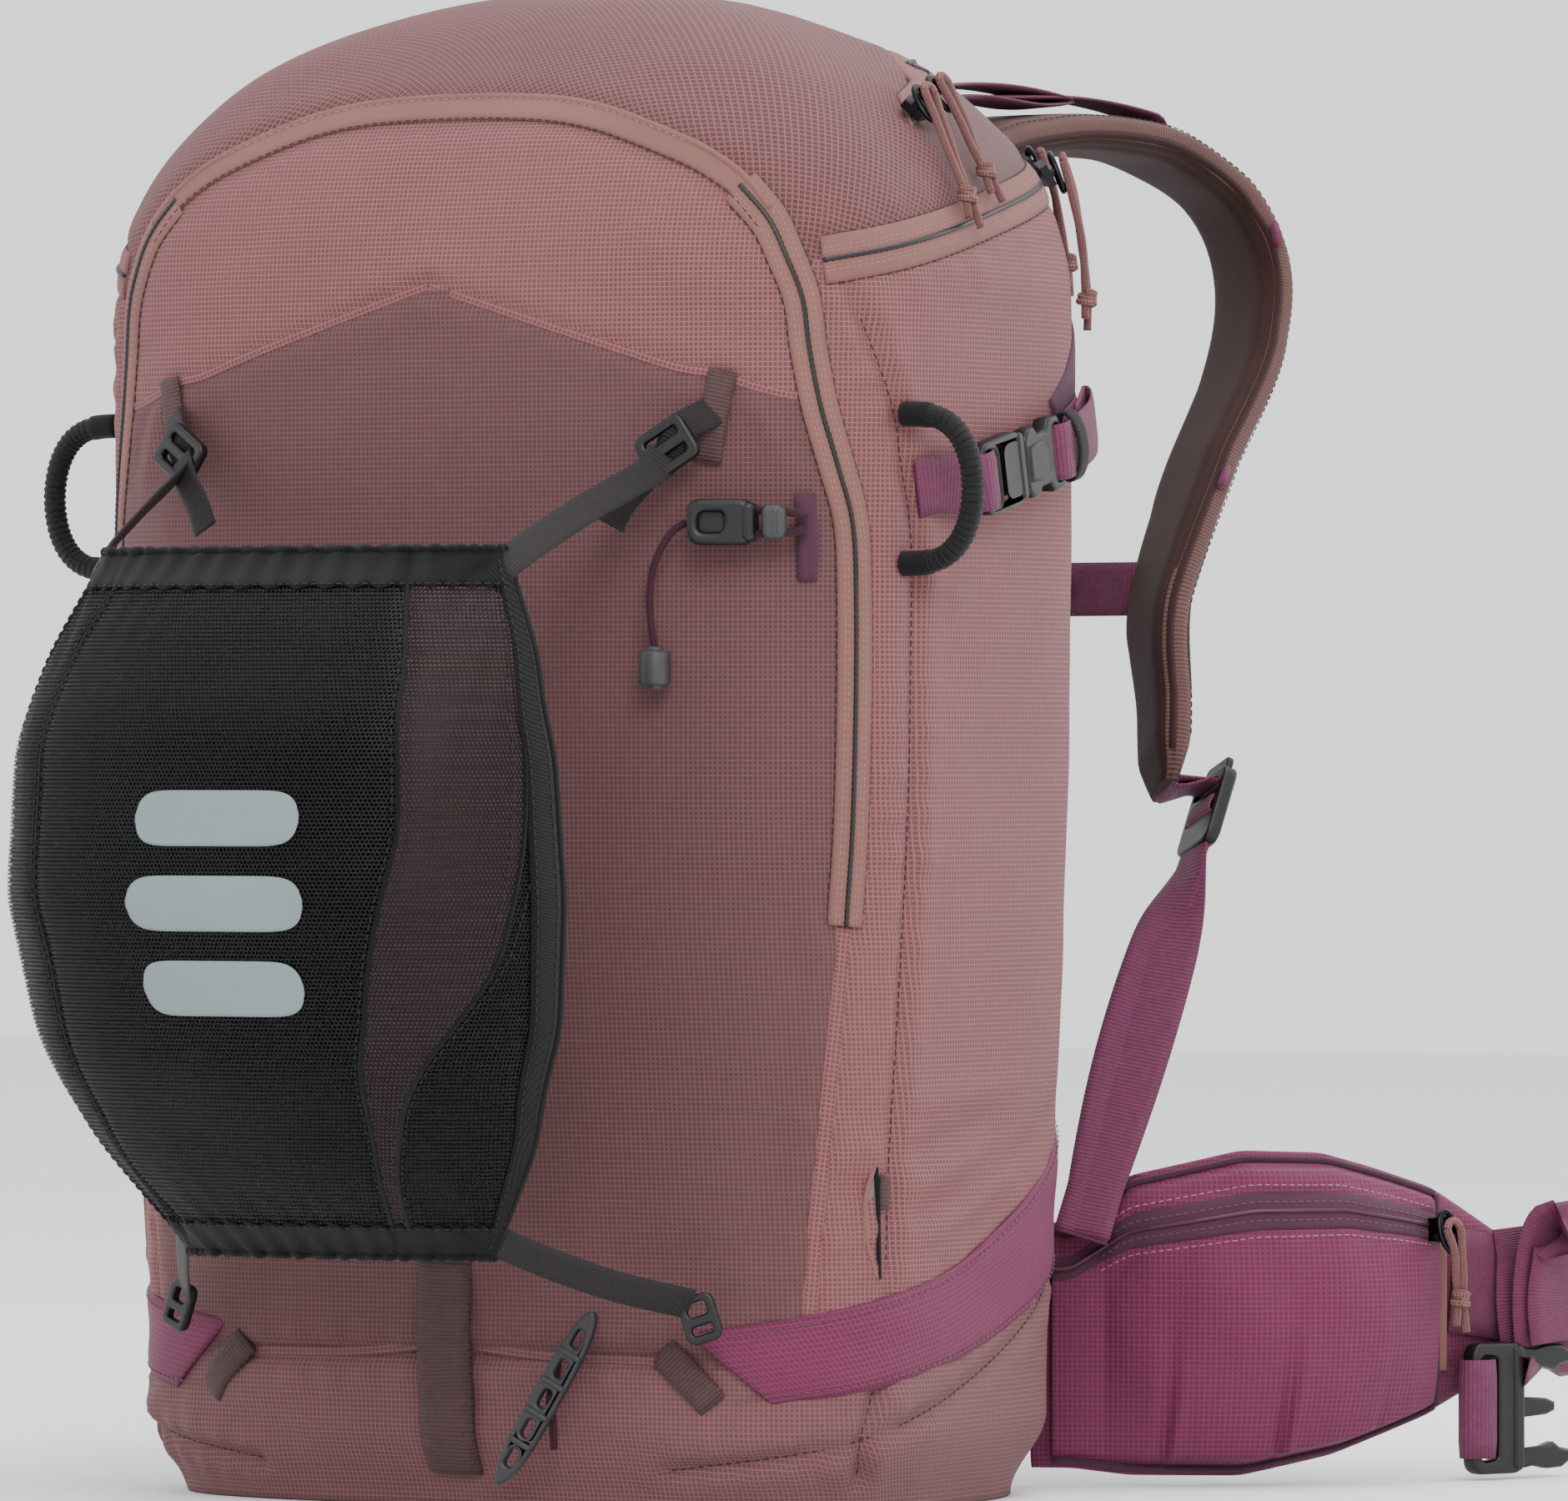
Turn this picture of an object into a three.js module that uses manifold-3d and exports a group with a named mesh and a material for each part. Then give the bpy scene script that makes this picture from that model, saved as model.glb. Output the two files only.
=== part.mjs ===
// Ski backpack, about 28 litres, standing on its base as if packed full.
// Millimetres, +Z up. The origin is the centre of the base on the floor. The front of the pack,
// away from the wearer, faces -Y; the back panel and the harness are on the +Y side.
import * as THREE from 'three';
import { mergeVertices } from 'three/addons/utils/BufferGeometryUtils.js';
import Module from 'manifold-3d';

const wasm = await Module();
wasm.setup();

// ---- driving dimensions -------------------------------------------------------------------
const HEIGHT = 538; // floor to crown of the lid
const HALF_WIDTH = 168; // bag at its widest
const FRONT_DEPTH = 108; // bag axis to the front face
const BACK_DEPTH = 110; // bag axis to the back face
const DOME_START = 425; // height where the lid starts to round over
const AXIS_Y = 12; // plan centre that the lid rounds towards
const GAP = 0.6; // between bag panels cut from each other
const SKIN = 0.6; // between the bag and what lies on it

const NARROW_WEB = 11; // black straps of the helmet carrier
const WEB = 20; // compression, sternum and lower shoulder straps
const BELT_WEB = 38; // hip belt webbing
const WEB_THICK = 1.6;
const CORD = 2.7; // zip pull cord
const ELASTIC = 3; // tool bungee

// ---- colours ------------------------------------------------------------------------------
const ROSE = 0x8f6a6b;
const ROSE_DARK = 0x6f5152;
const PLUM = 0x6d3358;
const PLUM_LIGHT = 0x8a3f72;
const FOAM = 0x6b4c47;
const BLACK = 0x1c1c1e;
const GREY = 0x55585b;

// ---- small helpers ------------------------------------------------------------------------
const vec = (x, y, z) => new THREE.Vector3(x, y, z);
const clamp01 = (t) => Math.min(1, Math.max(0, t));
const smooth = (a, b, t) => THREE.MathUtils.smoothstep(t, a, b);
const degrees = THREE.MathUtils.degToRad;

function material(color, roughness, metalness = 0) {
  return new THREE.MeshStandardMaterial({ color, roughness, metalness });
}

function piece(name, geometry, color, roughness = 0.8) {
  const mesh = new THREE.Mesh(geometry, material(color, roughness));
  mesh.name = name;
  return mesh;
}

// Value of a list of [position, value] stations at t, eased between neighbours.
function along(stations, t) {
  if (t <= stations[0][0]) return stations[0][1];
  for (let i = 1; i < stations.length; i += 1) {
    const [t1, v1] = stations[i];
    const [t0, v0] = stations[i - 1];
    if (t <= t1) return v0 + (v1 - v0) * smooth(t0, t1, t);
  }
  return stations[stations.length - 1][1];
}

// Same, with straight runs between the stations.
function straight(stations, t) {
  if (t <= stations[0][0]) return stations[0][1];
  for (let i = 1; i < stations.length; i += 1) {
    const [t1, v1] = stations[i];
    const [t0, v0] = stations[i - 1];
    if (t <= t1) return v0 + ((v1 - v0) * (t - t0)) / (t1 - t0);
  }
  return stations[stations.length - 1][1];
}

// Closed solid through rings of points, all with the same count, capped at both ends.
function loft(rings) {
  const count = rings[0].length;
  const positions = rings.flat().flatMap((p) => [p.x, p.y, p.z]);
  const faces = [];
  for (let r = 0; r + 1 < rings.length; r += 1) {
    for (let i = 0; i < count; i += 1) {
      const j = (i + 1) % count;
      const a = r * count + i;
      const b = r * count + j;
      faces.push(a, b, b + count, a, b + count, a + count);
    }
  }
  [0, rings.length - 1].forEach((r, end) => {
    const centre = positions.length / 3;
    const middle = rings[r].reduce((sum, p) => sum.add(p), vec(0, 0, 0)).divideScalar(count);
    positions.push(middle.x, middle.y, middle.z);
    for (let i = 0; i < count; i += 1) {
      const a = r * count + i;
      const b = r * count + ((i + 1) % count);
      if (end === 0) faces.push(centre, b, a);
      else faces.push(centre, a, b);
    }
  });
  const geometry = new THREE.BufferGeometry();
  geometry.setAttribute('position', new THREE.Float32BufferAttribute(positions, 3));
  geometry.setIndex(faces);
  return facingOut(geometry);
}

// Closed sheet between two grids of points (rows of equal length): `outer` and `inner` faces
// joined round their rims.
function sheetSolid(outer, inner) {
  const rows = outer.length;
  const columns = outer[0].length;
  const positions = [...outer.flat(), ...inner.flat()].flatMap((p) => [p.x, p.y, p.z]);
  const at = (side, r, c) => side * rows * columns + r * columns + c;
  const faces = [];
  const quad = (a, b, c, d) => faces.push(a, b, c, a, c, d);
  for (let r = 0; r + 1 < rows; r += 1) {
    for (let c = 0; c + 1 < columns; c += 1) {
      quad(at(0, r, c), at(0, r, c + 1), at(0, r + 1, c + 1), at(0, r + 1, c));
      quad(at(1, r, c), at(1, r + 1, c), at(1, r + 1, c + 1), at(1, r, c + 1));
    }
    const last = columns - 1;
    quad(at(0, r, 0), at(0, r + 1, 0), at(1, r + 1, 0), at(1, r, 0));
    quad(at(0, r, last), at(1, r, last), at(1, r + 1, last), at(0, r + 1, last));
  }
  for (let c = 0; c + 1 < columns; c += 1) {
    const last = rows - 1;
    quad(at(0, 0, c), at(1, 0, c), at(1, 0, c + 1), at(0, 0, c + 1));
    quad(at(0, last, c), at(0, last, c + 1), at(1, last, c + 1), at(1, last, c));
  }
  const geometry = new THREE.BufferGeometry();
  geometry.setAttribute('position', new THREE.Float32BufferAttribute(positions, 3));
  geometry.setIndex(faces);
  return facingOut(geometry);
}

// Turns a closed geometry's faces outwards where its volume comes out negative.
function facingOut(geometry) {
  const p = geometry.attributes.position;
  const index = geometry.index.array;
  let volume = 0;
  const [a, b, c] = [vec(0, 0, 0), vec(0, 0, 0), vec(0, 0, 0)];
  for (let i = 0; i < index.length; i += 3) {
    a.fromBufferAttribute(p, index[i]);
    b.fromBufferAttribute(p, index[i + 1]);
    c.fromBufferAttribute(p, index[i + 2]);
    volume += a.dot(b.cross(c));
  }
  if (volume < 0) {
    for (let i = 0; i < index.length; i += 3) {
      [index[i + 1], index[i + 2]] = [index[i + 2], index[i + 1]];
    }
  }
  return geometry;
}

function toSolid(geometry) {
  const bare = geometry.clone();
  bare.deleteAttribute('normal');
  bare.deleteAttribute('uv');
  const merged = mergeVertices(bare, 1e-3);
  return new wasm.Manifold(
    new wasm.Mesh({
      numProp: 3,
      vertProperties: new Float32Array(merged.attributes.position.array),
      triVerts: new Uint32Array(merged.index.array),
    }),
  );
}

function toGeometry(solid) {
  const mesh = solid.getMesh();
  const geometry = new THREE.BufferGeometry();
  geometry.setAttribute('position', new THREE.BufferAttribute(mesh.vertProperties, 3));
  geometry.setIndex(new THREE.BufferAttribute(mesh.triVerts, 1));
  return geometry;
}

const cutBy = (geometry, ...cutters) =>
  toGeometry(cutters.reduce((solid, c) => solid.subtract(toSolid(c)), toSolid(geometry)));
const joined = (first, ...rest) =>
  toGeometry(rest.reduce((solid, g) => solid.add(toSolid(g)), toSolid(first)));
const shared = (a, b) => toGeometry(toSolid(a).intersect(toSolid(b)));

// Prism along X whose section in the YZ plane is a list of [y, z] corners.
function prismX(corners, x0, x1) {
  const shape = new THREE.Shape(corners.map(([y, z]) => new THREE.Vector2(y, z)));
  const geometry = new THREE.ExtrudeGeometry(shape, { depth: x1 - x0, bevelEnabled: false });
  // The shape's own x, y and depth become the row's y, z and x.
  geometry.applyMatrix4(
    new THREE.Matrix4().set(0, 0, 1, x0, 1, 0, 0, 0, 0, 1, 0, 0, 0, 0, 0, 1),
  );
  return geometry;
}

// Rounded rectangle outline, used for plates, frames and webbing slots.
function roundedOutline(Path, width, height, radius, cx = 0, cy = 0) {
  const [w, h] = [width / 2, height / 2];
  const path = new Path();
  path.moveTo(cx - w + radius, cy - h);
  path.lineTo(cx + w - radius, cy - h);
  path.absarc(cx + w - radius, cy - h + radius, radius, -Math.PI / 2, 0);
  path.lineTo(cx + w, cy + h - radius);
  path.absarc(cx + w - radius, cy + h - radius, radius, 0, Math.PI / 2);
  path.lineTo(cx - w + radius, cy + h);
  path.absarc(cx - w + radius, cy + h - radius, radius, Math.PI / 2, Math.PI);
  path.lineTo(cx - w, cy - h + radius);
  path.absarc(cx - w + radius, cy - h + radius, radius, Math.PI, Math.PI * 1.5);
  return path;
}

// Flat plate in the XY plane, centred on z = 0, with optional rectangular slots [w, h, cx, cy].
function plate(width, height, thick, radius, slots = []) {
  const shape = roundedOutline(THREE.Shape, width, height, radius);
  slots.forEach(([w, h, cx, cy]) => shape.holes.push(roundedOutline(THREE.Path, w, h, 0.8, cx, cy)));
  const geometry = new THREE.ExtrudeGeometry(shape, {
    depth: thick,
    bevelEnabled: false,
    curveSegments: 3,
  });
  geometry.translate(0, 0, -thick / 2);
  return geometry;
}

// Moves a geometry so that its own X, Y and Z point along `across`, `up` and `out` at `origin`.
function placed(geometry, origin, across, out) {
  const z = out.clone().normalize();
  const x = across.clone().addScaledVector(z, -across.dot(z)).normalize();
  const y = z.clone().cross(x);
  const matrix = new THREE.Matrix4().makeBasis(x, y, z).setPosition(origin);
  return geometry.clone().applyMatrix4(matrix);
}

const mirrorX = (geometry) => {
  const copy = geometry.clone();
  copy.applyMatrix4(new THREE.Matrix4().makeScale(-1, 1, 1));
  if (!copy.index) copy.setIndex([...Array(copy.attributes.position.count).keys()]);
  return facingOut(copy);
};

// Band of webbing: rings of four corners along `points`, with the width along `across[i]`.
function band(points, across, width, thick) {
  const rings = points.map((p, i) => {
    const before = points[Math.max(i - 1, 0)];
    const after = points[Math.min(i + 1, points.length - 1)];
    const tangent = after.clone().sub(before).normalize();
    const side = across[i].clone().addScaledVector(tangent, -across[i].dot(tangent)).normalize();
    const out = tangent.clone().cross(side);
    const corner = (a, b) =>
      p.clone().addScaledVector(side, (a * width) / 2).addScaledVector(out, (b * thick) / 2);
    return [corner(-1, -1), corner(1, -1), corner(1, 1), corner(-1, 1)];
  });
  return loft(rings);
}

function curvePoints(points, count) {
  return new THREE.CatmullRomCurve3(points, false, 'centripetal').getSpacedPoints(count);
}

function tube(points, radius, steps, sides = 8) {
  const circle = new THREE.Shape(
    Array.from({ length: sides }, (_, i) => {
      const a = (i / sides) * Math.PI * 2;
      return new THREE.Vector2(radius * Math.cos(a), radius * Math.sin(a));
    }),
  );
  const extrudePath = new THREE.CatmullRomCurve3(points, false, 'centripetal');
  return new THREE.ExtrudeGeometry(circle, { steps, extrudePath, bevelEnabled: false });
}

// ---- the bag's outer surface --------------------------------------------------------------
const FRONT_ROUND = 3.2; // superellipse power of the front half of the plan section
const BACK_ROUND = 3.8;
const DOME_ROUND = 2.15; // the same in side view, for the dome

function bagSize(z) {
  const foot = smooth(0, 30, z);
  const rise = clamp01((z - DOME_START) / (HEIGHT - DOME_START));
  const dome = Math.sqrt(1 - rise ** DOME_ROUND);
  return {
    half: HALF_WIDTH - 23 + 13 * foot + 10 * smooth(40, 300, z),
    front: FRONT_DEPTH - 24 + 10 * foot + 14 * smooth(40, 260, z),
    back: BACK_DEPTH - 6 + 6 * foot,
    dome,
  };
}

// Plan point of the section at height z; angle 0 is +X, -90 degrees is the front centre.
function bagAngle(angle, z) {
  const { half, front, back, dome } = bagSize(z);
  const [c, s] = [Math.cos(angle), Math.sin(angle)];
  const power = 2 / (s < 0 ? FRONT_ROUND : BACK_ROUND);
  const x = half * Math.sign(c) * Math.abs(c) ** power;
  const y = (s < 0 ? front : back) * Math.sign(s) * Math.abs(s) ** power;
  return vec(x * dome, AXIS_Y + (y - AXIS_Y) * dome, z);
}

const GIRTH_STEPS = 240;

// Point on the right half of the bag: `s` is millimetres along the surface from the front
// centre line, `out` is how far it stands off the surface. A negative `s` is on the left.
function bagPoint(s, z, out = 0) {
  const walk = (target) => {
    let last = bagAngle(-Math.PI / 2, z);
    let gone = 0;
    for (let i = 1; i <= GIRTH_STEPS; i += 1) {
      const next = bagAngle(-Math.PI / 2 + (i / GIRTH_STEPS) * Math.PI, z);
      const length = next.distanceTo(last);
      if (gone + length >= target) return last.lerp(next, (target - gone) / length);
      gone += length;
      last = next;
    }
    return last;
  };
  const here = walk(Math.abs(s));
  const next = walk(Math.abs(s) + 1);
  const above = bagAngle(0, z + 1).x - bagAngle(0, z).x;
  const normal = vec(next.y - here.y, -(next.x - here.x), -above).normalize();
  here.addScaledVector(normal, out);
  if (s < 0) here.x = -here.x;
  return here;
}

const BAND_ROWS = 4; // facets across a ribbon, so that it bends round the bag's corners

// Girth position of the point on the right side that lies `y` from the bag's axis plane.
function sideAt(y, z) {
  let [low, high] = [0, 520];
  for (let i = 0; i < 24; i += 1) {
    const mid = (low + high) / 2;
    if (bagPoint(mid, z).y < y) low = mid;
    else high = mid;
  }
  return low;
}

// Ribbon that lies on the bag along a path of [s, z] stations, `low` to `low + thick` off it.
function surfaceBand(path, width, thick, low = SKIN, step = 9) {
  const curve = new THREE.CatmullRomCurve3(path.map(([s, z]) => vec(s, z, 0)), false, 'centripetal');
  const count = Math.max(2, Math.round(curve.getLength() / step));
  const points = curve.getSpacedPoints(count);
  const rings = points.map((p, i) => {
    const ahead = points[Math.min(i + 1, count)].clone().sub(points[Math.max(i - 1, 0)]).normalize();
    const wide = typeof width === 'function' ? width(i / count) : width;
    const row = (k, out) => {
      const f = ((k / BAND_ROWS) * 2 - 1) * (wide / 2);
      return bagPoint(p.x - ahead.y * f, p.y + ahead.x * f, out);
    };
    const strip = (out) => Array.from({ length: BAND_ROWS + 1 }, (_, k) => row(k, out));
    return { inner: strip(low), outer: strip(low + thick) };
  });
  return sheetSolid(rings.map((r) => r.outer), rings.map((r) => r.inner));
}

// ---- bag: four fabric volumes cut from one outer shape ------------------------------------
const RING_LEVELS = [
  0, 4, 10, 18, 30, 60, 95, 130, 170, 215, 260, 300, 350, 400, 425, 440, 455, 470, 484, 497, 508,
  518, 526, 532, 536,
];
const RING_POINTS = 44;

function bagVolume() {
  const rings = RING_LEVELS.map((z) =>
    Array.from({ length: RING_POINTS }, (_, i) => bagAngle((i / RING_POINTS) * Math.PI * 2, z)),
  );
  return loft(rings);
}

const FAR = 400;
// The front pocket ends on this line in side view; it leans forward above the shoulders.
const POCKET_SEAM = [
  [-72, 64], [-72, 340], [-80, 385], [-87, 430], [-86, 455], [-84, 480], [-79, 500], [-120, 545],
];
// The main zip runs round the pack here, rising towards the wearer.
const zipHeight = (y) => 454 + 0.225 * y;
const baseHeight = (y) => 60 + 0.3 * (y + FRONT_DEPTH);

function bagPieces() {
  const whole = bagVolume();
  const pocketZone = (gap) => {
    const [[footY, footZ], ...seam] = POCKET_SEAM;
    const side = [[footY - gap, footZ + gap], ...seam.map(([y, z]) => [y - gap, z])];
    return prismX([[-FAR, footZ + gap], ...side, [-FAR, HEIGHT + 22]], -FAR, FAR);
  };
  const above = (line, gap) => {
    const edge = [[-FAR, line(-FAR) + gap], [FAR, line(FAR) + gap]];
    return prismX([...edge, [FAR, FAR * 3], [-FAR, FAR * 3]], -FAR, FAR);
  };
  const below = (line, gap) => {
    const edge = [[FAR, line(FAR) - gap], [-FAR, line(-FAR) - gap]];
    return prismX([[-FAR, -FAR], [FAR, -FAR], ...edge], -FAR, FAR);
  };
  const half = GAP / 2;

  const pocket = shared(shared(whole, pocketZone(half)), above(baseHeight, half));
  const rest = cutBy(whole, pocketZone(-half));
  const base = shared(whole, below(baseHeight, half));
  const lid = shared(rest, above(zipHeight, half));
  const trunk = cutBy(shared(shared(rest, below(zipHeight, half)), above(baseHeight, half)), frameRecess());
  return { pocket, base, lid, trunk };
}

// ---- back system ---------------------------------------------------------------------------
const SHEET_WIDTH = 210;
const SHEET_LOW = 150;
const SHEET_HIGH = 420;
const RECESS_DEPTH = 6;
const PANEL_Y = BACK_DEPTH + 1; // back panel foam starts just behind the bag
const PANEL_THICK = 7;
const PAD_THICK = 14;

function slabY(width, z0, z1, y0, y1, radius) {
  const geometry = plate(width, z1 - z0, y1 - y0, radius);
  return placed(geometry, vec(0, (y0 + y1) / 2, (z0 + z1) / 2), vec(-1, 0, 0), vec(0, 1, 0));
}

const RECESS_Y = BACK_DEPTH - RECESS_DEPTH;

function frameRecess() {
  return slabY(SHEET_WIDTH + 4, SHEET_LOW - 2, SHEET_HIGH + 2, RECESS_Y, BACK_DEPTH + 20, 8);
}

function frameSheet() {
  return slabY(SHEET_WIDTH, SHEET_LOW, SHEET_HIGH, RECESS_Y + 0.4, RECESS_Y + 1.9, 6);
}

// Flat aluminium bar bent to an upside-down U.
function frameStay() {
  const outline = roundedOutline(THREE.Shape, SHEET_WIDTH - 40, 240, 20);
  outline.holes.push(roundedOutline(THREE.Path, SHEET_WIDTH - 64, 216, 10));
  const ring = new THREE.ExtrudeGeometry(outline, { depth: 2.6, bevelEnabled: false, curveSegments: 4 });
  const cut = new THREE.BoxGeometry(SHEET_WIDTH - 66, 60, 20);
  cut.translate(0, -110, 0);
  const bar = cutBy(ring, cut);
  return placed(bar, vec(0, BACK_DEPTH - 3.4, 285), vec(-1, 0, 0), vec(0, 1, 0));
}

const PANEL_HALF = [[100, 100], [150, 118], [330, 116], [430, 100], [474, 72]];

function backPanel() {
  const levels = [102, 118, 150, 200, 250, 300, 350, 400, 430, 452, 466, 474];
  return loft(
    levels.map((z) => {
      const w = along(PANEL_HALF, z);
      const ends = z === 102 || z === 474 ? 3 : 0;
      const y0 = PANEL_Y;
      const y1 = PANEL_Y + PANEL_THICK - ends;
      return [vec(-w, y0, z), vec(w, y0, z), vec(w - 3, y1, z), vec(-w + 3, y1, z)];
    }),
  );
}

// Crowned foam column beside the spine channel, bonded to the panel.
function backPad() {
  const y0 = PANEL_Y + PANEL_THICK - 2;
  const stations = 12;
  const [low, high] = [176, 440];
  return loft(
    Array.from({ length: stations + 1 }, (_, i) => {
      const t = i / stations;
      const z = low + (high - low) * t;
      const end = Math.sin(Math.PI * t) ** 0.35;
      const inner = 20;
      const outer = straight([[0, 92], [0.6, 96], [1, 66]], t);
      const mid = (inner + outer) / 2;
      const half = ((outer - inner) / 2) * Math.max(0.35, end);
      const rise = 3 + (PAD_THICK - 3) * end;
      return [
        vec(mid - half, y0, z),
        vec(mid + half, y0, z),
        vec(mid + half * 0.95, y0 + rise * 0.6, z),
        vec(mid + half * 0.6, y0 + rise, z),
        vec(mid - half * 0.6, y0 + rise, z),
        vec(mid - half * 0.95, y0 + rise * 0.6, z),
      ];
    }),
  );
}

// Wide foam pad at the small of the back; the hip fins start beside it.
function lumbarPad() {
  const y0 = PANEL_Y + PANEL_THICK + 0.5;
  const stations = 12;
  return loft(
    Array.from({ length: stations + 1 }, (_, i) => {
      const t = (i / stations) * 2 - 1;
      const end = Math.sqrt(Math.max(0.04, 1 - Math.abs(t) ** 6));
      const x = t * 92;
      const rise = 6 + 16 * end;
      const [zl, zh] = [98 - 54 * end, 106 + 60 * end];
      const zm = (zl + zh) / 2;
      return [
        vec(x, y0, zl),
        vec(x, y0 + rise * 0.6, zl + 2),
        vec(x, y0 + rise, zm - (zm - zl) * 0.6),
        vec(x, y0 + rise, zm + (zh - zm) * 0.6),
        vec(x, y0 + rise * 0.6, zh - 2),
        vec(x, y0, zh),
      ];
    }),
  );
}

// ---- shoulder harness ------------------------------------------------------------------------
// Centre line of the right strap from the back panel, over the shoulder and down the chest.
const STRAP_LINE = [
  vec(46, 134, 456), vec(46, 150, 478), vec(50, 190, 491), vec(58, 240, 496), vec(70, 292, 492),
  vec(84, 325, 474), vec(95, 330, 446), vec(101, 311, 410), vec(106, 265, 364), vec(113, 225, 318),
  vec(122, 211, 280), vec(128, 200, 251),
];
// Direction of the strap's width, in degrees in plan: across at the top, turned at the chest.
const STRAP_TURN = [[0, 0], [0.2, -6], [0.34, -38], [0.62, -45], [1, -50]];
const STRAP_WIDTH = [[0, 52], [0.2, 58], [0.6, 60], [0.85, 52], [1, 38]];
const STRAP_THICK = 15;

function shoulderStrap() {
  const count = 22;
  const points = curvePoints(STRAP_LINE, count);
  return loft(
    points.map((p, i) => {
      const t = i / count;
      const tangent = points[Math.min(i + 1, count)].clone().sub(points[Math.max(i - 1, 0)]).normalize();
      const turn = degrees(straight(STRAP_TURN, t));
      const across = vec(Math.cos(turn), Math.sin(turn), 0);
      across.addScaledVector(tangent, -across.dot(tangent)).normalize();
      const out = across.clone().cross(tangent);
      const w = straight(STRAP_WIDTH, t) / 2;
      const h = STRAP_THICK / 2;
      const ends = i === 0 || i === count ? 0.6 : 1;
      const corner = (a, b) => p.clone().addScaledVector(across, a * w * ends).addScaledVector(out, b * h);
      return [
        corner(-1, -0.4), corner(-0.85, -1), corner(0.85, -1), corner(1, -0.4),
        corner(1, 0.4), corner(0.85, 1), corner(-0.85, 1), corner(-1, 0.4),
      ];
    }),
  );
}

const LOCK_AT = vec(141, 208, 243); // ladder lock under the strap's end
const WEB_FOOT = vec(138, 129, 108); // where the lower webbing is sewn to the base

function ladderLock() {
  const bars = plate(28, 32, 5, 2.5, [[21, 5, 0, 9], [21, 5, 0, -2]]);
  const down = WEB_FOOT.clone().sub(LOCK_AT).normalize();
  const across = vec(0.72, -0.69, 0);
  across.addScaledVector(down, -across.dot(down)).normalize();
  return placed(bars, LOCK_AT, across, down.clone().cross(across));
}

// Doubled webbing between the ladder lock and the base, in a body of its own.
function lowerWebbing() {
  const top = LOCK_AT.clone().lerp(WEB_FOOT, 0.145);
  const bottom = LOCK_AT.clone().lerp(WEB_FOOT, 0.97);
  const points = [0, 0.33, 0.66, 1].map((t) => top.clone().lerp(bottom, t));
  return band(points, points.map(() => vec(0.8, -0.6, 0)), WEB, WEB_THICK * 2 + 0.4);
}

const STERNUM_Z = 326;
const STERNUM_Y = 236;

// One run of webbing from strap to strap, through the buckle on the breastbone.
function sternumStrap() {
  const half = [[87, 9], [50, 15], [17, 18]];
  const points = [...half, ...half.map(([x, y]) => [-x, y]).reverse()].map(([x, y]) =>
    vec(x, STERNUM_Y + y, STERNUM_Z),
  );
  return band(points, points.map(() => vec(0, 0, 1)), WEB, WEB_THICK * 2);
}

function sternumBuckle() {
  const body = plate(32, 26, 4, 4);
  const behind = STERNUM_Y + 18 + WEB_THICK + 2.4;
  return placed(body, vec(0, behind, STERNUM_Z), vec(-1, 0, 0), vec(0, 1, 0));
}

// Load lifter: folded webbing from the lid's rear edge to the top of the strap.
function loadLifter() {
  const points = [
    vec(57, 112, 500), vec(56, 140, 504), vec(57, 195, 506), vec(62, 245, 507), vec(69, 284, 504.5),
  ];
  return band(points, points.map(() => vec(1, 0, 0)), WEB, WEB_THICK * 2);
}

// ---- hip belt ----------------------------------------------------------------------------------
const FIN_ROOT = { x: 126, y: 131 };
const FIN_START = 25; // degrees from +X
const FIN_SWEEP = 56;
const FIN_RADIUS = 215;
const FIN_AXIS = {
  x: FIN_ROOT.x - FIN_RADIUS * Math.sin(degrees(FIN_START)),
  y: FIN_ROOT.y + FIN_RADIUS * Math.cos(degrees(FIN_START)),
};
const FIN_TOP = [
  [0, 95], [0.1, 112], [0.3, 121], [0.45, 120], [0.55, 114.5], [0.67, 107], [0.82, 90], [0.93, 76], [1, 66],
];
const FIN_FOOT = [[0, 6], [0.1, 3.5], [0.3, 3], [0.47, 10], [0.64, 22], [0.79, 36], [0.9, 45], [1, 52]];
const FIN_FOAM = 11;

// Point of the fin at fraction t of its length, height z, `out` millimetres off its outer face.
function finPoint(t, z, out) {
  const angle = degrees(FIN_START + FIN_SWEEP * t);
  const r = FIN_RADIUS + out;
  return vec(FIN_AXIS.x + r * Math.sin(angle), FIN_AXIS.y - r * Math.cos(angle), z);
}

function hipFin() {
  const count = 16;
  return loft(
    Array.from({ length: count + 1 }, (_, i) => {
      const t = i / count;
      const [z0, z1] = [straight(FIN_FOOT, t), straight(FIN_TOP, t)];
      const edge = 4;
      return [
        finPoint(t, z0, -FIN_FOAM * 0.7), finPoint(t, z0, -FIN_FOAM * 0.3), finPoint(t, z0 + edge, 0),
        finPoint(t, z1 - edge, 0), finPoint(t, z1, -FIN_FOAM * 0.3), finPoint(t, z1, -FIN_FOAM * 0.7),
        finPoint(t, z1 - edge, -FIN_FOAM), finPoint(t, z0 + edge, -FIN_FOAM),
      ];
    }),
  );
}

const POUCH_START = 0.06;
const POUCH_END = 0.66;
const POUCH_RISE = 24;

// Height of the pouch off the fin at length t and height fraction v.
function pouchRise(t, v) {
  const along1 = (t - POUCH_START) / (POUCH_END - POUCH_START);
  const lengthwise = straight([[0, 0.12], [0.25, 0.72], [0.5, 1], [0.75, 0.95], [1, 0.3]], clamp01(along1));
  const upright = Math.sin(Math.PI * (0.06 + 0.88 * v)) ** 0.6;
  return 1.2 + POUCH_RISE * lengthwise * upright;
}

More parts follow.
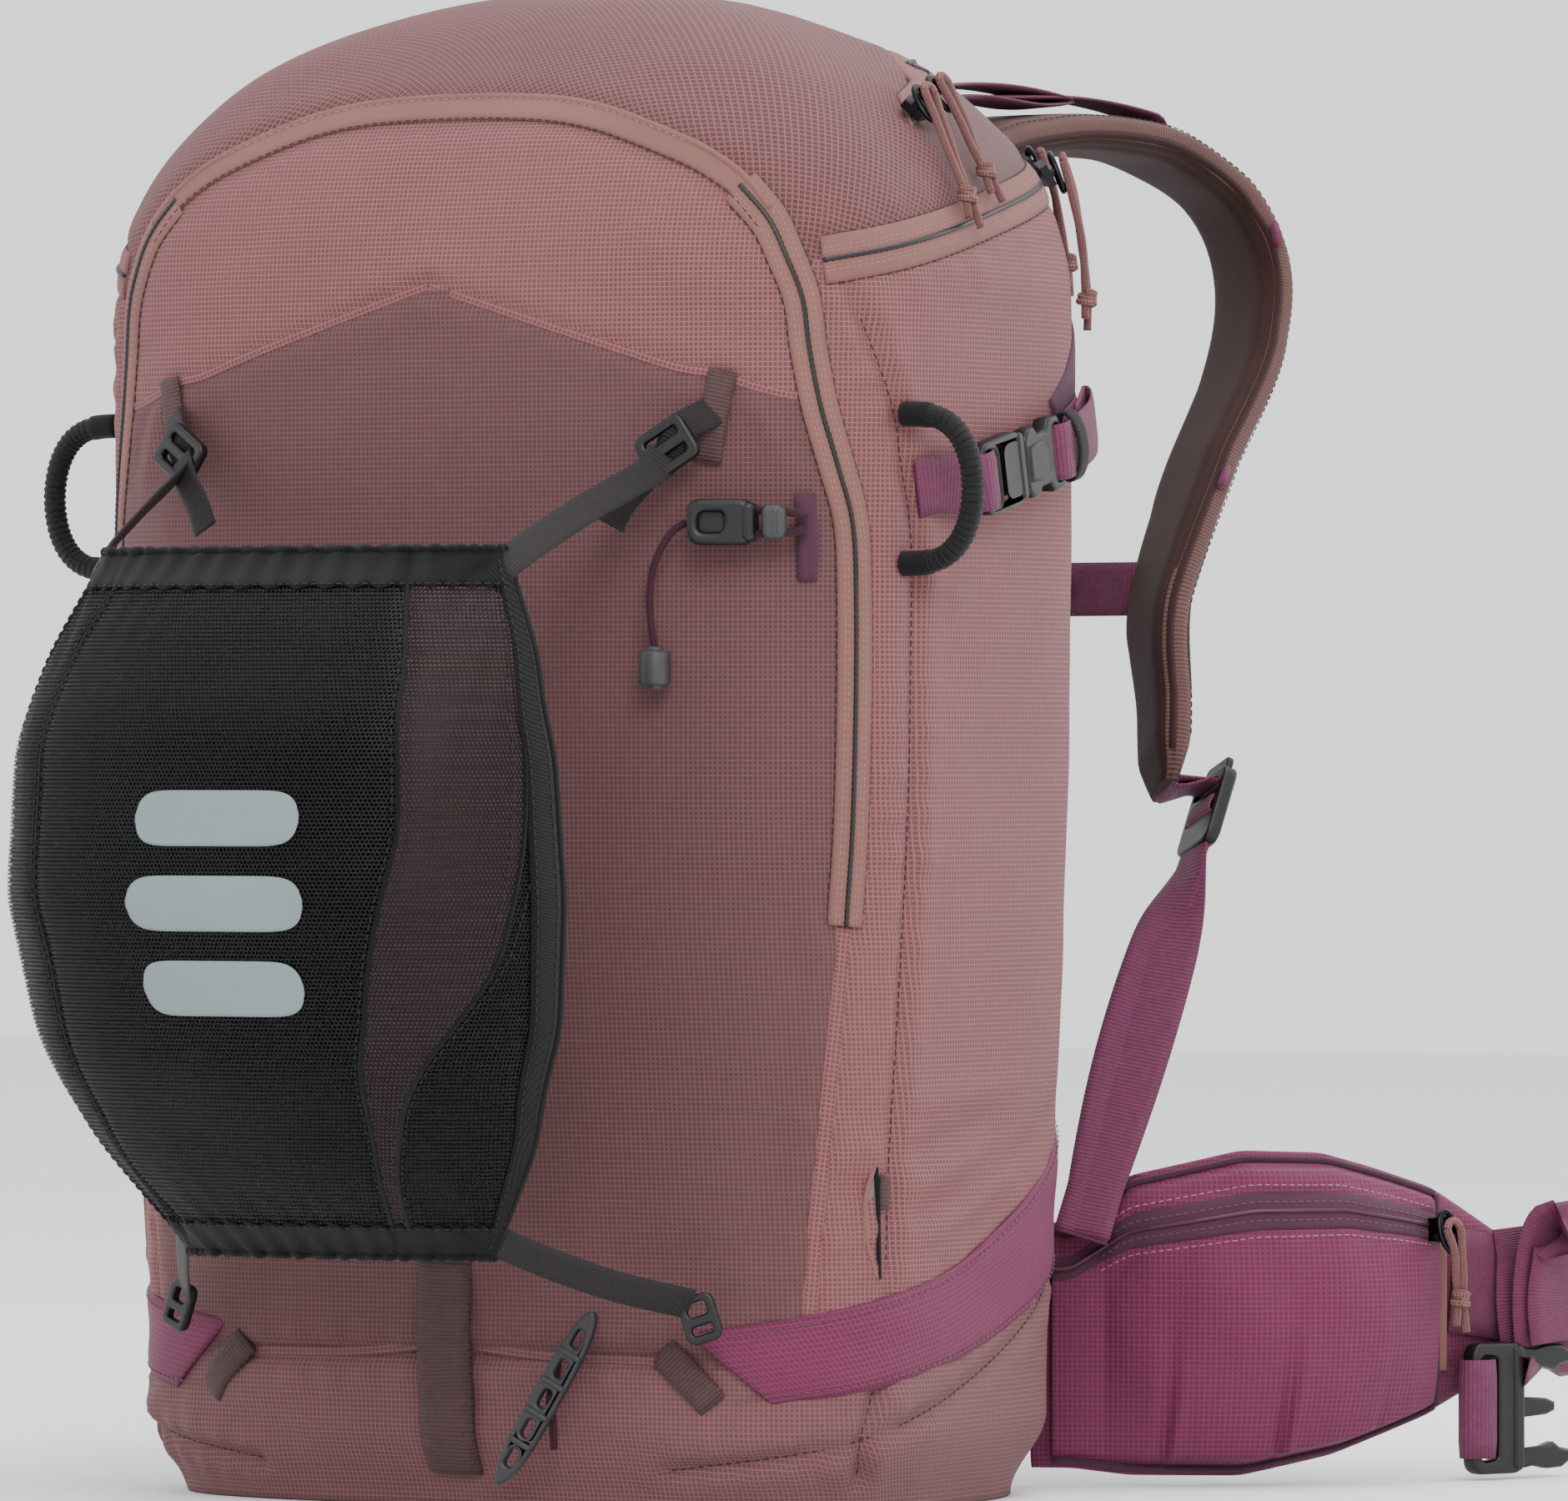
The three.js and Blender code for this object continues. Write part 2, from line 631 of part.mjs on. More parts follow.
function hipPouch() {
  const count = 14;
  const rows = 6;
  return loft(
    Array.from({ length: count + 1 }, (_, i) => {
      const t = POUCH_START + (POUCH_END - POUCH_START) * (i / count);
      const [z0, z1] = [straight(FIN_FOOT, t) + 4.5, straight(FIN_TOP, t) - 4.5];
      const front = Array.from({ length: rows + 1 }, (_, k) => {
        const v = k / rows;
        return finPoint(t, z0 + (z1 - z0) * v, pouchRise(t, v));
      });
      return [finPoint(t, z0, 0.5), ...front, finPoint(t, z1, 0.5)];
    }),
  );
}

const POUCH_ZIP = 0.84; // height fraction of the pouch zip
const HIP_SLIDER_T = 0.64;

function sliderBody() {
  const shape = new THREE.Shape();
  shape.moveTo(-4.2, -5);
  shape.lineTo(4.2, -5);
  shape.lineTo(5, 2);
  shape.lineTo(3, 5.5);
  shape.lineTo(-3, 5.5);
  shape.lineTo(-5, 2);
  shape.closePath();
  const body = new THREE.ExtrudeGeometry(shape, { depth: 3, bevelEnabled: false });
  const bridge = plate(3, 9, 2.4, 0.9);
  bridge.translate(0, 0, 4.0);
  return joined(body, bridge);
}

function hipZ(t, v) {
  const [z0, z1] = [straight(FIN_FOOT, t) + 4.5, straight(FIN_TOP, t) - 4.5];
  return z0 + (z1 - z0) * v;
}

function hipSlider() {
  const rise = pouchRise(HIP_SLIDER_T, POUCH_ZIP) + 3.2;
  const at = finPoint(HIP_SLIDER_T, hipZ(HIP_SLIDER_T, POUCH_ZIP), rise);
  const ahead = finPoint(HIP_SLIDER_T + 0.01, at.z, 0).sub(finPoint(HIP_SLIDER_T, at.z, 0));
  const out = finPoint(HIP_SLIDER_T, at.z, 10).sub(finPoint(HIP_SLIDER_T, at.z, 0));
  return placed(sliderBody(), at, vec(0, 0, 1).cross(ahead).cross(ahead).add(vec(0, 0, 0.01)), out);
}

// Folded belt webbing on the fin's tip, with the buckle half below it.
function beltWebbing() {
  const points = [88, 76, 64, 52].map((z) => finPoint(0.875, z, 6.5));
  const along1 = finPoint(0.895, 70, 6.5).sub(finPoint(0.855, 70, 6.5));
  return band(points, points.map(() => along1.clone()), BELT_WEB, 7);
}

const BUCKLE_T = 0.765;
const BUCKLE_PIVOT = finPoint(BUCKLE_T, 26, 8);

function beltBuckle(isMale) {
  const ring = plate(24, 46, 7, 3, [[8, 38, -4, 0]]);
  const parts = [];
  if (isMale) {
    [-19, 19].forEach((y) => {
      const prong = plate(26, 5, 5, 2);
      prong.translate(22, y, 0);
      parts.push(prong);
    });
    const tongue = plate(20, 7, 3, 2);
    tongue.translate(20, 0, 0);
    parts.push(tongue);
  } else {
    const shell = plate(26, 46, 12, 4);
    shell.translate(22, 0, 0);
    parts.push(shell);
  }
  return joined(ring, ...parts);
}

// ---- side fittings -------------------------------------------------------------------------
// Bands run at [y, z] on the side wall.
const sidePath = (stations) => stations.map(([y, z]) => [sideAt(y, z), z]);

function compressionFront() {
  return surfaceBand(sidePath([[-49, 357], [-38, 359], [-28, 361]]), WEB, 2.2, 2.6);
}

function compressionRear() {
  return surfaceBand(sidePath([[44, 375], [62, 381], [80, 388]]), WEB, 3.4, 2.6);
}

function sideFrame(y, z, lean, standOff) {
  const at = bagPoint(sideAt(y, z), z, standOff);
  const behind = bagPoint(sideAt(y + 6, z), z, standOff).sub(at).normalize();
  const out = bagPoint(sideAt(y, z), z, standOff + 5).sub(at).normalize();
  const back = behind.multiplyScalar(Math.cos(lean)).add(vec(0, 0, Math.sin(lean)));
  return { at, out, back };
}

const BUCKLE_LEAN = degrees(13);

function sideBuckleFemale() {
  const { at, out, back } = sideFrame(-10, 363, BUCKLE_LEAN, 6.2);
  const ring = plate(28, 26, 6, 3, [[7, 21, -8, 0], [11, 20, 4.5, 0]]);
  return placed(ring, at, back, out);
}

function sideBuckleMale() {
  const { at, out, back } = sideFrame(19, 369, BUCKLE_LEAN, 6.2);
  const body = plate(26, 26, 6, 3, [[7, 21, 7, 0]]);
  return placed(body, at, back, out);
}

// Stiff ribbed loop that holds one ski tip.
const LOOP_Y = -50;
const LOOP_LOW = 332;
const LOOP_HIGH = 382;
const LOOP_REACH = 22;

function skiLoop() {
  const s = sideAt(LOOP_Y, LOOP_HIGH);
  const foot = bagPoint(s, LOOP_LOW, 9);
  const head = bagPoint(s, LOOP_HIGH, 9);
  const out = bagPoint(s, LOOP_HIGH, 19).sub(head).normalize();
  const tilt = out.clone().multiplyScalar(0.96).add(vec(0, 0.28, 0)).normalize();
  const points = Array.from({ length: 9 }, (_, i) => {
    const a = (i / 8) * Math.PI;
    const base = foot.clone().lerp(head, (1 - Math.cos(a)) / 2);
    return base.addScaledVector(tilt, Math.sin(a) ** 0.7 * LOOP_REACH);
  });
  return tube(points, 4.2, 18, 8);
}

// Plum wing that wraps the lower side from the back edge to the front corner.
function lowerWing() {
  return surfaceBand(
    [...sidePath([[-72, 56], [-48, 60], [0, 72], [50, 92]]), [sideAt(92, 116), 116]],
    (t) => straight([[0, 25], [0.5, 30], [1, 40]], t),
    1.8,
    SKIN,
  );
}

// ---- helmet carrier ------------------------------------------------------------------------
const NET_LOW = 97;
const NET_HIGH = 334;
const NET_HALF = [[97, 64], [130, 86], [170, 102], [215, 108], [265, 105], [300, 96], [334, 80]];
const NET_EDGE = [[97, -166], [150, -186], [215, -196], [280, -198], [334, -188]];
const NET_DEPTH = [[97, 14], [120, 36], [160, 60], [215, 71], [270, 62], [310, 36], [334, 16]];
const NET_THICK = 2.4;

function netPoint(u, z) {
  const half = straight(NET_HALF, z);
  const y = straight(NET_EDGE, z) - straight(NET_DEPTH, z) * (1 - Math.abs(u) ** 2.6) ** 0.55;
  return vec(half * u, y, z);
}

function helmetNet() {
  const columns = 16;
  const rows = 12;
  const outer = Array.from({ length: rows + 1 }, (_, r) => {
    const z = NET_LOW + ((NET_HIGH - NET_LOW) * r) / rows;
    return Array.from({ length: columns + 1 }, (_, c) => {
      const a = (c / columns) * 2 - 1;
      return netPoint(Math.sin((a * Math.PI) / 2), z);
    });
  });
  const inner = outer.map((row) => row.map((p) => vec(p.x * (1 - NET_THICK / 110), p.y + NET_THICK, p.z)));
  return sheetSolid(outer, inner);
}

const CARRIER_X = 97;

// Webbing from the net's top corner to the tri-glide above it.
function carrierStrapUpper() {
  const from = netPoint(1, NET_HIGH - 6).add(vec(2, 6, 3));
  const to = vec(CARRIER_X, -117, 361);
  const points = [from, from.clone().lerp(to, 0.5), to];
  return band(points, points.map(() => vec(0.6, 0.1, -0.8)), NARROW_WEB, 1.6);
}

function triGlide() {
  const ring = plate(20, 17, 4, 2, [[13, 3.4, 0, 3.6], [13, 3.4, 0, -3.6]]);
  const at = vec(CARRIER_X + 3, -112, 371);
  return placed(ring, at, vec(0.75, 0.1, 0.5), vec(0.2, -1, 0.1));
}

// ---- tool holder: bungee, cord lock and axe toggle -------------------------------------------
const LOCK_S = 116;
const LOCK_Z = 345;

function lockFrame() {
  const at = bagPoint(LOCK_S, LOCK_Z, 10);
  const out = bagPoint(LOCK_S, LOCK_Z, 20).sub(at).normalize();
  const across = vec(-out.y, out.x, 0);
  return { at, out, across };
}

function cordLock() {
  const { at, out, across } = lockFrame();
  const body = plate(22, 16, 11, 3, [[10, 7, -3, 0]]);
  return placed(body, at, across, out);
}

function cordLockButton() {
  const { at, out, across } = lockFrame();
  const cap = plate(8, 12, 9, 2.5);
  return placed(cap, at.clone().addScaledVector(across, 18.5), across, out);
}

const BUNGEE_LINE = () => {
  const { at, out, across } = lockFrame();
  const start = at.clone().addScaledVector(across, -13).addScaledVector(out, -2);
  return [
    start, start.clone().add(vec(-5, -2, -4)), start.clone().add(vec(-10, -4, -14)),
    start.clone().add(vec(-12, -4, -24)), start.clone().add(vec(-12, -3.4, -34)),
    start.clone().add(vec(-10.6, -3, -44)),
  ];
};

function bungeeTail() {
  return tube(BUNGEE_LINE(), ELASTIC / 2, 12, 8);
}

function bungeeEnd() {
  const hexagon = new THREE.CylinderGeometry(5.6, 5.6, 12, 6);
  hexagon.rotateX(Math.PI / 2);
  const line = BUNGEE_LINE();
  const end = line[line.length - 1];
  hexagon.translate(end.x, end.y, end.z - 6.4);
  return hexagon;
}

function axeToggle() {
  const bar = plate(70, 12, 5, 5, [[14, 4, -22, 0], [14, 4, 0, 0], [14, 4, 22, 0]]);
  return placed(bar, vec(48, -107, 40), vec(0.5, -0.02, 0.86), vec(0.2, -1, 0.05));
}

// ---- zip sliders and their cord pulls ----------------------------------------------------------
// Sliders sit on the right side; each pair meets back to back.
const LID_SLIDERS = [[-14, 489], [4, 493]]; // each at [y, height]
const MAIN_SLIDERS = [[72, 470], [84, 473]];
const SLIDER_OFF = 2.2;

function topFrame(s, z) {
  const at = bagPoint(s, z, SLIDER_OFF);
  const out = bagPoint(s, z, SLIDER_OFF + 5).sub(at).normalize();
  const ahead = bagPoint(s + 4, z + 1.2, SLIDER_OFF).sub(at).normalize();
  return { at, out, ahead };
}

// Ring puller and doubled cord, hanging from the slider down the fabric.
function pullLine(s, z, drop) {
  const { at, out } = topFrame(s, z);
  const angle = Math.atan2(at.y - AXIS_Y, at.x);
  // Standing `off` from the bag, straight out from its plan centre.
  const hanging = (down, off) => {
    let reach = 0;
    for (let a = -Math.PI / 2; a < Math.PI / 2; a += 0.004) {
      const p = bagAngle(a, z - down);
      const r = Math.hypot(p.x, p.y - AXIS_Y);
      if (Math.atan2(p.y - AXIS_Y, p.x) <= angle) reach = r;
    }
    reach += off;
    return vec(reach * Math.cos(angle), AXIS_Y + reach * Math.sin(angle), z - down);
  };
  return [
    at.clone().addScaledVector(out, 9.5), hanging(6, 10), hanging(0.4 * drop, 7),
    hanging(0.7 * drop, 6), hanging(drop, 6),
  ];
}

function topSlider(s, z) {
  const { at, out, ahead } = topFrame(s, z);
  return placed(sliderBody(), at, ahead.clone().cross(out), out);
}

const cordPull = (s, z, drop) => tube(pullLine(s, z, drop), CORD, 10, 8);

function hipPullLine() {
  const z = hipZ(HIP_SLIDER_T, POUCH_ZIP);
  const rise = pouchRise(HIP_SLIDER_T, POUCH_ZIP);
  const far = rise + 13.8;
  return [
    finPoint(HIP_SLIDER_T, z, rise + 12.4), finPoint(HIP_SLIDER_T + 0.004, z - 8, far),
    finPoint(HIP_SLIDER_T + 0.008, z - 22, far), finPoint(HIP_SLIDER_T + 0.01, z - 38, far),
  ];
}

// ---- assembly ------------------------------------------------------------------------------------
const pack = new THREE.Group();
const add = (...args) => pack.add(piece(...args));

// Adds the same piece on both sides; `make` builds the right one, at +X.
function addPair(name, make, color, roughness) {
  const right = make();
  add(`${name}_right`, right, color, roughness);
  add(`${name}_left`, mirrorX(right), color, roughness);
}

const bag = bagPieces();
add('main_bag', bag.trunk, ROSE);
add('lid', bag.lid, ROSE);
add('front_pocket', bag.pocket, ROSE_DARK);
add('base', bag.base, ROSE_DARK);

add('frame_sheet', frameSheet(), GREY, 0.6);
add('frame_stay', frameStay(), GREY, 0.4);
const pad = backPad();
add('back_panel', joined(backPanel(), pad, mirrorX(pad)), FOAM, 0.95);
add('lumbar_pad', lumbarPad(), FOAM, 0.95);

addPair('shoulder_strap', shoulderStrap, FOAM, 0.95);
addPair('ladder_lock', ladderLock, BLACK, 0.4);
addPair('lower_webbing', lowerWebbing, PLUM, 0.8);
addPair('load_lifter', loadLifter, PLUM, 0.8);
add('sternum_strap', sternumStrap(), PLUM, 0.8);
add('sternum_buckle', sternumBuckle(), BLACK, 0.4);

addPair('hip_fin', hipFin, PLUM, 0.85);
addPair('hip_pouch', hipPouch, PLUM, 0.85);
addPair('hip_slider', hipSlider, BLACK, 0.4);
addPair('hip_pull', () => tube(hipPullLine(), CORD, 10, 8), ROSE, 0.9);
addPair('belt_webbing', beltWebbing, PLUM, 0.8);

const buckleAcross = finPoint(BUCKLE_T + 0.01, 26, 8).sub(finPoint(BUCKLE_T - 0.01, 26, 8));
const buckleOut = finPoint(BUCKLE_T, 26, 20).sub(BUCKLE_PIVOT);
const maleBuckle = placed(beltBuckle(true), BUCKLE_PIVOT, buckleAcross, buckleOut);
const femaleBuckle = placed(beltBuckle(false), BUCKLE_PIVOT, buckleAcross, buckleOut);
add('belt_buckle_male', maleBuckle, BLACK, 0.4);
add('belt_buckle_female', mirrorX(femaleBuckle), BLACK, 0.4);

addPair('compression_front', compressionFront, PLUM_LIGHT, 0.8);
addPair('compression_rear', compressionRear, PLUM_LIGHT, 0.8);
addPair('side_buckle_female', sideBuckleFemale, BLACK, 0.4);
addPair('side_buckle_male', sideBuckleMale, BLACK, 0.4);
addPair('ski_loop', skiLoop, BLACK, 0.6);
addPair('lower_wing', lowerWing, PLUM, 0.85);

add('helmet_net', helmetNet(), BLACK, 0.9);
addPair('carrier_strap_upper', carrierStrapUpper, BLACK, 0.8);
addPair('tri_glide', triGlide, BLACK, 0.4);

add('cord_lock', cordLock(), BLACK, 0.4);
add('cord_lock_button', cordLockButton(), GREY, 0.5);
add('bungee_tail', bungeeTail(), PLUM, 0.7);
add('bungee_end', bungeeEnd(), GREY, 0.5);
add('axe_toggle', axeToggle(), GREY, 0.5);

LID_SLIDERS.map(([y, z]) => [sideAt(y, z), z]).forEach(([s, z], i) => {
  add(`lid_slider_${i + 1}`, topSlider(s, z), BLACK, 0.4);
  add(`lid_pull_${i + 1}`, cordPull(s, z, 40 - 6 * i), ROSE, 0.9);
});
MAIN_SLIDERS.map(([y, z]) => [sideAt(y, z), z]).forEach(([s, z], i) => {
  add(`main_slider_${i + 1}`, topSlider(s, z), BLACK, 0.4);
  add(`main_pull_${i + 1}`, cordPull(s, z, 54 - 10 * i), ROSE, 0.9);
});

export default pack;
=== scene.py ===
# Ski backpack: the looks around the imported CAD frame. Lengths are in millimetres until a mesh is
# made, which turns them into metres. -Y is the pack's front and +Y the wearer's side.
import math

import bmesh
import bpy
import numpy as np
from mathutils import Matrix, Vector
from mathutils.kdtree import KDTree


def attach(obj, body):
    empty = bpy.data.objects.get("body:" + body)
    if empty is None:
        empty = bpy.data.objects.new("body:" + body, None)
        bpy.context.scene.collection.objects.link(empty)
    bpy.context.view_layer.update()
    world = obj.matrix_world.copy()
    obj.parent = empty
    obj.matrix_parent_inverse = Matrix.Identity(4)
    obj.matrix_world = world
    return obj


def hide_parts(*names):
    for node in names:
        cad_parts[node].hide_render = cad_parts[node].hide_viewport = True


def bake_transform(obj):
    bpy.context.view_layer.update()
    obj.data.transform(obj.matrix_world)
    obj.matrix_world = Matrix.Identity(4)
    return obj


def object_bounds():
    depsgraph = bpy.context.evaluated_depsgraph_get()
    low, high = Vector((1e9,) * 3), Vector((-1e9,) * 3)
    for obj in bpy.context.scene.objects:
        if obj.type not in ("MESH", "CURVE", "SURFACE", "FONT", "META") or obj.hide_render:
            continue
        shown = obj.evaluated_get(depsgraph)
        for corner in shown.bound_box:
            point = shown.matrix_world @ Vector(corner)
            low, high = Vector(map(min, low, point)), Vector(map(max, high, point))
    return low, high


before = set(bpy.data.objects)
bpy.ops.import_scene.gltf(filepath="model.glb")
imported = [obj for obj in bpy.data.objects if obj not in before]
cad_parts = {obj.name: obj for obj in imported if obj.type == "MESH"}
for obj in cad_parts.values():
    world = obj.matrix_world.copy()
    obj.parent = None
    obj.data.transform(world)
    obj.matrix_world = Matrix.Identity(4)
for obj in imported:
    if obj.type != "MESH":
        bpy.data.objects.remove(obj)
cad_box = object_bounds()

MM = 0.001

# ---- bag shape, the same curves as the CAD solids -------------------------------------------
HEIGHT = 538.0
HALF_WIDTH = 168.0
FRONT_DEPTH = 108.0
BACK_DEPTH = 110.0
DOME_START = 425.0
AXIS_Y = 12.0
FRONT_ROUND = 3.2
BACK_ROUND = 3.8
POCKET_SEAM = [(64, -72), (340, -72), (385, -81), (405, -83.5), (423, -85), (437, -87.4)]

WEB = 20.0
BELT_WIDTH = 38.0
NARROW_WEB = 11.0
CORD = 3.0


def smooth(a, b, t):
    t = np.clip((np.asarray(t, float) - a) / (b - a), 0, 1)
    return t * t * (3 - 2 * t)


def bump(t, centre, width):
    """A smooth hill of height 1 at centre."""
    return np.exp(-(((np.asarray(t, float) - centre) / width) ** 2))


def bag_size(z):
    """Half width, front depth, back depth and dome share of the bag at height z."""
    foot = smooth(0, 30, z)
    rise = np.clip((np.asarray(z, float) - DOME_START) / (HEIGHT - DOME_START), 0, 1)
    dome = np.sqrt(np.maximum(0, 1 - rise ** 2.15))
    half = HALF_WIDTH - 23 + 13 * foot + 10 * smooth(40, 300, z)
    front = FRONT_DEPTH - 24 + 10 * foot + 14 * smooth(40, 260, z)
    back = BACK_DEPTH - 6 + 6 * foot
    return half, front, back, dome


def bag_angle(angle, z):
    """Plan point of the bag at height z; angle 0 is +X and -90 degrees is the front centre."""
    half, front, back, dome = bag_size(z)
    c, s = np.cos(angle), np.sin(angle)
    power = 2 / np.where(s < 0, FRONT_ROUND, BACK_ROUND)
    x = half * np.sign(c) * np.abs(c) ** power
    y = np.where(s < 0, front, back) * np.sign(s) * np.abs(s) ** power
    x, y = x * dome, AXIS_Y + (y - AXIS_Y) * dome
    return np.stack([x, y, np.broadcast_to(np.asarray(z, float), x.shape)], -1)


QUARTER = (1 - np.cos(np.linspace(0, math.pi, 181))) / 2 * math.pi / 2
HALF_TURN = np.concatenate([QUARTER - math.pi / 2, QUARTER[1:]])  # closest together at the flat sides


def girth_angle(s, z):
    """Angle of the point s millimetres round from the front centre line, at height z."""
    s, z = np.broadcast_arrays(np.asarray(s, float), np.asarray(z, float))
    flat_s, flat_z = np.abs(s).ravel(), z.ravel()
    points = bag_angle(HALF_TURN[:, None], flat_z[None, :])
    steps = np.linalg.norm(np.diff(points, axis=0), axis=2)
    gone = np.vstack([np.zeros(flat_z.size), np.cumsum(steps, axis=0)])
    i = np.clip((gone < flat_s).sum(0), 1, HALF_TURN.size - 1)
    columns = np.arange(flat_z.size)
    low, high = gone[i - 1, columns], gone[i, columns]
    t = np.clip((flat_s - low) / np.maximum(high - low, 1e-9), 0, 1)
    return (HALF_TURN[i - 1] + t * (HALF_TURN[i] - HALF_TURN[i - 1])).reshape(s.shape)


def bag_normal(angle, z):
    e = 0.004
    across = bag_angle(angle + e, z) - bag_angle(angle - e, z)
    up = bag_angle(angle, z + 0.5) - bag_angle(angle, z - 0.5)
    n = np.cross(across, up)
    return n / np.maximum(np.linalg.norm(n, axis=-1, keepdims=True), 1e-9)


def on_bag(s, z, out=0.0):
    """Points on the bag at girth s (negative on the left) and height z, standing `out` off it."""
    angle = girth_angle(s, z)
    z = np.broadcast_to(np.asarray(z, float), angle.shape)
    p = bag_angle(angle, z) + bag_normal(angle, z) * np.asarray(out, float)[..., None]
    p[..., 0] *= np.where(np.broadcast_to(s, angle.shape) < 0, -1, 1)
    return p


def side_at(y, z):
    """Girth position of the point on the right side at depth y."""
    low, high = 0.0, 520.0
    for _ in range(22):
        mid = (low + high) / 2
        if on_bag(mid, z)[1] < y:
            low = mid
        else:
            high = mid
    return low


# ---- mesh helpers -----------------------------------------------------------------------------
def link(name, mesh, material):
    piece = bpy.data.objects.new(name, mesh)
    bpy.context.scene.collection.objects.link(piece)
    if material:
        mesh.materials.append(material)
    return piece


def grid_faces(rows, columns, closed=False, offset=0):
    r = np.arange(rows - 1)[:, None]
    c = np.arange(columns if closed else columns - 1)[None, :]
    nxt = (c + 1) % columns
    quads = np.stack([r * columns + c, r * columns + nxt, (r + 1) * columns + nxt, (r + 1) * columns + c], -1)
    return (quads.reshape(-1, 4) + offset).tolist()


def mesh_piece(name, points, faces, material, weave=None, shade=True):
    """Piece from points in millimetres; `weave` gives each point's cloth coordinates in millimetres."""
    mesh = bpy.data.meshes.new(name)
    mesh.from_pydata((np.asarray(points, float).reshape(-1, 3) * MM).tolist(), [], faces)
    mesh.validate()
    if weave is not None:
        layer = mesh.uv_layers.new(name="weave")
        corners = np.zeros(len(mesh.loops), int)
        mesh.loops.foreach_get("vertex_index", corners)
        layer.data.foreach_set("uv", np.asarray(weave, float).reshape(-1, 2)[corners].ravel())
    if shade:
        mesh.polygons.foreach_set("use_smooth", np.ones(len(mesh.polygons), bool))
    mesh.update()
    return link(name, mesh, material)


def outward(piece):
    bm = bmesh.new()
    bm.from_mesh(piece.data)
    bmesh.ops.recalc_face_normals(bm, faces=bm.faces)
    bm.to_mesh(piece.data)
    bm.free()
    return piece


def modifier(piece, kind, **values):
    m = piece.modifiers.new(kind.title(), kind)
    for key, value in values.items():
        setattr(m, key, value)
    return m


def apply_modifiers(piece):
    graph = bpy.context.evaluated_depsgraph_get()
    graph.update()
    mesh = bpy.data.meshes.new_from_object(piece.evaluated_get(graph))
    piece.modifiers.clear()
    piece.data = mesh
    return piece


def joined(name, pieces):
    """One piece made of several, keeping their materials."""
    bpy.ops.object.select_all(action="DESELECT")
    for p in pieces:
        p.select_set(True)
    bpy.context.view_layer.objects.active = pieces[0]
    bpy.ops.object.join()
    pieces[0].name = name
    pieces[0].data.name = name
    return pieces[0]


def handed(piece, side):
    """Turns a right-hand piece into its mirror image when it is for the left side."""
    if side == "left":
        piece.data.transform(Matrix.Scale(-1, 4, (1, 0, 0)))
        piece.data.flip_normals()
    return piece


def mirrored(piece, name):
    """A copy on the other side of the pack."""
    mesh = piece.data.copy()
    mesh.transform(Matrix.Scale(-1, 4, (1, 0, 0)))
    mesh.flip_normals()
    mesh.name = name
    copy = bpy.data.objects.new(name, mesh)
    bpy.context.scene.collection.objects.link(copy)
    return copy


def unit(v):
    v = np.asarray(v, float)
    return v / np.maximum(np.linalg.norm(v, axis=-1, keepdims=True), 1e-9)


def spline(points, count):
    """Evenly spaced points on a smooth curve through `points`."""
    p = np.asarray(points, float)
    p = np.vstack([2 * p[0] - p[1], p, 2 * p[-1] - p[-2]])
    dense = []
    for i in range(1, len(p) - 2):
        t = np.linspace(0, 1, 24, endpoint=False)[:, None]
        a, b, c, d = p[i - 1], p[i], p[i + 1], p[i + 2]
        dense.append(
            0.5 * (
                2 * b + (c - a) * t + (2 * a - 5 * b + 4 * c - d) * t ** 2
                + (3 * b - a - 3 * c + d) * t ** 3
            )
        )
    dense = np.vstack([*dense, p[-2:-1]])
    gone = np.concatenate([[0], np.cumsum(np.linalg.norm(np.diff(dense, axis=0), axis=1))])
    at = np.linspace(0, gone[-1], count)
    return np.stack([np.interp(at, gone, dense[:, k]) for k in range(dense.shape[1])], -1)


def lengths(points):
    return np.concatenate([[0], np.cumsum(np.linalg.norm(np.diff(points, axis=0), axis=1))])


def section_loft(name, rings, material, weave=None, caps=True):
    """Closed piece through rings of points, capped by a fan at each end."""
    rings = np.asarray(rings, float)
    rows, columns = rings.shape[:2]
    faces = grid_faces(rows, columns, closed=True)
    if caps:
        faces.append(list(range(columns))[::-1])
        faces.append([(rows - 1) * columns + i for i in range(columns)])
    return outward(mesh_piece(name, rings, faces, material, weave))


def strap(name, centres, sides, width, thick, material, corner=0.45, bow=0.0):
    """Webbing along `centres`, its width along `sides`, with soft rounded edges."""
    centres = np.asarray(centres, float)
    count = len(centres)
    tangent = unit(np.gradient(centres, axis=0))
    sides = np.broadcast_to(np.asarray(sides, float), centres.shape)
    sides = unit(sides - tangent * (sides * tangent).sum(1, keepdims=True))
    out = np.cross(tangent, sides)
    across = np.concatenate([np.linspace(-1, 1, 7), np.linspace(1, -1, 7)])
    face = np.concatenate([np.full(7, 1.0), np.full(7, -1.0)])
    edge = np.where(np.abs(across) > 0.99, corner, 1.0)
    w = np.broadcast_to(np.asarray(width, float), (count,))[:, None, None] / 2
    h = np.broadcast_to(np.asarray(thick, float), (count,))[:, None, None] / 2
    lift = (face * edge)[None, :, None] * h + bow * (1 - across ** 2)[None, :, None]
    rings = centres[:, None, :] + sides[:, None, :] * across[None, :, None] * w + out[:, None, :] * lift
    u = np.broadcast_to(lengths(centres)[:, None], (count, 14))
    v = np.broadcast_to(across[None, :] * w[:, :, 0], (count, 14))
    return section_loft(name, rings, material, np.stack([u, v], -1))


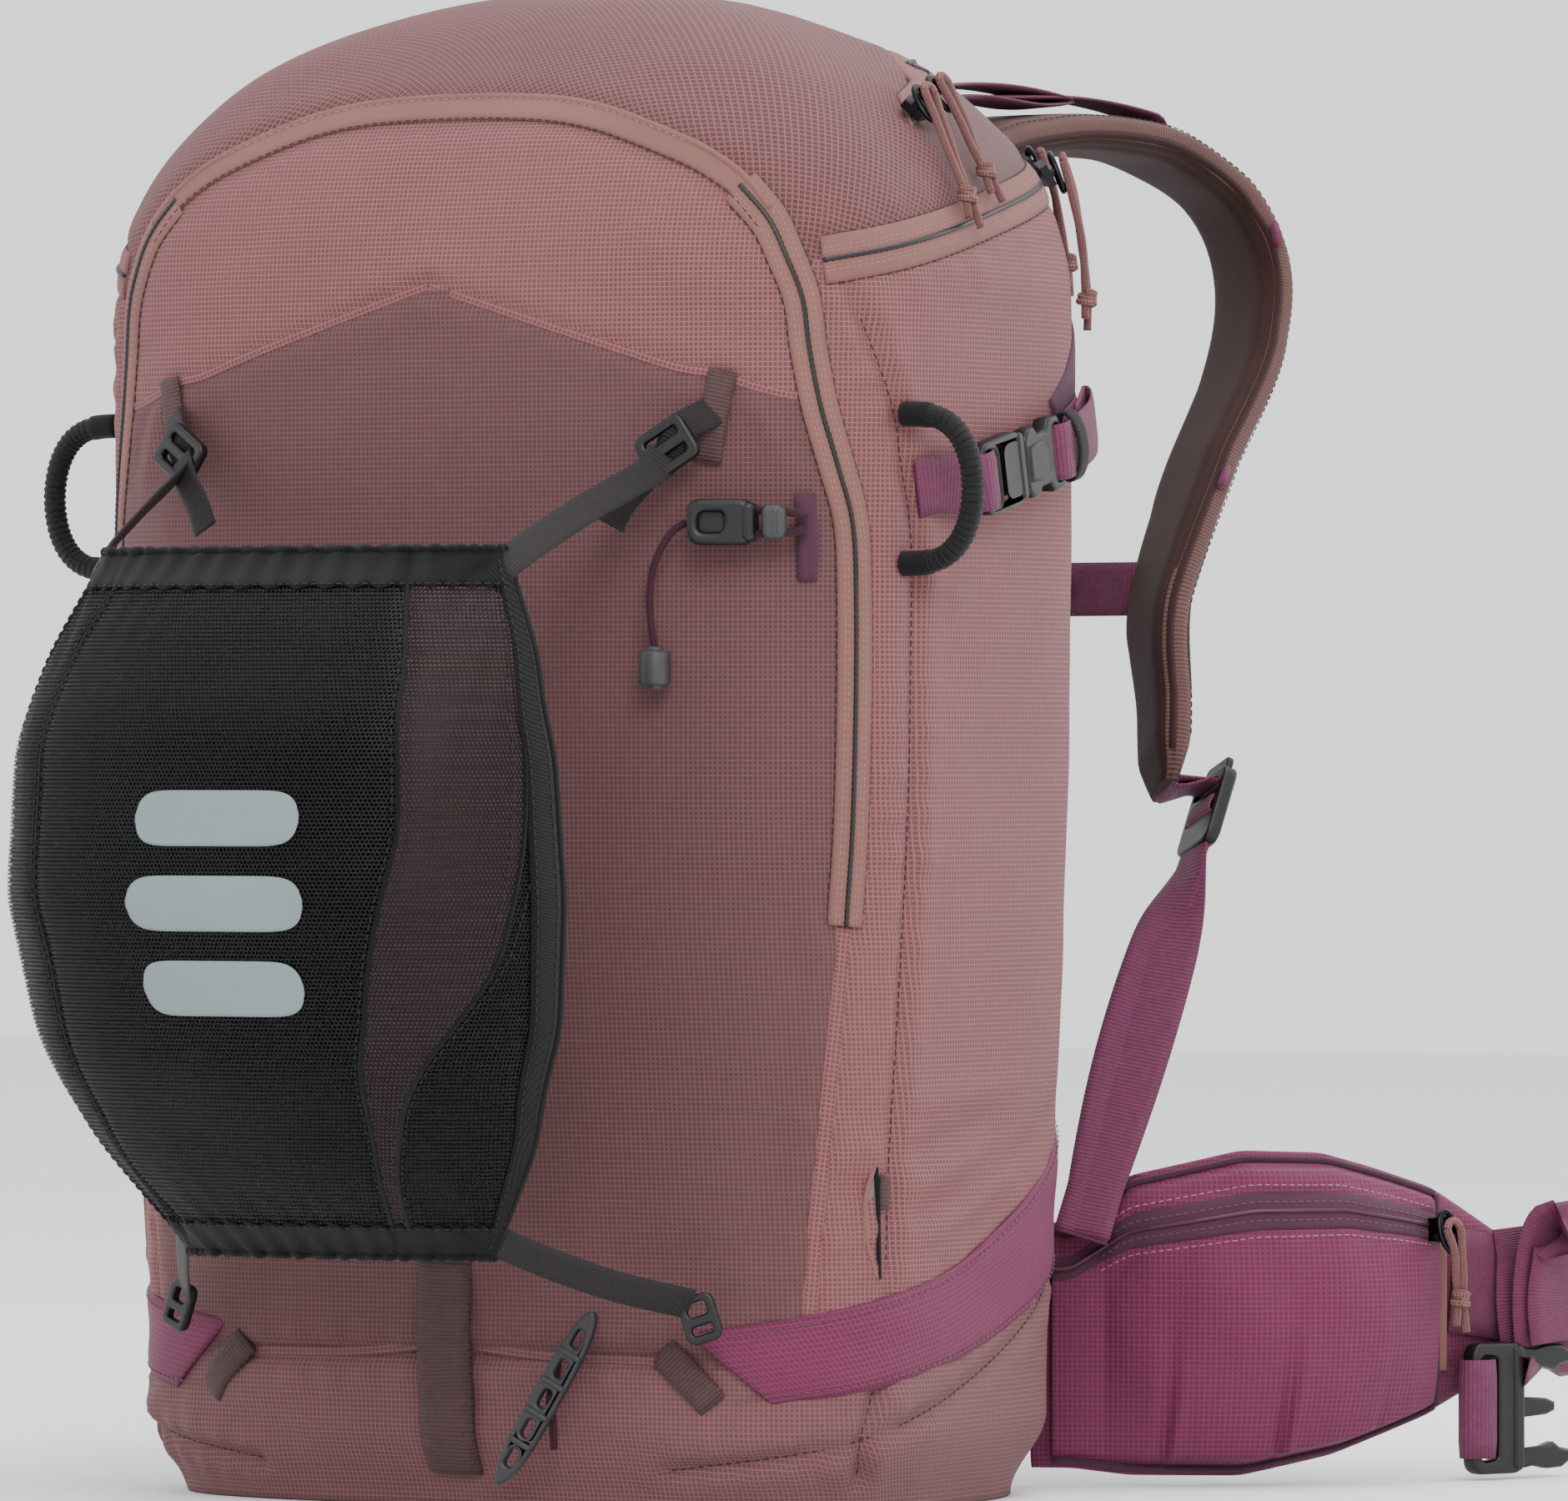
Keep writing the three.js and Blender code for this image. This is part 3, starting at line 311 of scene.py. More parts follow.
def on_bag_strip(name, path, width, thick, low, material, step=2.5, columns=9, rise=None, lead=0.0):
    """Strip of cloth along [s, z] stations, `low` off the bag; `lead` slants its first end."""
    line = spline(path, max(6, int(lengths(np.asarray(path, float))[-1] / step)))
    ahead = unit(np.gradient(line, axis=0))
    t = np.linspace(0, 1, len(line))
    wide = width(t) if callable(width) else np.full(len(line), float(width))
    f = np.linspace(-1, 1, columns)
    s = line[:, None, 0] - ahead[:, None, 1] * f[None, :] * wide[:, None] / 2
    z = line[:, None, 1] + ahead[:, None, 0] * f[None, :] * wide[:, None] / 2
    s = s - lead * f[None, :] * (1 - t[:, None]) ** 4
    crown = thick * (1 - 0.55 * np.abs(f) ** 6)[None, :] * np.ones_like(s)
    if rise is not None:
        crown = crown + rise(t[:, None], f[None, :])
    top = on_bag(s, z, low + crown)
    bottom = on_bag(s, z, np.full(s.shape, float(low)))[:, ::-1]
    rings = np.concatenate([top, bottom], 1)
    u = np.broadcast_to(lengths(line)[:, None], (len(line), 2 * columns))
    v = np.concatenate([f[None, :] * wide[:, None] / 2, f[None, ::-1] * wide[:, None] / 2], 1)
    return section_loft(name, rings, material, np.stack([u, v], -1))


def tube(name, points, radius, material, sides=10, count=None):
    p = spline(points, count) if count else np.asarray(points, float)
    tangent = unit(np.gradient(p, axis=0))
    normal = [unit(np.cross(tangent[0], [0.31, 0.2, 0.93]))]
    for t in tangent[1:]:
        n = normal[-1] - t * np.dot(normal[-1], t)
        normal.append(unit(n))
    normal = np.asarray(normal)
    other = np.cross(tangent, normal)
    a = np.linspace(0, 2 * math.pi, sides, endpoint=False)
    r = np.broadcast_to(np.asarray(radius, float), (len(p),))[:, None, None]
    rings = p[:, None] + r * (
        normal[:, None] * np.cos(a)[None, :, None] + other[:, None] * np.sin(a)[None, :, None]
    )
    u = np.broadcast_to(lengths(p)[:, None], (len(p), sides))
    v = np.broadcast_to((a * np.mean(r))[None, :], (len(p), sides))
    return section_loft(name, rings, material, np.stack([u, v], -1))


def outline(width, height, radius, cx=0.0, cy=0.0, steps=5):
    """Rounded rectangle as a list of points, anticlockwise."""
    points = []
    w, h = width / 2 - radius, height / 2 - radius
    for k, (sx, sy) in enumerate(((1, 1), (-1, 1), (-1, -1), (1, -1))):
        for i in range(steps + 1):
            a = math.pi / 2 * (k + i / steps)
            points.append((cx + sx * w + radius * math.cos(a), cy + sy * h + radius * math.sin(a)))
    return points


def moulding(name, outer, holes, thick, material, bevel=0.8):
    """Moulded plate with slots and rounded edges, flat in its own XY plane."""
    curve = bpy.data.curves.new(name, "CURVE")
    curve.dimensions = "2D"
    curve.fill_mode = "BOTH"
    for points in [outer, *holes]:
        line = curve.splines.new("POLY")
        line.points.add(len(points) - 1)
        for i, (x, y) in enumerate(points):
            line.points[i].co = (x * MM, y * MM, 0, 1)
        line.use_cyclic_u = True
    curve.extrude = (thick / 2 - bevel) * MM
    curve.bevel_depth = bevel * MM
    curve.bevel_resolution = 2
    curve.offset = -bevel * MM
    source = bpy.data.objects.new(name + "_curve", curve)
    bpy.context.scene.collection.objects.link(source)
    graph = bpy.context.evaluated_depsgraph_get()
    graph.update()
    mesh = bpy.data.meshes.new_from_object(source.evaluated_get(graph))
    bpy.data.objects.remove(source)
    bpy.data.curves.remove(curve)
    bm = bmesh.new()
    bm.from_mesh(mesh)
    bmesh.ops.remove_doubles(bm, verts=bm.verts, dist=1e-6)
    bm.to_mesh(mesh)
    bm.free()
    mesh.materials.clear()
    mesh.name = name
    return link(name, mesh, material)


def place(piece, origin, across, out):
    """Moves a piece's mesh so that its own X and Z point along `across` and `out` at `origin`."""
    z = Vector(unit(out))
    x = Vector(across)
    x = (x - z * x.dot(z)).normalized()
    y = z.cross(x)
    m = Matrix((x, y, z)).transposed().to_4x4()
    m.translation = Vector(np.asarray(origin, float) * MM)
    piece.data.transform(m)
    return piece


def stitches(name, points, outs, material, length=2.2, gap=1.2, width=0.55, height=0.4):
    """Row of thread stitches along points in millimetres, standing on the cloth."""
    p = np.asarray(points, float)
    gone = lengths(p)
    outs = unit(np.broadcast_to(np.asarray(outs, float), p.shape))
    starts = np.arange(gap / 2, gone[-1] - length, length + gap)

    def at(d):
        return np.stack([np.interp(d, gone, p[:, k]) for k in range(3)], -1)

    verts, faces = [], []
    a, b = at(starts), at(starts + length)
    n = unit(np.stack([np.interp(starts, gone, outs[:, k]) for k in range(3)], -1))
    side = unit(np.cross(b - a, n)) * width / 2
    for i in range(len(starts)):
        base = len(verts)
        mid = (a[i] + b[i]) / 2
        for q, w, h in (
            (a[i], 0.5, 0.0), (a[i] * 0.75 + mid * 0.25, 1, 0.8), (b[i] * 0.75 + mid * 0.25, 1, 0.8),
            (b[i], 0.5, 0.0)
        ):
            verts += [q + side[i] * w, q + n[i] * height * max(h, 0.15), q - side[i] * w, q - n[i] * 0.2]
        for k in range(3):
            for j in range(4):
                m = (j + 1) % 4
                faces.append((base + 4 * k + j, base + 4 * k + m, base + 4 * k + 4 + m, base + 4 * k + 4 + j))
        faces.append((base + 3, base + 2, base + 1, base))
        faces.append((base + 12, base + 13, base + 14, base + 15))
    return mesh_piece(name, verts, faces, material)


# ---- materials ------------------------------------------------------------------------------
class Shader:
    """Short hand for building a node material."""

    def __init__(self, name, base, rough, metal=0.0, **sockets):
        self.material = bpy.data.materials.new(name)
        self.material.use_nodes = True
        self.tree = self.material.node_tree
        self.bsdf = self.tree.nodes["Principled BSDF"]
        self.bsdf.inputs["Base Color"].default_value = (*base, 1)
        self.bsdf.inputs["Roughness"].default_value = rough
        self.bsdf.inputs["Metallic"].default_value = metal
        for key, value in sockets.items():
            self.bsdf.inputs[key.replace("_", " ")].default_value = value

    def node(self, kind, **values):
        n = self.tree.nodes.new("ShaderNode" + kind)
        for key, value in values.items():
            if hasattr(n, key):
                setattr(n, key, value)
            else:
                n.inputs[key.replace("_", " ")].default_value = value
        return n

    def wire(self, source, target):
        self.tree.links.new(source, target)
        return target

    def math(self, operation, a, b=None, c=None, clamp=False):
        n = self.node("Math", operation=operation, use_clamp=clamp)
        for socket, value in zip(n.inputs, (a, b, c)):
            if value is None:
                continue
            if isinstance(value, (int, float)):
                socket.default_value = value
            else:
                self.wire(value, socket)
        return n.outputs[0]

    def mix(self, amount, a, b):
        n = self.node("Mix", data_type="RGBA")
        for socket, value in ((n.inputs[0], amount), (n.inputs[6], a), (n.inputs[7], b)):
            if isinstance(value, (int, float)):
                socket.default_value = value
            elif isinstance(value, tuple):
                socket.default_value = (*value, 1)
            else:
                self.wire(value, socket)
        return n.outputs[2]

    def weave(self):
        """Cloth coordinates in millimetres along and across."""
        split = self.node("SeparateXYZ")
        self.wire(self.node("UVMap", uv_map="weave").outputs[0], split.inputs[0])
        return split.outputs[0], split.outputs[1]

    def place(self):
        """The point itself, in millimetres."""
        geometry = self.node("TexCoord")
        split = self.node("VectorMath", operation="SCALE")
        self.wire(geometry.outputs["Object"], split.inputs[0])
        split.inputs["Scale"].default_value = 1000
        return split.outputs[0]

    def lines(self, along, pitch, share, soft=0.12):
        """1 on a line, 0 between lines, at every `pitch` millimetres."""
        t = self.math("FRACT", self.math("DIVIDE", along, pitch))
        off = self.math("ABSOLUTE", self.math("SUBTRACT", t, 0.5))
        return self.math("DIVIDE", self.math("SUBTRACT", share / 2 + soft, off), soft, clamp=True)

    def noise(self, scale, detail=3.0, vector=None, rough=0.5):
        n = self.node("TexNoise", Scale=scale, Detail=detail, Roughness=rough)
        self.wire(vector or self.place(), n.inputs["Vector"])
        return n.outputs[0]

    def ramp(self, value, low, high):
        return self.math("DIVIDE", self.math("SUBTRACT", value, low), high - low, clamp=True)

    def bump(self, height, distance, strength=1.0):
        n = self.node("Bump", Strength=strength, Distance=distance * MM)
        self.wire(height, n.inputs["Height"])
        self.wire(n.outputs[0], self.bsdf.inputs["Normal"])

    def colour(self, value):
        self.wire(value, self.bsdf.inputs["Base Color"])

    def roughness(self, value):
        self.wire(value, self.bsdf.inputs["Roughness"])


STUDIO = 0.47  # cloth is set darker than it looks, because the studio is bright


def linear(r, g, b):
    """Linear surface colour that shows as these 0-255 values under the studio light."""
    return tuple(
        STUDIO * ((v / 255 + 0.055) / 1.055) ** 2.4 if v > 10 else STUDIO * v / 3294.6 for v in (r, g, b)
    )


def shade_of(colour, k):
    return tuple(c * k for c in colour)


def ripstop(name, colour, line_gain=2.25, pitch=1.75, rough=0.62, diagonal=False):
    s = Shader(name, colour, rough, Sheen_Weight=0.03, Sheen_Roughness=0.45, Specular_IOR_Level=0.2)
    u, v = s.weave()
    if diagonal:
        u, v = s.math("ADD", u, v), s.math("SUBTRACT", u, v)
    warp, weft = s.lines(u, pitch, 0.16), s.lines(v, pitch, 0.16)
    net = s.math("MAXIMUM", warp, weft)
    thread = s.math(
        "MULTIPLY", s.math("SINE", s.math("MULTIPLY", u, 21)), s.math("SINE", s.math("MULTIPLY", v, 21))
    )
    cloud = s.noise(0.011, 3)
    fleck = s.noise(0.5, 2)
    body = s.mix(s.ramp(cloud, 0.25, 0.75), shade_of(colour, 0.86), shade_of(colour, 1.1))
    body = s.mix(s.math("MULTIPLY", s.ramp(fleck, 0.3, 0.7), 0.35), body, shade_of(colour, 0.82))
    s.colour(s.mix(s.math("MULTIPLY", net, 0.75), body, shade_of(colour, line_gain)))
    s.roughness(s.math("ADD", rough - 0.06, s.math("MULTIPLY", fleck, 0.12)))
    s.bump(s.math("ADD", net, s.math("MULTIPLY", thread, 0.3)), 0.16, 0.8)
    return s.material


def twill(name, colour, pitch=0.9, rough=0.7, depth=0.18):
    s = Shader(name, colour, rough, Sheen_Weight=0.04, Sheen_Roughness=0.5, Specular_IOR_Level=0.18)
    u, v = s.weave()
    wale = s.math("SINE", s.math("MULTIPLY", s.math("ADD", u, v), 2 * math.pi / pitch))
    cross = s.math("SINE", s.math("MULTIPLY", s.math("SUBTRACT", u, s.math("MULTIPLY", v, 0.6)), 9))
    height = s.math("ADD", s.math("MULTIPLY", wale, 0.6), s.math("MULTIPLY", cross, 0.4))
    cloud = s.noise(0.02, 3)
    body = s.mix(s.ramp(cloud, 0.25, 0.75), shade_of(colour, 0.84), shade_of(colour, 1.12))
    s.colour(s.mix(s.ramp(height, -1, 1), shade_of(colour, 0.72), body))
    s.bump(height, depth, 0.8)
    return s.material


def webbing(name, colour, rough=0.62, rib=1.5, gain=0.62):
    """Ribbed webbing: ribs run across, with a fine warp along it."""
    s = Shader(name, colour, rough, Sheen_Weight=0.04, Sheen_Roughness=0.4, Specular_IOR_Level=0.25)
    u, v = s.weave()
    ribs = s.math("ABSOLUTE", s.math("SINE", s.math("MULTIPLY", u, math.pi / rib)))
    warp = s.math(
        "SINE",
        s.math("ADD", s.math("MULTIPLY", v, 2 * math.pi / 0.9), s.math("MULTIPLY", u, math.pi / rib))
    )
    height = s.math("ADD", ribs, s.math("MULTIPLY", warp, 0.35))
    fleck = s.noise(0.35, 2)
    body = s.mix(s.ramp(fleck, 0.3, 0.75), shade_of(colour, 0.85), shade_of(colour, 1.12))
    s.colour(s.mix(s.ramp(height, 0.0, 0.75), shade_of(colour, gain), body))
    s.bump(height, 0.3, 0.85)
    return s.material


def foam_knit(name, colour, pitch=2.4):
    """Open knit over foam: staggered dimples."""
    s = Shader(name, colour, 0.8, Sheen_Weight=0.05, Sheen_Roughness=0.5, Specular_IOR_Level=0.12)
    u, v = s.weave()
    row = s.math("SINE", s.math("MULTIPLY", u, math.pi / pitch))
    column = s.math("SINE", s.math("MULTIPLY", v, math.pi / (pitch * 0.62)))
    cell = s.math("MULTIPLY", row, column)
    dimple = s.ramp(s.math("ABSOLUTE", cell), 0.25, 0.85)
    cloud = s.noise(0.03, 3)
    body = s.mix(s.ramp(cloud, 0.25, 0.75), shade_of(colour, 0.85), shade_of(colour, 1.1))
    s.colour(s.mix(dimple, body, shade_of(colour, 0.42)))
    s.bump(s.math("SUBTRACT", 1, dimple), 0.35, 0.8)
    return s.material


def open_net(name, colour, pitch=1.55, hole=0.40):
    """Knitted mesh with real holes, round in a staggered grid."""
    s = Shader(name, colour, 0.55, Sheen_Weight=0.0, Specular_IOR_Level=0.2)
    u, v = s.weave()
    a = s.math("DIVIDE", u, pitch)
    b = s.math("DIVIDE", v, pitch * 0.9)
    shift = s.math("MULTIPLY", s.math("MODULO", s.math("FLOOR", b), 2), 0.5)
    x = s.math("SUBTRACT", s.math("FRACT", s.math("ADD", a, shift)), 0.5)
    y = s.math("SUBTRACT", s.math("FRACT", b), 0.5)
    r = s.math("SQRT", s.math("ADD", s.math("MULTIPLY", x, x), s.math("MULTIPLY", y, y)))
    solid = s.ramp(r, hole - 0.05, hole + 0.05)
    s.wire(solid, s.bsdf.inputs["Alpha"])
    s.colour(s.mix(s.ramp(r, hole, 0.6), shade_of(colour, 0.7), shade_of(colour, 1.6)))
    s.bump(r, 0.25, 0.6)
    return s.material


def plastic(name, colour, rough=0.42, grain=1.6):
    """Moulded acetal: fine spark texture with scuffs."""
    s = Shader(name, colour, rough, Specular_IOR_Level=0.38)
    spark = s.noise(grain, 4)
    scuff = s.noise(0.12, 5, rough=0.65)
    s.colour(s.mix(s.ramp(scuff, 0.52, 0.8), shade_of(colour, 0.92), shade_of(colour, 1.45)))
    s.roughness(s.math("ADD", rough - 0.07, s.math("MULTIPLY", scuff, 0.2)))
    s.bump(spark, 0.05, 0.7)
    return s.material


def braid(name, colour, second, pitch=1.6):
    """Braided cord: two crossing helices of thread."""
    s = Shader(name, colour, 0.7, Sheen_Weight=0.05, Specular_IOR_Level=0.2)
    u, v = s.weave()
    turn = s.math("MULTIPLY", v, 2.2)
    a = s.math("SINE", s.math("ADD", s.math("MULTIPLY", u, 2 * math.pi / pitch), turn))
    b = s.math("SINE", s.math("SUBTRACT", s.math("MULTIPLY", u, 2 * math.pi / pitch), turn))
    height = s.math("MULTIPLY", a, b)
    s.colour(s.mix(s.ramp(height, -0.6, 0.6), second, colour))
    s.bump(height, 0.22, 0.9)
    return s.material


def metal(name, colour, rough=0.32):
    s = Shader(name, colour, rough, 1.0)
    scuff = s.noise(0.4, 5, rough=0.6)
    s.roughness(s.math("ADD", rough - 0.1, s.math("MULTIPLY", scuff, 0.25)))
    s.bump(scuff, 0.03, 0.5)
    return s.material


def thread(name, colour):
    s = Shader(name, colour, 0.65, Sheen_Weight=0.05, Specular_IOR_Level=0.25)
    s.bump(s.noise(2.5, 2), 0.08, 0.6)
    return s.material


MAUVE = linear(142, 90, 92)
# Darker mauve with painted shade: the lower front pocket under the chevron fold; the base cloth is lifted
# from it.
MAUVE_PAINTED_SHADE = linear(114, 75, 77)
PLUM = linear(130, 52, 88)
PLUM_WEB = linear(140, 62, 102)
ROSE = linear(180, 124, 116)
BROWN = linear(136, 98, 92)
BLACK = linear(19, 18, 20)
NET_BLACK = linear(8, 8, 9)
GREY = linear(78, 78, 80)

LOOK = {
    "shell": ripstop("shell_ripstop", MAUVE),
    "shell_dome": ripstop("dome_ripstop", shade_of(MAUVE, 0.68), line_gain=2.7, diagonal=True, pitch=2.6),
    # Painted shade: the shell cloth made darker for the lower front pocket, below the chevron fold.
    "shell_painted_shade": ripstop("pocket_ripstop_painted_shade", MAUVE_PAINTED_SHADE, line_gain=2.0),
    # Painted light: the base is the darker pocket cloth lifted by a third, to brighten the shade near the
    # floor.
    "shell_base_painted_light": ripstop("base_ripstop_painted_light", shade_of(MAUVE_PAINTED_SHADE, 1.32), line_gain=2.0),
    "panel": twill("side_twill", linear(146, 110, 110)),
    "plum_rip": ripstop("plum_ripstop", PLUM, line_gain=1.75, pitch=1.8, rough=0.55),
    "brown_web": webbing("brown_webbing", linear(104, 72, 74), rib=1.4),
    "plum_web": webbing("plum_webbing", PLUM_WEB),
    "plum_tape": twill("plum_tape", linear(112, 64, 90), pitch=0.8),
    "rose_tape": twill("rose_tape", ROSE, pitch=0.8, depth=0.1),
    "rose_thread": thread("rose_thread", linear(196, 156, 158)),
    "mauve_thread": thread("mauve_thread", linear(158, 112, 120)),
    "plum_thread": thread("plum_thread", linear(132, 92, 112)),
    "black_thread": thread("black_thread", linear(52, 50, 54)),
    "net_thread": thread("net_thread", linear(30, 29, 32)),
    "knit": foam_knit("strap_knit", BROWN, pitch=1.5),
    "back_knit": foam_knit("back_knit", linear(74, 60, 66), pitch=3.4),
    "lining": foam_knit("strap_lining", linear(80, 44, 40), pitch=1.0),
    "brown_tape": twill("brown_tape", linear(118, 84, 88), pitch=1.1),
    "black_web": webbing("black_webbing", BLACK, rib=1.3, gain=0.5),
    "black_tape": twill("black_tape", BLACK, pitch=0.7, depth=0.12),
    "net": open_net("helmet_net_mesh", NET_BLACK),
    "net_dense": foam_knit("net_backing", linear(18, 17, 20), pitch=1.6),
    "net_binding": twill("net_binding", NET_BLACK, pitch=1.2, depth=0.25),
    "carrier_web": webbing("carrier_webbing", linear(48, 42, 44), rib=1.2, gain=0.6),
    "toggle": plastic("toggle_grey", linear(62, 62, 64), 0.45),
    "black_plastic": plastic("black_acetal", linear(20, 20, 22)),
    "grey_plastic": plastic("grey_acetal", GREY, 0.5),
    "plum_web_fine": webbing("plum_belt_webbing", linear(138, 60, 96), rib=0.9, gain=0.75),
    "plum_coil": plastic("plum_coil", linear(96, 38, 62), 0.4),
    "coil": plastic("zip_coil", linear(34, 31, 34), 0.35),
    "zip_metal": metal("zip_metal", linear(58, 56, 60)),
    "pull_cord": braid("pull_cord", linear(184, 128, 122), linear(132, 82, 80)),
    "elastic": braid("elastic_cord", linear(96, 38, 58), linear(54, 22, 38), 1.4),
    "reflective": twill("reflective_bar", linear(172, 192, 194), pitch=1.5, rough=0.4, depth=0.1),
    "pale_lining": twill("pocket_lining", linear(176, 150, 152)),
    "stay": metal("stay_alloy", linear(150, 152, 156), 0.4),
    "sheet": plastic("frame_sheet", linear(205, 205, 200), 0.5),
}


# ---- camera, lights and floor ---------------------------------------------------------------
TARGET = Vector((61.5, 35.5, 266.0)) * MM
TURN = math.radians(30)
DISTANCE = 4.5
SEEN_WIDTH = 561.2

camera = bpy.data.objects.new("camera", bpy.data.cameras.new("camera"))
bpy.context.scene.collection.objects.link(camera)
camera.location = TARGET + Vector((math.sin(TURN), -math.cos(TURN), 0)) * DISTANCE
camera.rotation_euler = (TARGET - camera.location).to_track_quat("-Z", "Y").to_euler()
camera.data.sensor_width = 36
camera.data.lens = 36 * DISTANCE / (SEEN_WIDTH * MM)
camera.data.clip_end = 50
bpy.context.scene.camera = camera


def area_light(name, place_at, size, power, colour=(1, 1, 1)):
    light = bpy.data.lights.new(name, "AREA")
    light.shape = "RECTANGLE"
    light.size, light.size_y = size
    light.energy = power
    light.color = colour
    thing = bpy.data.objects.new(name, light)
    thing.location = place_at
    thing.rotation_euler = (Vector((0, 0, 0.27)) - thing.location).to_track_quat("-Z", "Y").to_euler()
    bpy.context.scene.collection.objects.link(thing)


# Soft boxes aimed at the pack: the key above the camera's side, the others lifting the shadows.
area_light("key", (1.5, -1.9, 1.9), (1.2, 1.2), 62)
area_light("fill", (-1.9, -1.6, 0.9), (1.8, 2.0), 14)
area_light("top", (0.2, 0.4, 2.4), (1.4, 1.4), 30)
area_light("rear", (1.6, 2.0, 1.2), (1.6, 1.8), 26)

world = bpy.data.worlds.new("studio")
world.use_nodes = True
world.node_tree.nodes["Background"].inputs[0].default_value = (0.93, 0.94, 0.96, 1)
world.node_tree.nodes["Background"].inputs[1].default_value = 1.55
bpy.context.scene.world = world

floor_mesh = bpy.data.meshes.new("floor")
floor_mesh.from_pydata([(-6, -6, 0), (6, -6, 0), (6, 6, 0), (-6, 6, 0)], [], [(0, 1, 2, 3)])
floor = link("floor", floor_mesh, Shader("floor_paint", (0.86, 0.86, 0.86), 0.8).material)
floor.location.z = cad_box[0][2] - 0.0002


# ---- zip sliders, pullers and their doubled, knotted cord pulls ------------------------------
def hanging_line(start, angle, z, drop):
    """Route of a cord that hangs down the bag from `start`, straight below it."""
    sweep = np.linspace(-math.pi / 2, math.pi / 2, 900)

    def below(down, off):
        p = bag_angle(sweep, z - down)
        turned = np.arctan2(p[:, 1] - AXIS_Y, p[:, 0])
        reach = np.hypot(p[:, 0], p[:, 1] - AXIS_Y)[turned <= angle][-1] + off
        return [reach * math.cos(angle), AXIS_Y + reach * math.sin(angle), z - down]

    return [start, below(6, 10), below(0.4 * drop, 7), below(0.7 * drop, 6), below(drop, 6)]


KNOT_TURNS = 2.6
KNOT_FROM_END = 12.5


def knot(name, centre, along, out, radius, material):
    """Overhand knot: two and a half turns of cord wrapped round the pair."""
    along, out = unit(along), unit(out)
    side = np.cross(along, out)
    turns = np.linspace(0, KNOT_TURNS, 64)
    a = turns * 2 * math.pi
    lift = (turns / KNOT_TURNS - 0.5) * 3.1 * radius
    swell = radius * (1.5 + 0.25 * np.cos(a * 0.5))
    points = (
        np.asarray(centre, float)
        + along * lift[:, None]
        + (side * np.cos(a)[:, None] + out * np.sin(a)[:, None]) * swell[:, None]
    )
    wrap = tube(name, points, radius * 0.92, material, 8)
    cross = np.array([-1.35, -0.5, 0.5, 1.35])
    bridge = np.asarray(centre, float) + along * (cross * radius * 1.1)[:, None] + out * (radius * 1.75)
    bridge = bridge + side * (cross * radius * 0.9)[:, None]
    return joined(name, [wrap, tube(name + "_over", bridge, radius * 0.85, material, 8, 10)])


def cord_pull(name, route, out, body, material, node):
    """Doubled cord along `route`, knotted near its end, with two short tails."""
    line = spline(route, 44)
    total = lengths(line)[-1]
    gone = lengths(line)
    tangent = unit(np.gradient(line, axis=0))
    out = unit(out)
    side = unit(np.cross(tangent, out))
    r = CORD / 2
    knot_at = total - KNOT_FROM_END
    t = gone / total
    pinch = 1 - 0.45 * np.exp(-(((gone - knot_at) / 5.0) ** 2)) + 0.55 * np.clip((gone - knot_at) / 12, 0, 1)
    loop_open = 1 + 0.9 * np.exp(-((gone / 7.0) ** 2))
    wobble = 0.5 * np.sin(t * 9.0 + len(name))
    pieces = []
    for k, sign in enumerate((-1, 1)):
        apart = (sign * r * pinch * loop_open)[:, None]
        lift = (sign * wobble * 0.6)[:, None]
        offset = side * apart + np.asarray(out) * lift
        stop = len(line) - (3 if k else 0)
        pieces.append(tube(f"{name}_{k}", (line + offset)[:stop], r, material, 8))
    first = line[0] + side[0] * r * 1.9
    last = line[0] - side[0] * r * 1.9
    over = line[0] - tangent[0] * 2.4
    pieces.append(
        tube(name + "_bight", [last, over - side[0] * 1.2, over + side[0] * 1.2, first], r, material, 8, 12)
    )
    i = int(np.searchsorted(gone, knot_at))
    pieces.append(knot(name + "_knot", line[i], tangent[i], out, r, material))
    piece = joined(name, pieces)
    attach(piece, body)
    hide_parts(node)
    return piece


def ring_puller(name, start, line, out, body):
    """Flat metal ring link between a slider and its cord."""
    start, out = np.asarray(start, float), unit(out)
    down = unit(np.asarray(line[1], float) - np.asarray(line[0], float))
    side = unit(np.cross(down, out))
    a = np.linspace(0, 2 * math.pi, 33)[:-1]
    loop = start + side * (3.7 * np.cos(a))[:, None] + down * (7.4 * np.sin(a) + 1.6)[:, None]
    loop = loop + out * (0.8 * np.sin(a))[:, None]
    rings = []
    tangent = unit(np.roll(loop, -1, 0) - np.roll(loop, 1, 0))
    b = np.linspace(0, 2 * math.pi, 9)[:-1]
    for p, t in zip(loop, tangent):
        n = unit(np.cross(t, out))
        rings.append([p + n * math.cos(x) * 1.2 + out * math.sin(x) * 1.1 for x in b])
    rings = np.asarray(rings)
    faces = grid_faces(len(rings), 8, closed=True)
    faces += [
        ((len(rings) - 1) * 8 + i, (len(rings) - 1) * 8 + (i + 1) % 8, (i + 1) % 8, i) for i in range(8)
    ]
    ring = outward(mesh_piece(name, rings, faces, LOOK["zip_metal"]))
    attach(ring, body)
    return ring


LID_SLIDERS = [(-14, 489, 40), (4, 493, 34)]
MAIN_SLIDERS = [(72, 470, 54), (84, 473, 44)]
PULL_START = 11.7

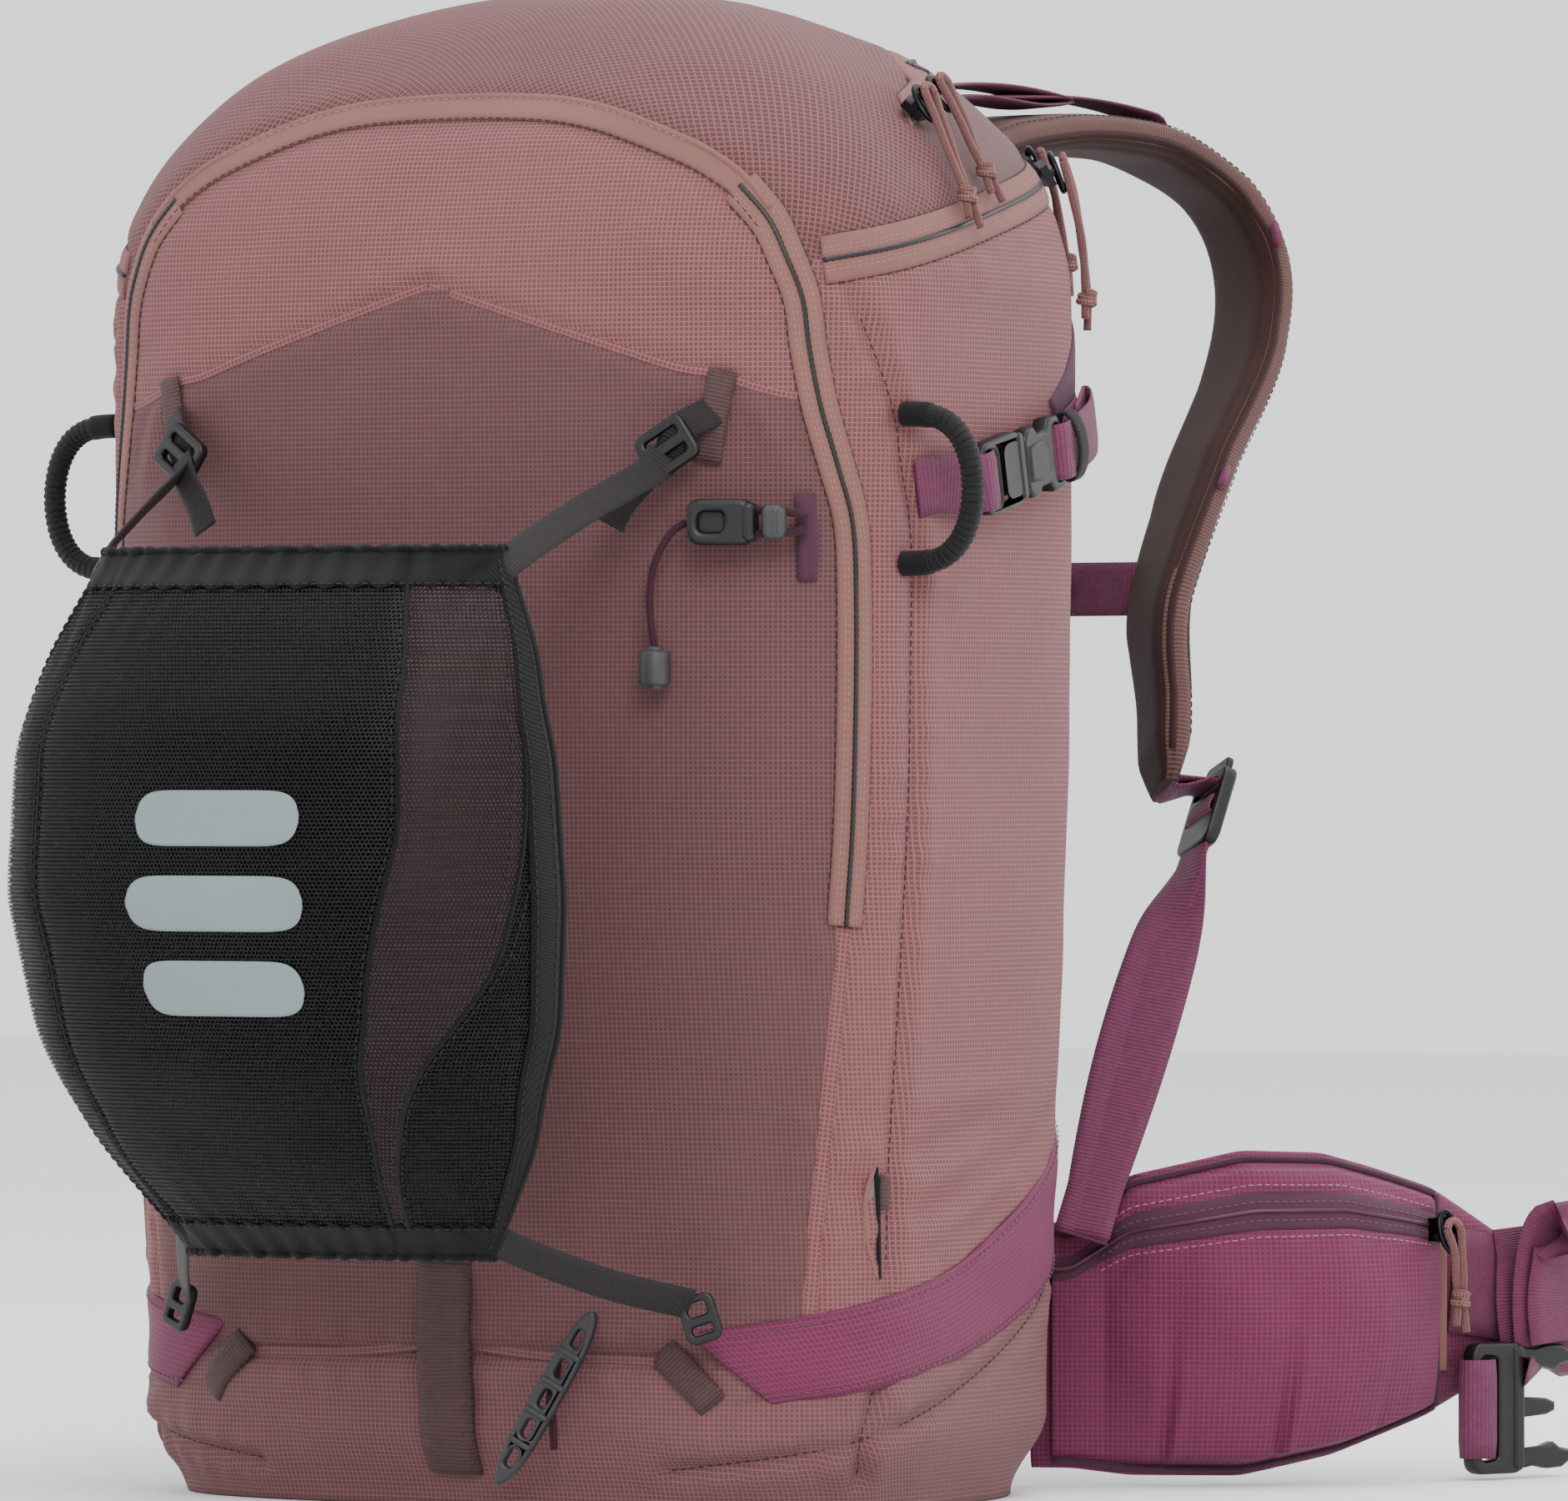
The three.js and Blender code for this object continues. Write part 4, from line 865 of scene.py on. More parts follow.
for kind, stations in (("lid", LID_SLIDERS), ("main", MAIN_SLIDERS)):
    for i, (y, z, drop) in enumerate(stations, 1):
        s = side_at(y, z)
        at = on_bag(s, z, 2.2)
        flat_out = np.array([at[0], at[1] - AXIS_Y, 0])
        foot = on_bag(s, z, 0.0)
        start = on_bag(s, z, PULL_START)
        angle = math.atan2(at[1] - AXIS_Y, at[0])
        route = hanging_line(start.tolist(), angle, z, drop)
        body = f"{kind}_zip_{i}"
        cord_pull(f"{kind}_pull_cord_{i}", route, flat_out, body, LOOK["pull_cord"], f"{kind}_pull_{i}")
        ring_puller(f"{kind}_ring_{i}", on_bag(s, z, 8.0), route, start - foot, body)


# ---- bag shell -----------------------------------------------------------------------------------
SHELL_PITCH = 2.4

# Height of the arched seam over the front pocket at each distance from the middle.
ARCH_X = [0, 20, 40, 56, 70, 88, 102, 116, 127, 133.4]
ARCH_Z = [492, 491.7, 490.3, 487.5, 483.5, 477, 471, 462, 450, 437]


def seam_y(z):
    """Depth of the front pocket's side seam, below its arch."""
    heights, depths = zip(*POCKET_SEAM)
    return np.interp(z, heights, depths)


def arch_height(x):
    """Height of the arched seam; nothing beyond its two feet."""
    return np.interp(np.abs(x), ARCH_X, ARCH_Z, right=0.0)


def zip_height(y):
    """Height of the main zip, which rises towards the back."""
    return 454 + 0.225 * np.asarray(y, float)


def lid_zip_height(y):
    """Height of the lid's zip."""
    return 492 + 0.28 * (np.asarray(y, float) + 10)


BASE_EDGE = ([-112, -98, -84, -66, -40, 0, 50, 88, 101, 112], [58, 55, 51, 56, 62, 72, 92, 115, 128, 136])


def base_height(y):
    """Height of the base's upper edge, which follows the side wings."""
    return np.interp(y, *BASE_EDGE)


def chevron_height(x):
    """Height of the seam across the front pocket: a wide V, flat at its ends."""
    x = np.abs(np.asarray(x, float))
    return np.where(x < 98, 429 - 0.306 * x, 399 - 10 * smooth(98, 140, x))


def rear_seam_y(z):
    """Depth of the side seam that the ski loops and compression straps start from."""
    return np.interp(z, [0, 340, 385, 436], [-50, -50, -58, -77])


def side_line(depth_at, heights):
    """[s, z] stations on the right side where the depth is depth_at(z)."""
    return [(side_at(float(depth_at(z)), float(z)), float(z)) for z in heights]


def round_line(height_at, depths):
    """[s, z] stations on the right side where the height is height_at(y)."""
    return [(side_at(float(y), float(height_at(y))), float(height_at(y))) for y in depths]


def mirror_line(path):
    return [(-s, z) for s, z in path]


def back_girth(z):
    """Girth position of the back centre line."""
    points = bag_angle(HALF_TURN, np.full(HALF_TURN.shape, float(z)))
    return lengths(points)[-1]


def girth_at_x(x, z):
    """Girth position on the front of the bag at this x and height."""
    low, high = 0.0, 260.0
    for _ in range(20):
        mid = (low + high) / 2
        if on_bag(mid, z)[0] < x:
            low = mid
        else:
            high = mid
    return low


ARCH_FOOT = side_line(seam_y, [205, 240, 280, 320, 345, 365, 385, 405, 423])
ARCH_ROUND = [(girth_at_x(x, z), float(z)) for x, z in zip(ARCH_X[:0:-1], ARCH_Z[:0:-1])]
ARCH_SIDE = ARCH_FOOT + ARCH_ROUND
ARCH = ARCH_SIDE + [(0.0, float(ARCH_Z[0]))] + mirror_line(ARCH_SIDE)[::-1]
ARCH_LOW = side_line(seam_y, [66, 100, 140, 175, 205])
REAR_SEAM = side_line(rear_seam_y, [12, 60, 120, 180, 240, 300, 340, 365, 385, 410, 436])
MAIN_ZIP = round_line(zip_height, [-80, -60, -30, 0, 30, 60, 85, 100, 107])
MAIN_ZIP += [(back_girth(478.3) - 40, 478.3), (back_girth(478.3) - 1, 478.4)]
LID_ZIP = round_line(lid_zip_height, [-14, 0, 20, 40, 60, 78])
LID_ZIP += [(back_girth(519) - 40, 518.6), (back_girth(519.4) - 1, 519.4)]


def chevron_line():
    stations = []
    for x in (0, 20, 40, 60, 80, 98, 110, 122, 134, 144):
        z = float(chevron_height(x))
        stations.append((girth_at_x(x, z), z))
    return stations


CHEVRON = chevron_line()
BASE_FRONT = [(s, float(base_height(on_bag(s, 70.0)[1]))) for s in (0, 40, 80, 110, 140, 165, 190)]
BASE_PANEL = [
    (side_at(-84, 14), 14.0), (side_at(-66, 22), 22.0), (side_at(-34, 33), 33.0), (side_at(8, 47), 47.0),
    (side_at(50, 66), 66.0), (side_at(92, 92), 92.0),
]


SEAM_STEP = 1.6
WING_WIDTH = [25, 31, 46]


def dense_on_bag(path, out=0.0):
    line = spline(path, max(8, int(lengths(np.asarray(path, float))[-1] / SEAM_STEP)))
    return on_bag(line[:, 0], line[:, 1], out)


def both(path):
    return [path, mirror_line(path)]


WING_POINTS = ((-84, 51), (-66, 56), (-40, 62), (0, 72), (50, 92), (88, 115), (101, 128))
WING = [(side_at(y, z), z) for y, z in WING_POINTS]

# Each seam: stations, how deep it sits, half of its flat width, size and pitch of its puckers.
SEAMS = []
for path, sink, flat, pucker, pitch in (
    (CHEVRON, 1.0, 0.8, 0.45, 19.0),
    (BASE_PANEL, 1.6, 0.8, 0.6, 15.0),
    (BASE_FRONT, 1.8, 0.8, 0.8, 16.0),
    (ARCH_LOW, 1.4, 0.8, 0.6, 14.0),
    (REAR_SEAM, 2.2, 0.8, 0.75, 15.0),
    (WING, 0.3, 14.0, 0.6, 21.0),
    (LID_ZIP, 0.7, 7.5, 0.5, 15.0),
    (MAIN_ZIP, 0.7, 9.0, 0.55, 17.0),
):
    SEAMS += [(line, sink, flat, pucker, pitch) for line in both(path)]
SEAMS.append((ARCH, 0.7, 7.0, 0.35, 13.0))

# Each fold: start and end as [s, z], height (a crease where negative) and half width.
S_REAR = side_at(-50, 120)
FOLDS = [
    (S_REAR + 4, 142, S_REAR + 86, 150, 1.5, 5.0), (S_REAR + 2, 124, S_REAR + 70, 139, -1.6, 4.0),
    (S_REAR + 4, 112, S_REAR + 60, 127, 1.8, 4.5), (S_REAR + 3, 101, S_REAR + 52, 113, -1.4, 3.5),
    (S_REAR + 4, 93, S_REAR + 96, 122, 1.6, 5.0), (S_REAR + 70, 116, S_REAR + 130, 146, -1.3, 5.0),
    (S_REAR - 4, 131, S_REAR - 46, 117, 1.4, 4.5), (S_REAR - 3, 118, S_REAR - 40, 104, -1.3, 4.0),
    (S_REAR + 2, 228, S_REAR + 74, 236, 0.9, 9.0), (S_REAR + 2, 300, S_REAR + 60, 292, -0.8, 8.0),
    (S_REAR + 12, 330, S_REAR + 52, 316, 0.9, 6.0), (S_REAR + 40, 262, S_REAR + 130, 270, -0.7, 10.0),
    (S_REAR - 6, 210, S_REAR - 32, 196, 0.9, 6.0), (S_REAR - 6, 330, S_REAR - 26, 318, -0.8, 5.0),
    (150, 18, 205, 62, 1.7, 7.0), (128, 12, 170, 54, -1.5, 5.0), (96, 54, 150, 30, 1.3, 7.0),
    (20, 46, 80, 56, 1.2, 7.0), (14, 30, 96, 20, -1.2, 7.0), (-30, 50, -110, 34, 1.5, 8.0),
    (-60, 22, -140, 40, -1.3, 6.0), (-120, 56, -160, 20, 1.6, 7.0), (-176, 60, -150, 16, -1.4, 6.0),
    (110, 78, 160, 100, 1.5, 6.0), (60, 84, 120, 92, -1.0, 7.0), (130, 140, 176, 118, 1.2, 6.0),
    (-118, 396, -134, 352, 1.9, 4.0), (-126, 398, -146, 356, -1.6, 3.5), (120, 400, 138, 360, 1.5, 4.5),
    (-30, 470, 60, 486, 0.8, 9.0), (80, 452, 118, 418, 0.8, 8.0), (-70, 452, -112, 430, -0.7, 8.0),
    (60, 512, 150, 494, 0.9, 8.0), (150, 500, 196, 462, -0.8, 7.0), (170, 486, 214, 470, 0.9, 6.0),
    (-60, 514, -140, 500, 0.8, 9.0), (230, 440, 320, 452, -0.8, 8.0), (200, 432, 300, 428, 0.8, 9.0),
]


def relief(points, s, z):
    """How far the cloth stands off the smooth bag: flat seams, puckers, folds and slack."""
    d = 0.55 * np.sin(points[:, 0] / 37 + 1.3) * np.sin(z / 41 + points[:, 1] / 53)
    d += 0.35 * np.sin(points[:, 0] / 17 + z / 23) * np.sin(points[:, 1] / 19 - z / 29 + 0.7)
    d += 0.14 * np.sin(s / 7.3 + 2.1 * np.sin(z / 31)) * np.sin(z / 9.7 + 1.7 * np.sin(s / 27))
    for s0, z0, s1, z1, height, wide in FOLDS:
        run = np.array([s1 - s0, z1 - z0])
        length = np.linalg.norm(run)
        t = ((s - s0) * run[0] + (z - z0) * run[1]) / length ** 2
        off = np.abs((s - s0) * run[1] - (z - z0) * run[0]) / length
        ends = smooth(-0.05, 0.18, t) * (1 - smooth(0.6, 1.1, t))
        d += height * ends * np.exp(-((off / wide) ** 2))
    for path, sink, flat, pucker, pitch in SEAMS:
        line = dense_on_bag(path)
        tree = KDTree(len(line))
        for i, p in enumerate(line):
            tree.insert(p, i)
        tree.balance()
        found = np.array([tree.find(p)[1:] for p in points])
        along, gap = found[:, 0] * SEAM_STEP, found[:, 1]
        wave = np.sin(along / pitch * 2 * math.pi + 1.9 * np.sin(along / 47)) * (
            0.6 + 0.4 * np.sin(along / 29)
        )
        d += pucker * wave * np.exp(-(((gap - flat) / 11) ** 2)) * smooth(flat * 0.6, flat + 4, gap)
        d += 0.5 * sink * bump(gap, flat + 7, 6)
        free = smooth(flat * 0.75, flat + 4.5, gap)
        d = d * free - sink * (1 - free)
    return d


def shell_grid():
    """Rows of points round the whole bag: flat foot, walls, then the dome."""
    foot = [(0.0, k) for k in np.linspace(0.04, 0.97, 14)]
    walls = [(z, 1.0) for z in np.arange(0, DOME_START, SHELL_PITCH)]
    swing = np.arange(0, math.pi / 2 - 0.02, SHELL_PITCH / 140)
    dome = [(DOME_START + (HEIGHT - DOME_START) * math.sin(a) ** (2 / 2.15), 1.0) for a in swing]
    rows = foot + walls + dome
    z = np.array([r[0] for r in rows])
    scale = np.array([r[1] for r in rows])
    half_columns = 200
    share = np.linspace(0, 1, half_columns + 1)
    points = bag_angle(HALF_TURN[:, None], z[None, :])
    gone = np.vstack([np.zeros(z.size), np.cumsum(np.linalg.norm(np.diff(points, axis=0), axis=2), axis=0)])
    angle = np.stack([np.interp(share * gone[-1, i], gone[:, i], HALF_TURN) for i in range(z.size)])
    girth = share[None, :] * gone[-1][:, None]
    zz = np.broadcast_to(z[:, None], angle.shape)
    p = bag_angle(angle, zz)
    n = bag_normal(angle, zz)
    p[..., :2] = p[..., :2] * scale[:, None, None]
    is_foot = scale < 1
    n[is_foot] = [0, 0, -1]
    n[len(foot)] = unit(n[len(foot)] + [0, 0, -1])
    left = slice(half_columns - 1, 0, -1)
    flip = np.array([-1, 1, 1])
    p = np.concatenate([p, p[:, left] * flip], 1)
    n = np.concatenate([n, n[:, left] * flip], 1)
    s = np.concatenate([girth, -girth[:, left]], 1)
    climb = np.concatenate([[0], np.cumsum(np.linalg.norm(np.diff(p[:, 0], axis=0), axis=1))])
    return p, n, s, np.broadcast_to(z[:, None], s.shape), np.broadcast_to(climb[:, None], s.shape), is_foot


def bag_shell():
    """The bag's cloth in four pieces that meet under the zips and seams."""
    p, n, s, z, climb, is_foot = shell_grid()
    rows, columns = s.shape
    flat = p.reshape(-1, 3)
    d = relief(flat, s.ravel(), z.ravel()).reshape(s.shape)
    d[is_foot] *= 0.25
    moved = p + n * d[..., None]
    moved[..., 2] = np.maximum(moved[..., 2], 0.05)
    polar_out = np.hypot(p[..., 0], p[..., 1] - AXIS_Y)
    polar = np.stack([p[..., 0], p[..., 1] - AXIS_Y], -1) / np.maximum(polar_out, 1e-6)[..., None]
    from_top = climb[-1, 0] - climb
    top_weave = polar * from_top[..., None]
    points = np.vstack([moved.reshape(-1, 3), [[0, AXIS_Y, HEIGHT - 0.3], [0, 0, 0.05]]])
    weave_wall = np.vstack([np.stack([s, climb], -1).reshape(-1, 2), [[0, 0], [0, 0]]])
    weave_top = np.vstack([top_weave.reshape(-1, 2), [[0, 0], [0, 0]]])
    faces = np.array(grid_faces(rows, columns, closed=True))
    crown = rows * columns
    ring = (rows - 1) * columns
    caps = [[ring + i, ring + (i + 1) % columns, crown, crown] for i in range(columns)]
    caps += [[(i + 1) % columns, i, crown + 1, crown + 1] for i in range(columns)]
    faces = np.vstack([faces, caps])
    rest = np.vstack([flat, [[0, AXIS_Y, HEIGHT], [0, 0, 0]]])
    middle = rest[faces].mean(1)
    x, y, h = middle.T
    is_base = h < base_height(y)
    is_pocket = ~is_base & np.where(h < ARCH_Z[-1], y < seam_y(h), (h < arch_height(x)) & (y < 0))
    is_lid = ~is_base & ~is_pocket & (h > zip_height(y))
    is_trunk = ~(is_base | is_pocket | is_lid)
    # Faces below the chevron take the darker cloth, which is painted shade under the chevron fold.
    under_chevron_painted_shade = h < chevron_height(x)
    twill_zone = (h < lid_zip_height(y)) & (y > -14)
    for name, mask, looks, choice, weave in (
        ("main_bag_shell", is_trunk, ["shell"], None, weave_wall),
        ("lid_shell", is_lid, ["shell_dome", "panel"], twill_zone, weave_top),
        ("front_pocket_shell", is_pocket, ["shell", "shell_painted_shade"], under_chevron_painted_shade, weave_wall),
        # The base cloth carries painted light that brightens the shade near the floor.
        ("base_shell", is_base, ["shell_base_painted_light"], None, weave_wall),
    ):
        chosen = faces[mask]
        used, index = np.unique(chosen, return_inverse=True)
        index = index.reshape(chosen.shape)
        polygons = [f[:3].tolist() if f[2] == f[3] else f.tolist() for f in index]
        piece = mesh_piece(name, points[used], polygons, LOOK[looks[0]], weave[used])
        for extra in looks[1:]:
            piece.data.materials.append(LOOK[extra])
        if choice is not None:
            picked = choice[mask].astype(int)
            piece.data.polygons.foreach_set("material_index", picked[: len(piece.data.polygons)])
        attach(piece, "pack")
        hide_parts(name.replace("_shell", ""))


bag_shell()


# ---- seams, tapes and zips on the bag --------------------------------------------------------------
def pack_piece(piece):
    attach(piece, "pack")
    return piece


def seam_stitches(name, path, offset, material, sink=1.2, **sizes):
    line = spline(path, max(8, int(lengths(np.asarray(path, float))[-1] / 2)))
    ahead = unit(np.gradient(line, axis=0))
    line = line + np.stack([-ahead[:, 1], ahead[:, 0]], 1) * offset
    points = on_bag(line[:, 0], line[:, 1], -sink)
    outs = on_bag(line[:, 0], line[:, 1], 4.0) - points
    return pack_piece(stitches(name, points, outs, material, **sizes))


def zip_run(name, path, width, gap_rows, tape="rose_tape", low=-0.6):
    """Woven tape with a coil down its middle and stitched edges."""
    strip = on_bag_strip(name + "_tape", path, width, 1.5, low, LOOK[tape], columns=11)
    pack_piece(strip)
    line = spline(path, max(8, int(lengths(np.asarray(path, float))[-1] / 1.1)))
    count = len(line)
    phase = np.arange(count) % 2
    points = on_bag(line[:, 0], line[:, 1], low + 1.5)
    coil = tube(name + "_coil", points, 0.75 + 0.32 * phase, LOOK["coil"], 6)
    pack_piece(coil)
    for k, offset in enumerate(gap_rows):
        for side in (-1, 1):
            seam_stitches(
                f"{name}_stitch_{k}_{'ab'[side > 0]}", path, side * offset, LOOK["rose_thread"],
                sink=-(low + 1.35), length=1.3, gap=1.1, width=0.5, height=0.35,
            )
    for side in (-1, 1):
        seam_stitches(
            f"{name}_edge_{'ab'[side > 0]}", path, side * (width / 2 + 0.2), LOOK["black_thread"],
            sink=-(low + 0.2), length=2.4, gap=1.4, width=0.7, height=0.5,
        )


def side_name(k):
    return ("right", "left")[k]


POCKET_ZIP = ARCH_FOOT + ARCH_ROUND[:3]
for k, path in enumerate(both(POCKET_ZIP)):
    zip_run(f"pocket_zip_{side_name(k)}", path, 13.0, (2.6, 3.9))
for k, path in enumerate(both(MAIN_ZIP)):
    zip_run(f"main_zip_{side_name(k)}", path, 17.0, (2.6, 4.0))
for k, path in enumerate(both(LID_ZIP)):
    zip_run(f"lid_zip_{side_name(k)}", path, 14.0, (2.4, 3.6))

ARCH_TOP = ARCH_ROUND[1:] + [(0.0, float(ARCH_Z[0]))] + mirror_line(ARCH_ROUND[1:])[::-1]
pack_piece(on_bag_strip("arch_tape", ARCH_TOP, 8.0, 1.4, -0.6, LOOK["rose_tape"]))
arch_line = spline(ARCH_TOP, 200)
piping_line = on_bag(arch_line[:, 0], arch_line[:, 1] + 4.0, 0.2)
pack_piece(tube("arch_piping", piping_line, 1.3, LOOK["rose_tape"], 8))
seam_stitches("arch_stitch_low", ARCH_TOP, 4.2, LOOK["black_thread"], sink=-0.75)
seam_stitches("arch_stitch_high", ARCH_TOP, -3.0, LOOK["rose_thread"], sink=-0.75)

for name, path, sink in (
    ("rear_seam", REAR_SEAM, 2.0), ("pocket_foot_seam", ARCH_LOW, 1.2), ("chevron_seam", CHEVRON, 0.8),
    ("base_front_seam", BASE_FRONT, 1.6), ("base_panel_seam", BASE_PANEL, 1.4),
):
    for k, line in enumerate(both(path)):
        seam_stitches(f"{name}_{side_name(k)}", line, 0.0, LOOK["black_thread"], sink=sink)

for k, line in enumerate(both(CHEVRON)):
    lift = [(a, b - 0.2) for a, b in line]
    pack_piece(
        on_bag_strip(f"chevron_fold_{side_name(k)}", lift, 3.4, 0.7, -1.1, LOOK["shell"], columns=5),
    )
lid_panel_edge = [(side_at(-14, z), z) for z in (453.0, 462.0, 472.0, 482.0, 490.0)]
for k, line in enumerate(both(lid_panel_edge)):
    pack_piece(
        on_bag_strip(f"lid_panel_fold_{side_name(k)}", line, 6.5, 0.9, -1.0, LOOK["panel"], columns=7),
    )
for k, line in enumerate(both(ARCH_LOW)):
    pack_piece(
        on_bag_strip(f"pocket_fold_{side_name(k)}", line, 6.2, 1.0, -1.3, LOOK["shell"], columns=7),
    )
    edge = [(a - (2.9 if k == 0 else -2.9), b) for a, b in line]
    seam_stitches(f"pocket_fold_stitch_{side_name(k)}", edge, 0.0, LOOK["black_thread"], sink=1.0)
# Fold strips along the base's front seam, in the base cloth with its painted light.
for k, line in enumerate(both([(0.0, base_height(-112.0)), *BASE_FRONT[1:]])):
    pack_piece(
        on_bag_strip(f"base_fold_{side_name(k)}", line, 4.0, 0.8, -1.5, LOOK["shell_base_painted_light"], columns=5),
    )


# ---- shoulder harness -------------------------------------------------------------------------------
STRAP_LINE = [
    (46, 134, 456), (46, 150, 478), (50, 190, 491), (58, 240, 496), (70, 292, 492), (84, 325, 474),
    (95, 330, 446), (101, 311, 410), (106, 265, 364), (113, 225, 318), (122, 211, 280), (128, 200, 251),
]
STRAP_TURN = ([0, 0.2, 0.34, 0.62, 1], [0, -6, -38, -45, -50])
STRAP_WIDTH = ([0, 0.2, 0.6, 0.85, 1], [52, 58, 60, 52, 38])
STRAP_THICK = 15.0
LOCK_AT = np.array([141, 208, 243.0])
WEB_FOOT = np.array([138, 129, 108.0])
LOWER_FACE = ((0.93, 0.36, 0.0), (0.80, 0.6, 0.0))  # directions of the two runs' widths below the lock
LOWER_SIDE = np.array([0.87, 0.5, 0.0])
FOOT_PAST = 1.13  # the webbing runs on past its foot, in behind the hip fin


def strap_frame(t, line):
    """Width and outward directions along the strap at fractions t."""
    tangent = unit(np.gradient(line, axis=0))
    turn = np.radians(np.interp(t, *STRAP_TURN))
    across = np.stack([np.cos(turn), np.sin(turn), np.zeros_like(turn)], -1)
    across = unit(across - tangent * (across * tangent).sum(1, keepdims=True))
    return across, np.cross(across, tangent)


def strap_section(count):
    """Foam section: flat inner face, crowned outer face and a bound edge, as [across, out]."""
    a = np.linspace(0, 2 * math.pi, count, endpoint=False)
    c, s = np.cos(a), np.sin(a)
    return np.sign(c) * np.abs(c) ** 0.38, np.sign(s) * np.abs(s) ** 0.62


def harness_piece(piece, body="harness"):
    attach(piece, body)
    return piece


def shoulder_strap(side):
    line = spline(STRAP_LINE, 150)
    t = lengths(line) / lengths(line)[-1]
    across, out = strap_frame(t, line)
    w = np.interp(t, *STRAP_WIDTH) / 2
    round_end = np.sqrt(np.clip(1 - ((t - 0.955) / 0.048).clip(0, 1) ** 2, 0.02, 1))
    w = w * np.where(t > 0.955, 0.35 + 0.65 * round_end, 1)
    slack = 0.7 * np.sin(t * 60) * bump(t, 0.4, 0.12) + 0.5 * np.sin(t * 95) * bump(t, 0.14, 0.08)
    thin_root = np.minimum(1, 0.35 + 0.65 * smooth(0, 0.04, t))
    thin_tip = 0.5 + 0.5 * (1 - smooth(0.965, 1, t))
    h = STRAP_THICK / 2 * thin_root * thin_tip
    x, y = strap_section(40)
    groove = 1 - 0.16 * bump(np.abs(x), 0.84, 0.05)
    outer = np.where(y > 0, 0.86, 1.0) * y * groove
    rings = line[:, None] + across[:, None] * (x[None, :, None] * w[:, None, None])
    rings = rings + out[:, None] * (outer[None, :, None] * h[:, None, None] + slack[:, None, None] * 0.5)
    u = np.broadcast_to((t * lengths(line)[-1])[:, None], (150, 40))
    ring_run = np.concatenate([[0], np.cumsum(np.hypot(np.diff(x) * 33, np.diff(y) * 7.5))])
    v = np.broadcast_to(ring_run[None, :], (150, 40))
    strap_piece = section_loft(f"shoulder_foam_{side}", rings, LOOK["knit"], np.stack([u, v], -1))
    strap_piece.data.materials.append(LOOK["lining"])
    inner = out[:, None] * -1
    for poly in strap_piece.data.polygons:
        row = min(poly.vertices[0] // 40, 149)
        if len(poly.vertices) == 4 and Vector(inner[row, 0]).dot(poly.normal) > 0.55:
            poly.material_index = 1
    edges = []
    for k, sign in enumerate((-1, 1)):
        rim = line + across * (sign * (w - 0.6))[:, None] + out * (-0.25 * h)[:, None]
        edges.append(tube(f"shoulder_edge_{side}_{k}", rim[4:-3], 1.5, LOOK["lining"], 8))
    for k, sign in enumerate((-1, 1)):
        run = line + across * (sign * (w * 0.84))[:, None] + out * (h * 0.74 + slack * 0.5)[:, None]
        edges.append(stitches(f"shoulder_stitch_{side}_{k}", run[5:-5], out[5:-5], LOOK["black_thread"]))
    return strap_piece, edges, line, across, out, t


def sided(piece, side, body, node=None):
    """Puts a right-hand piece on its side, gives it its body and hides its CAD node."""
    handed(piece, side)
    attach(piece, body)
    if node:
        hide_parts(f"{node}_{side}")
    return piece


def ladder_lock(name):
    body = moulding(
        name, outline(28, 32, 5), [outline(21, 4.6, 1.4, 0, 9), outline(21, 4.6, 1.4, 0, -2)], 5.4,
        LOOK["black_plastic"], 1.1,
    )
    tab = moulding(name + "_tab", outline(20, 7, 3, 0, 17.5), [], 2.6, LOOK["black_plastic"], 0.8)
    return joined(name, [body, tab])


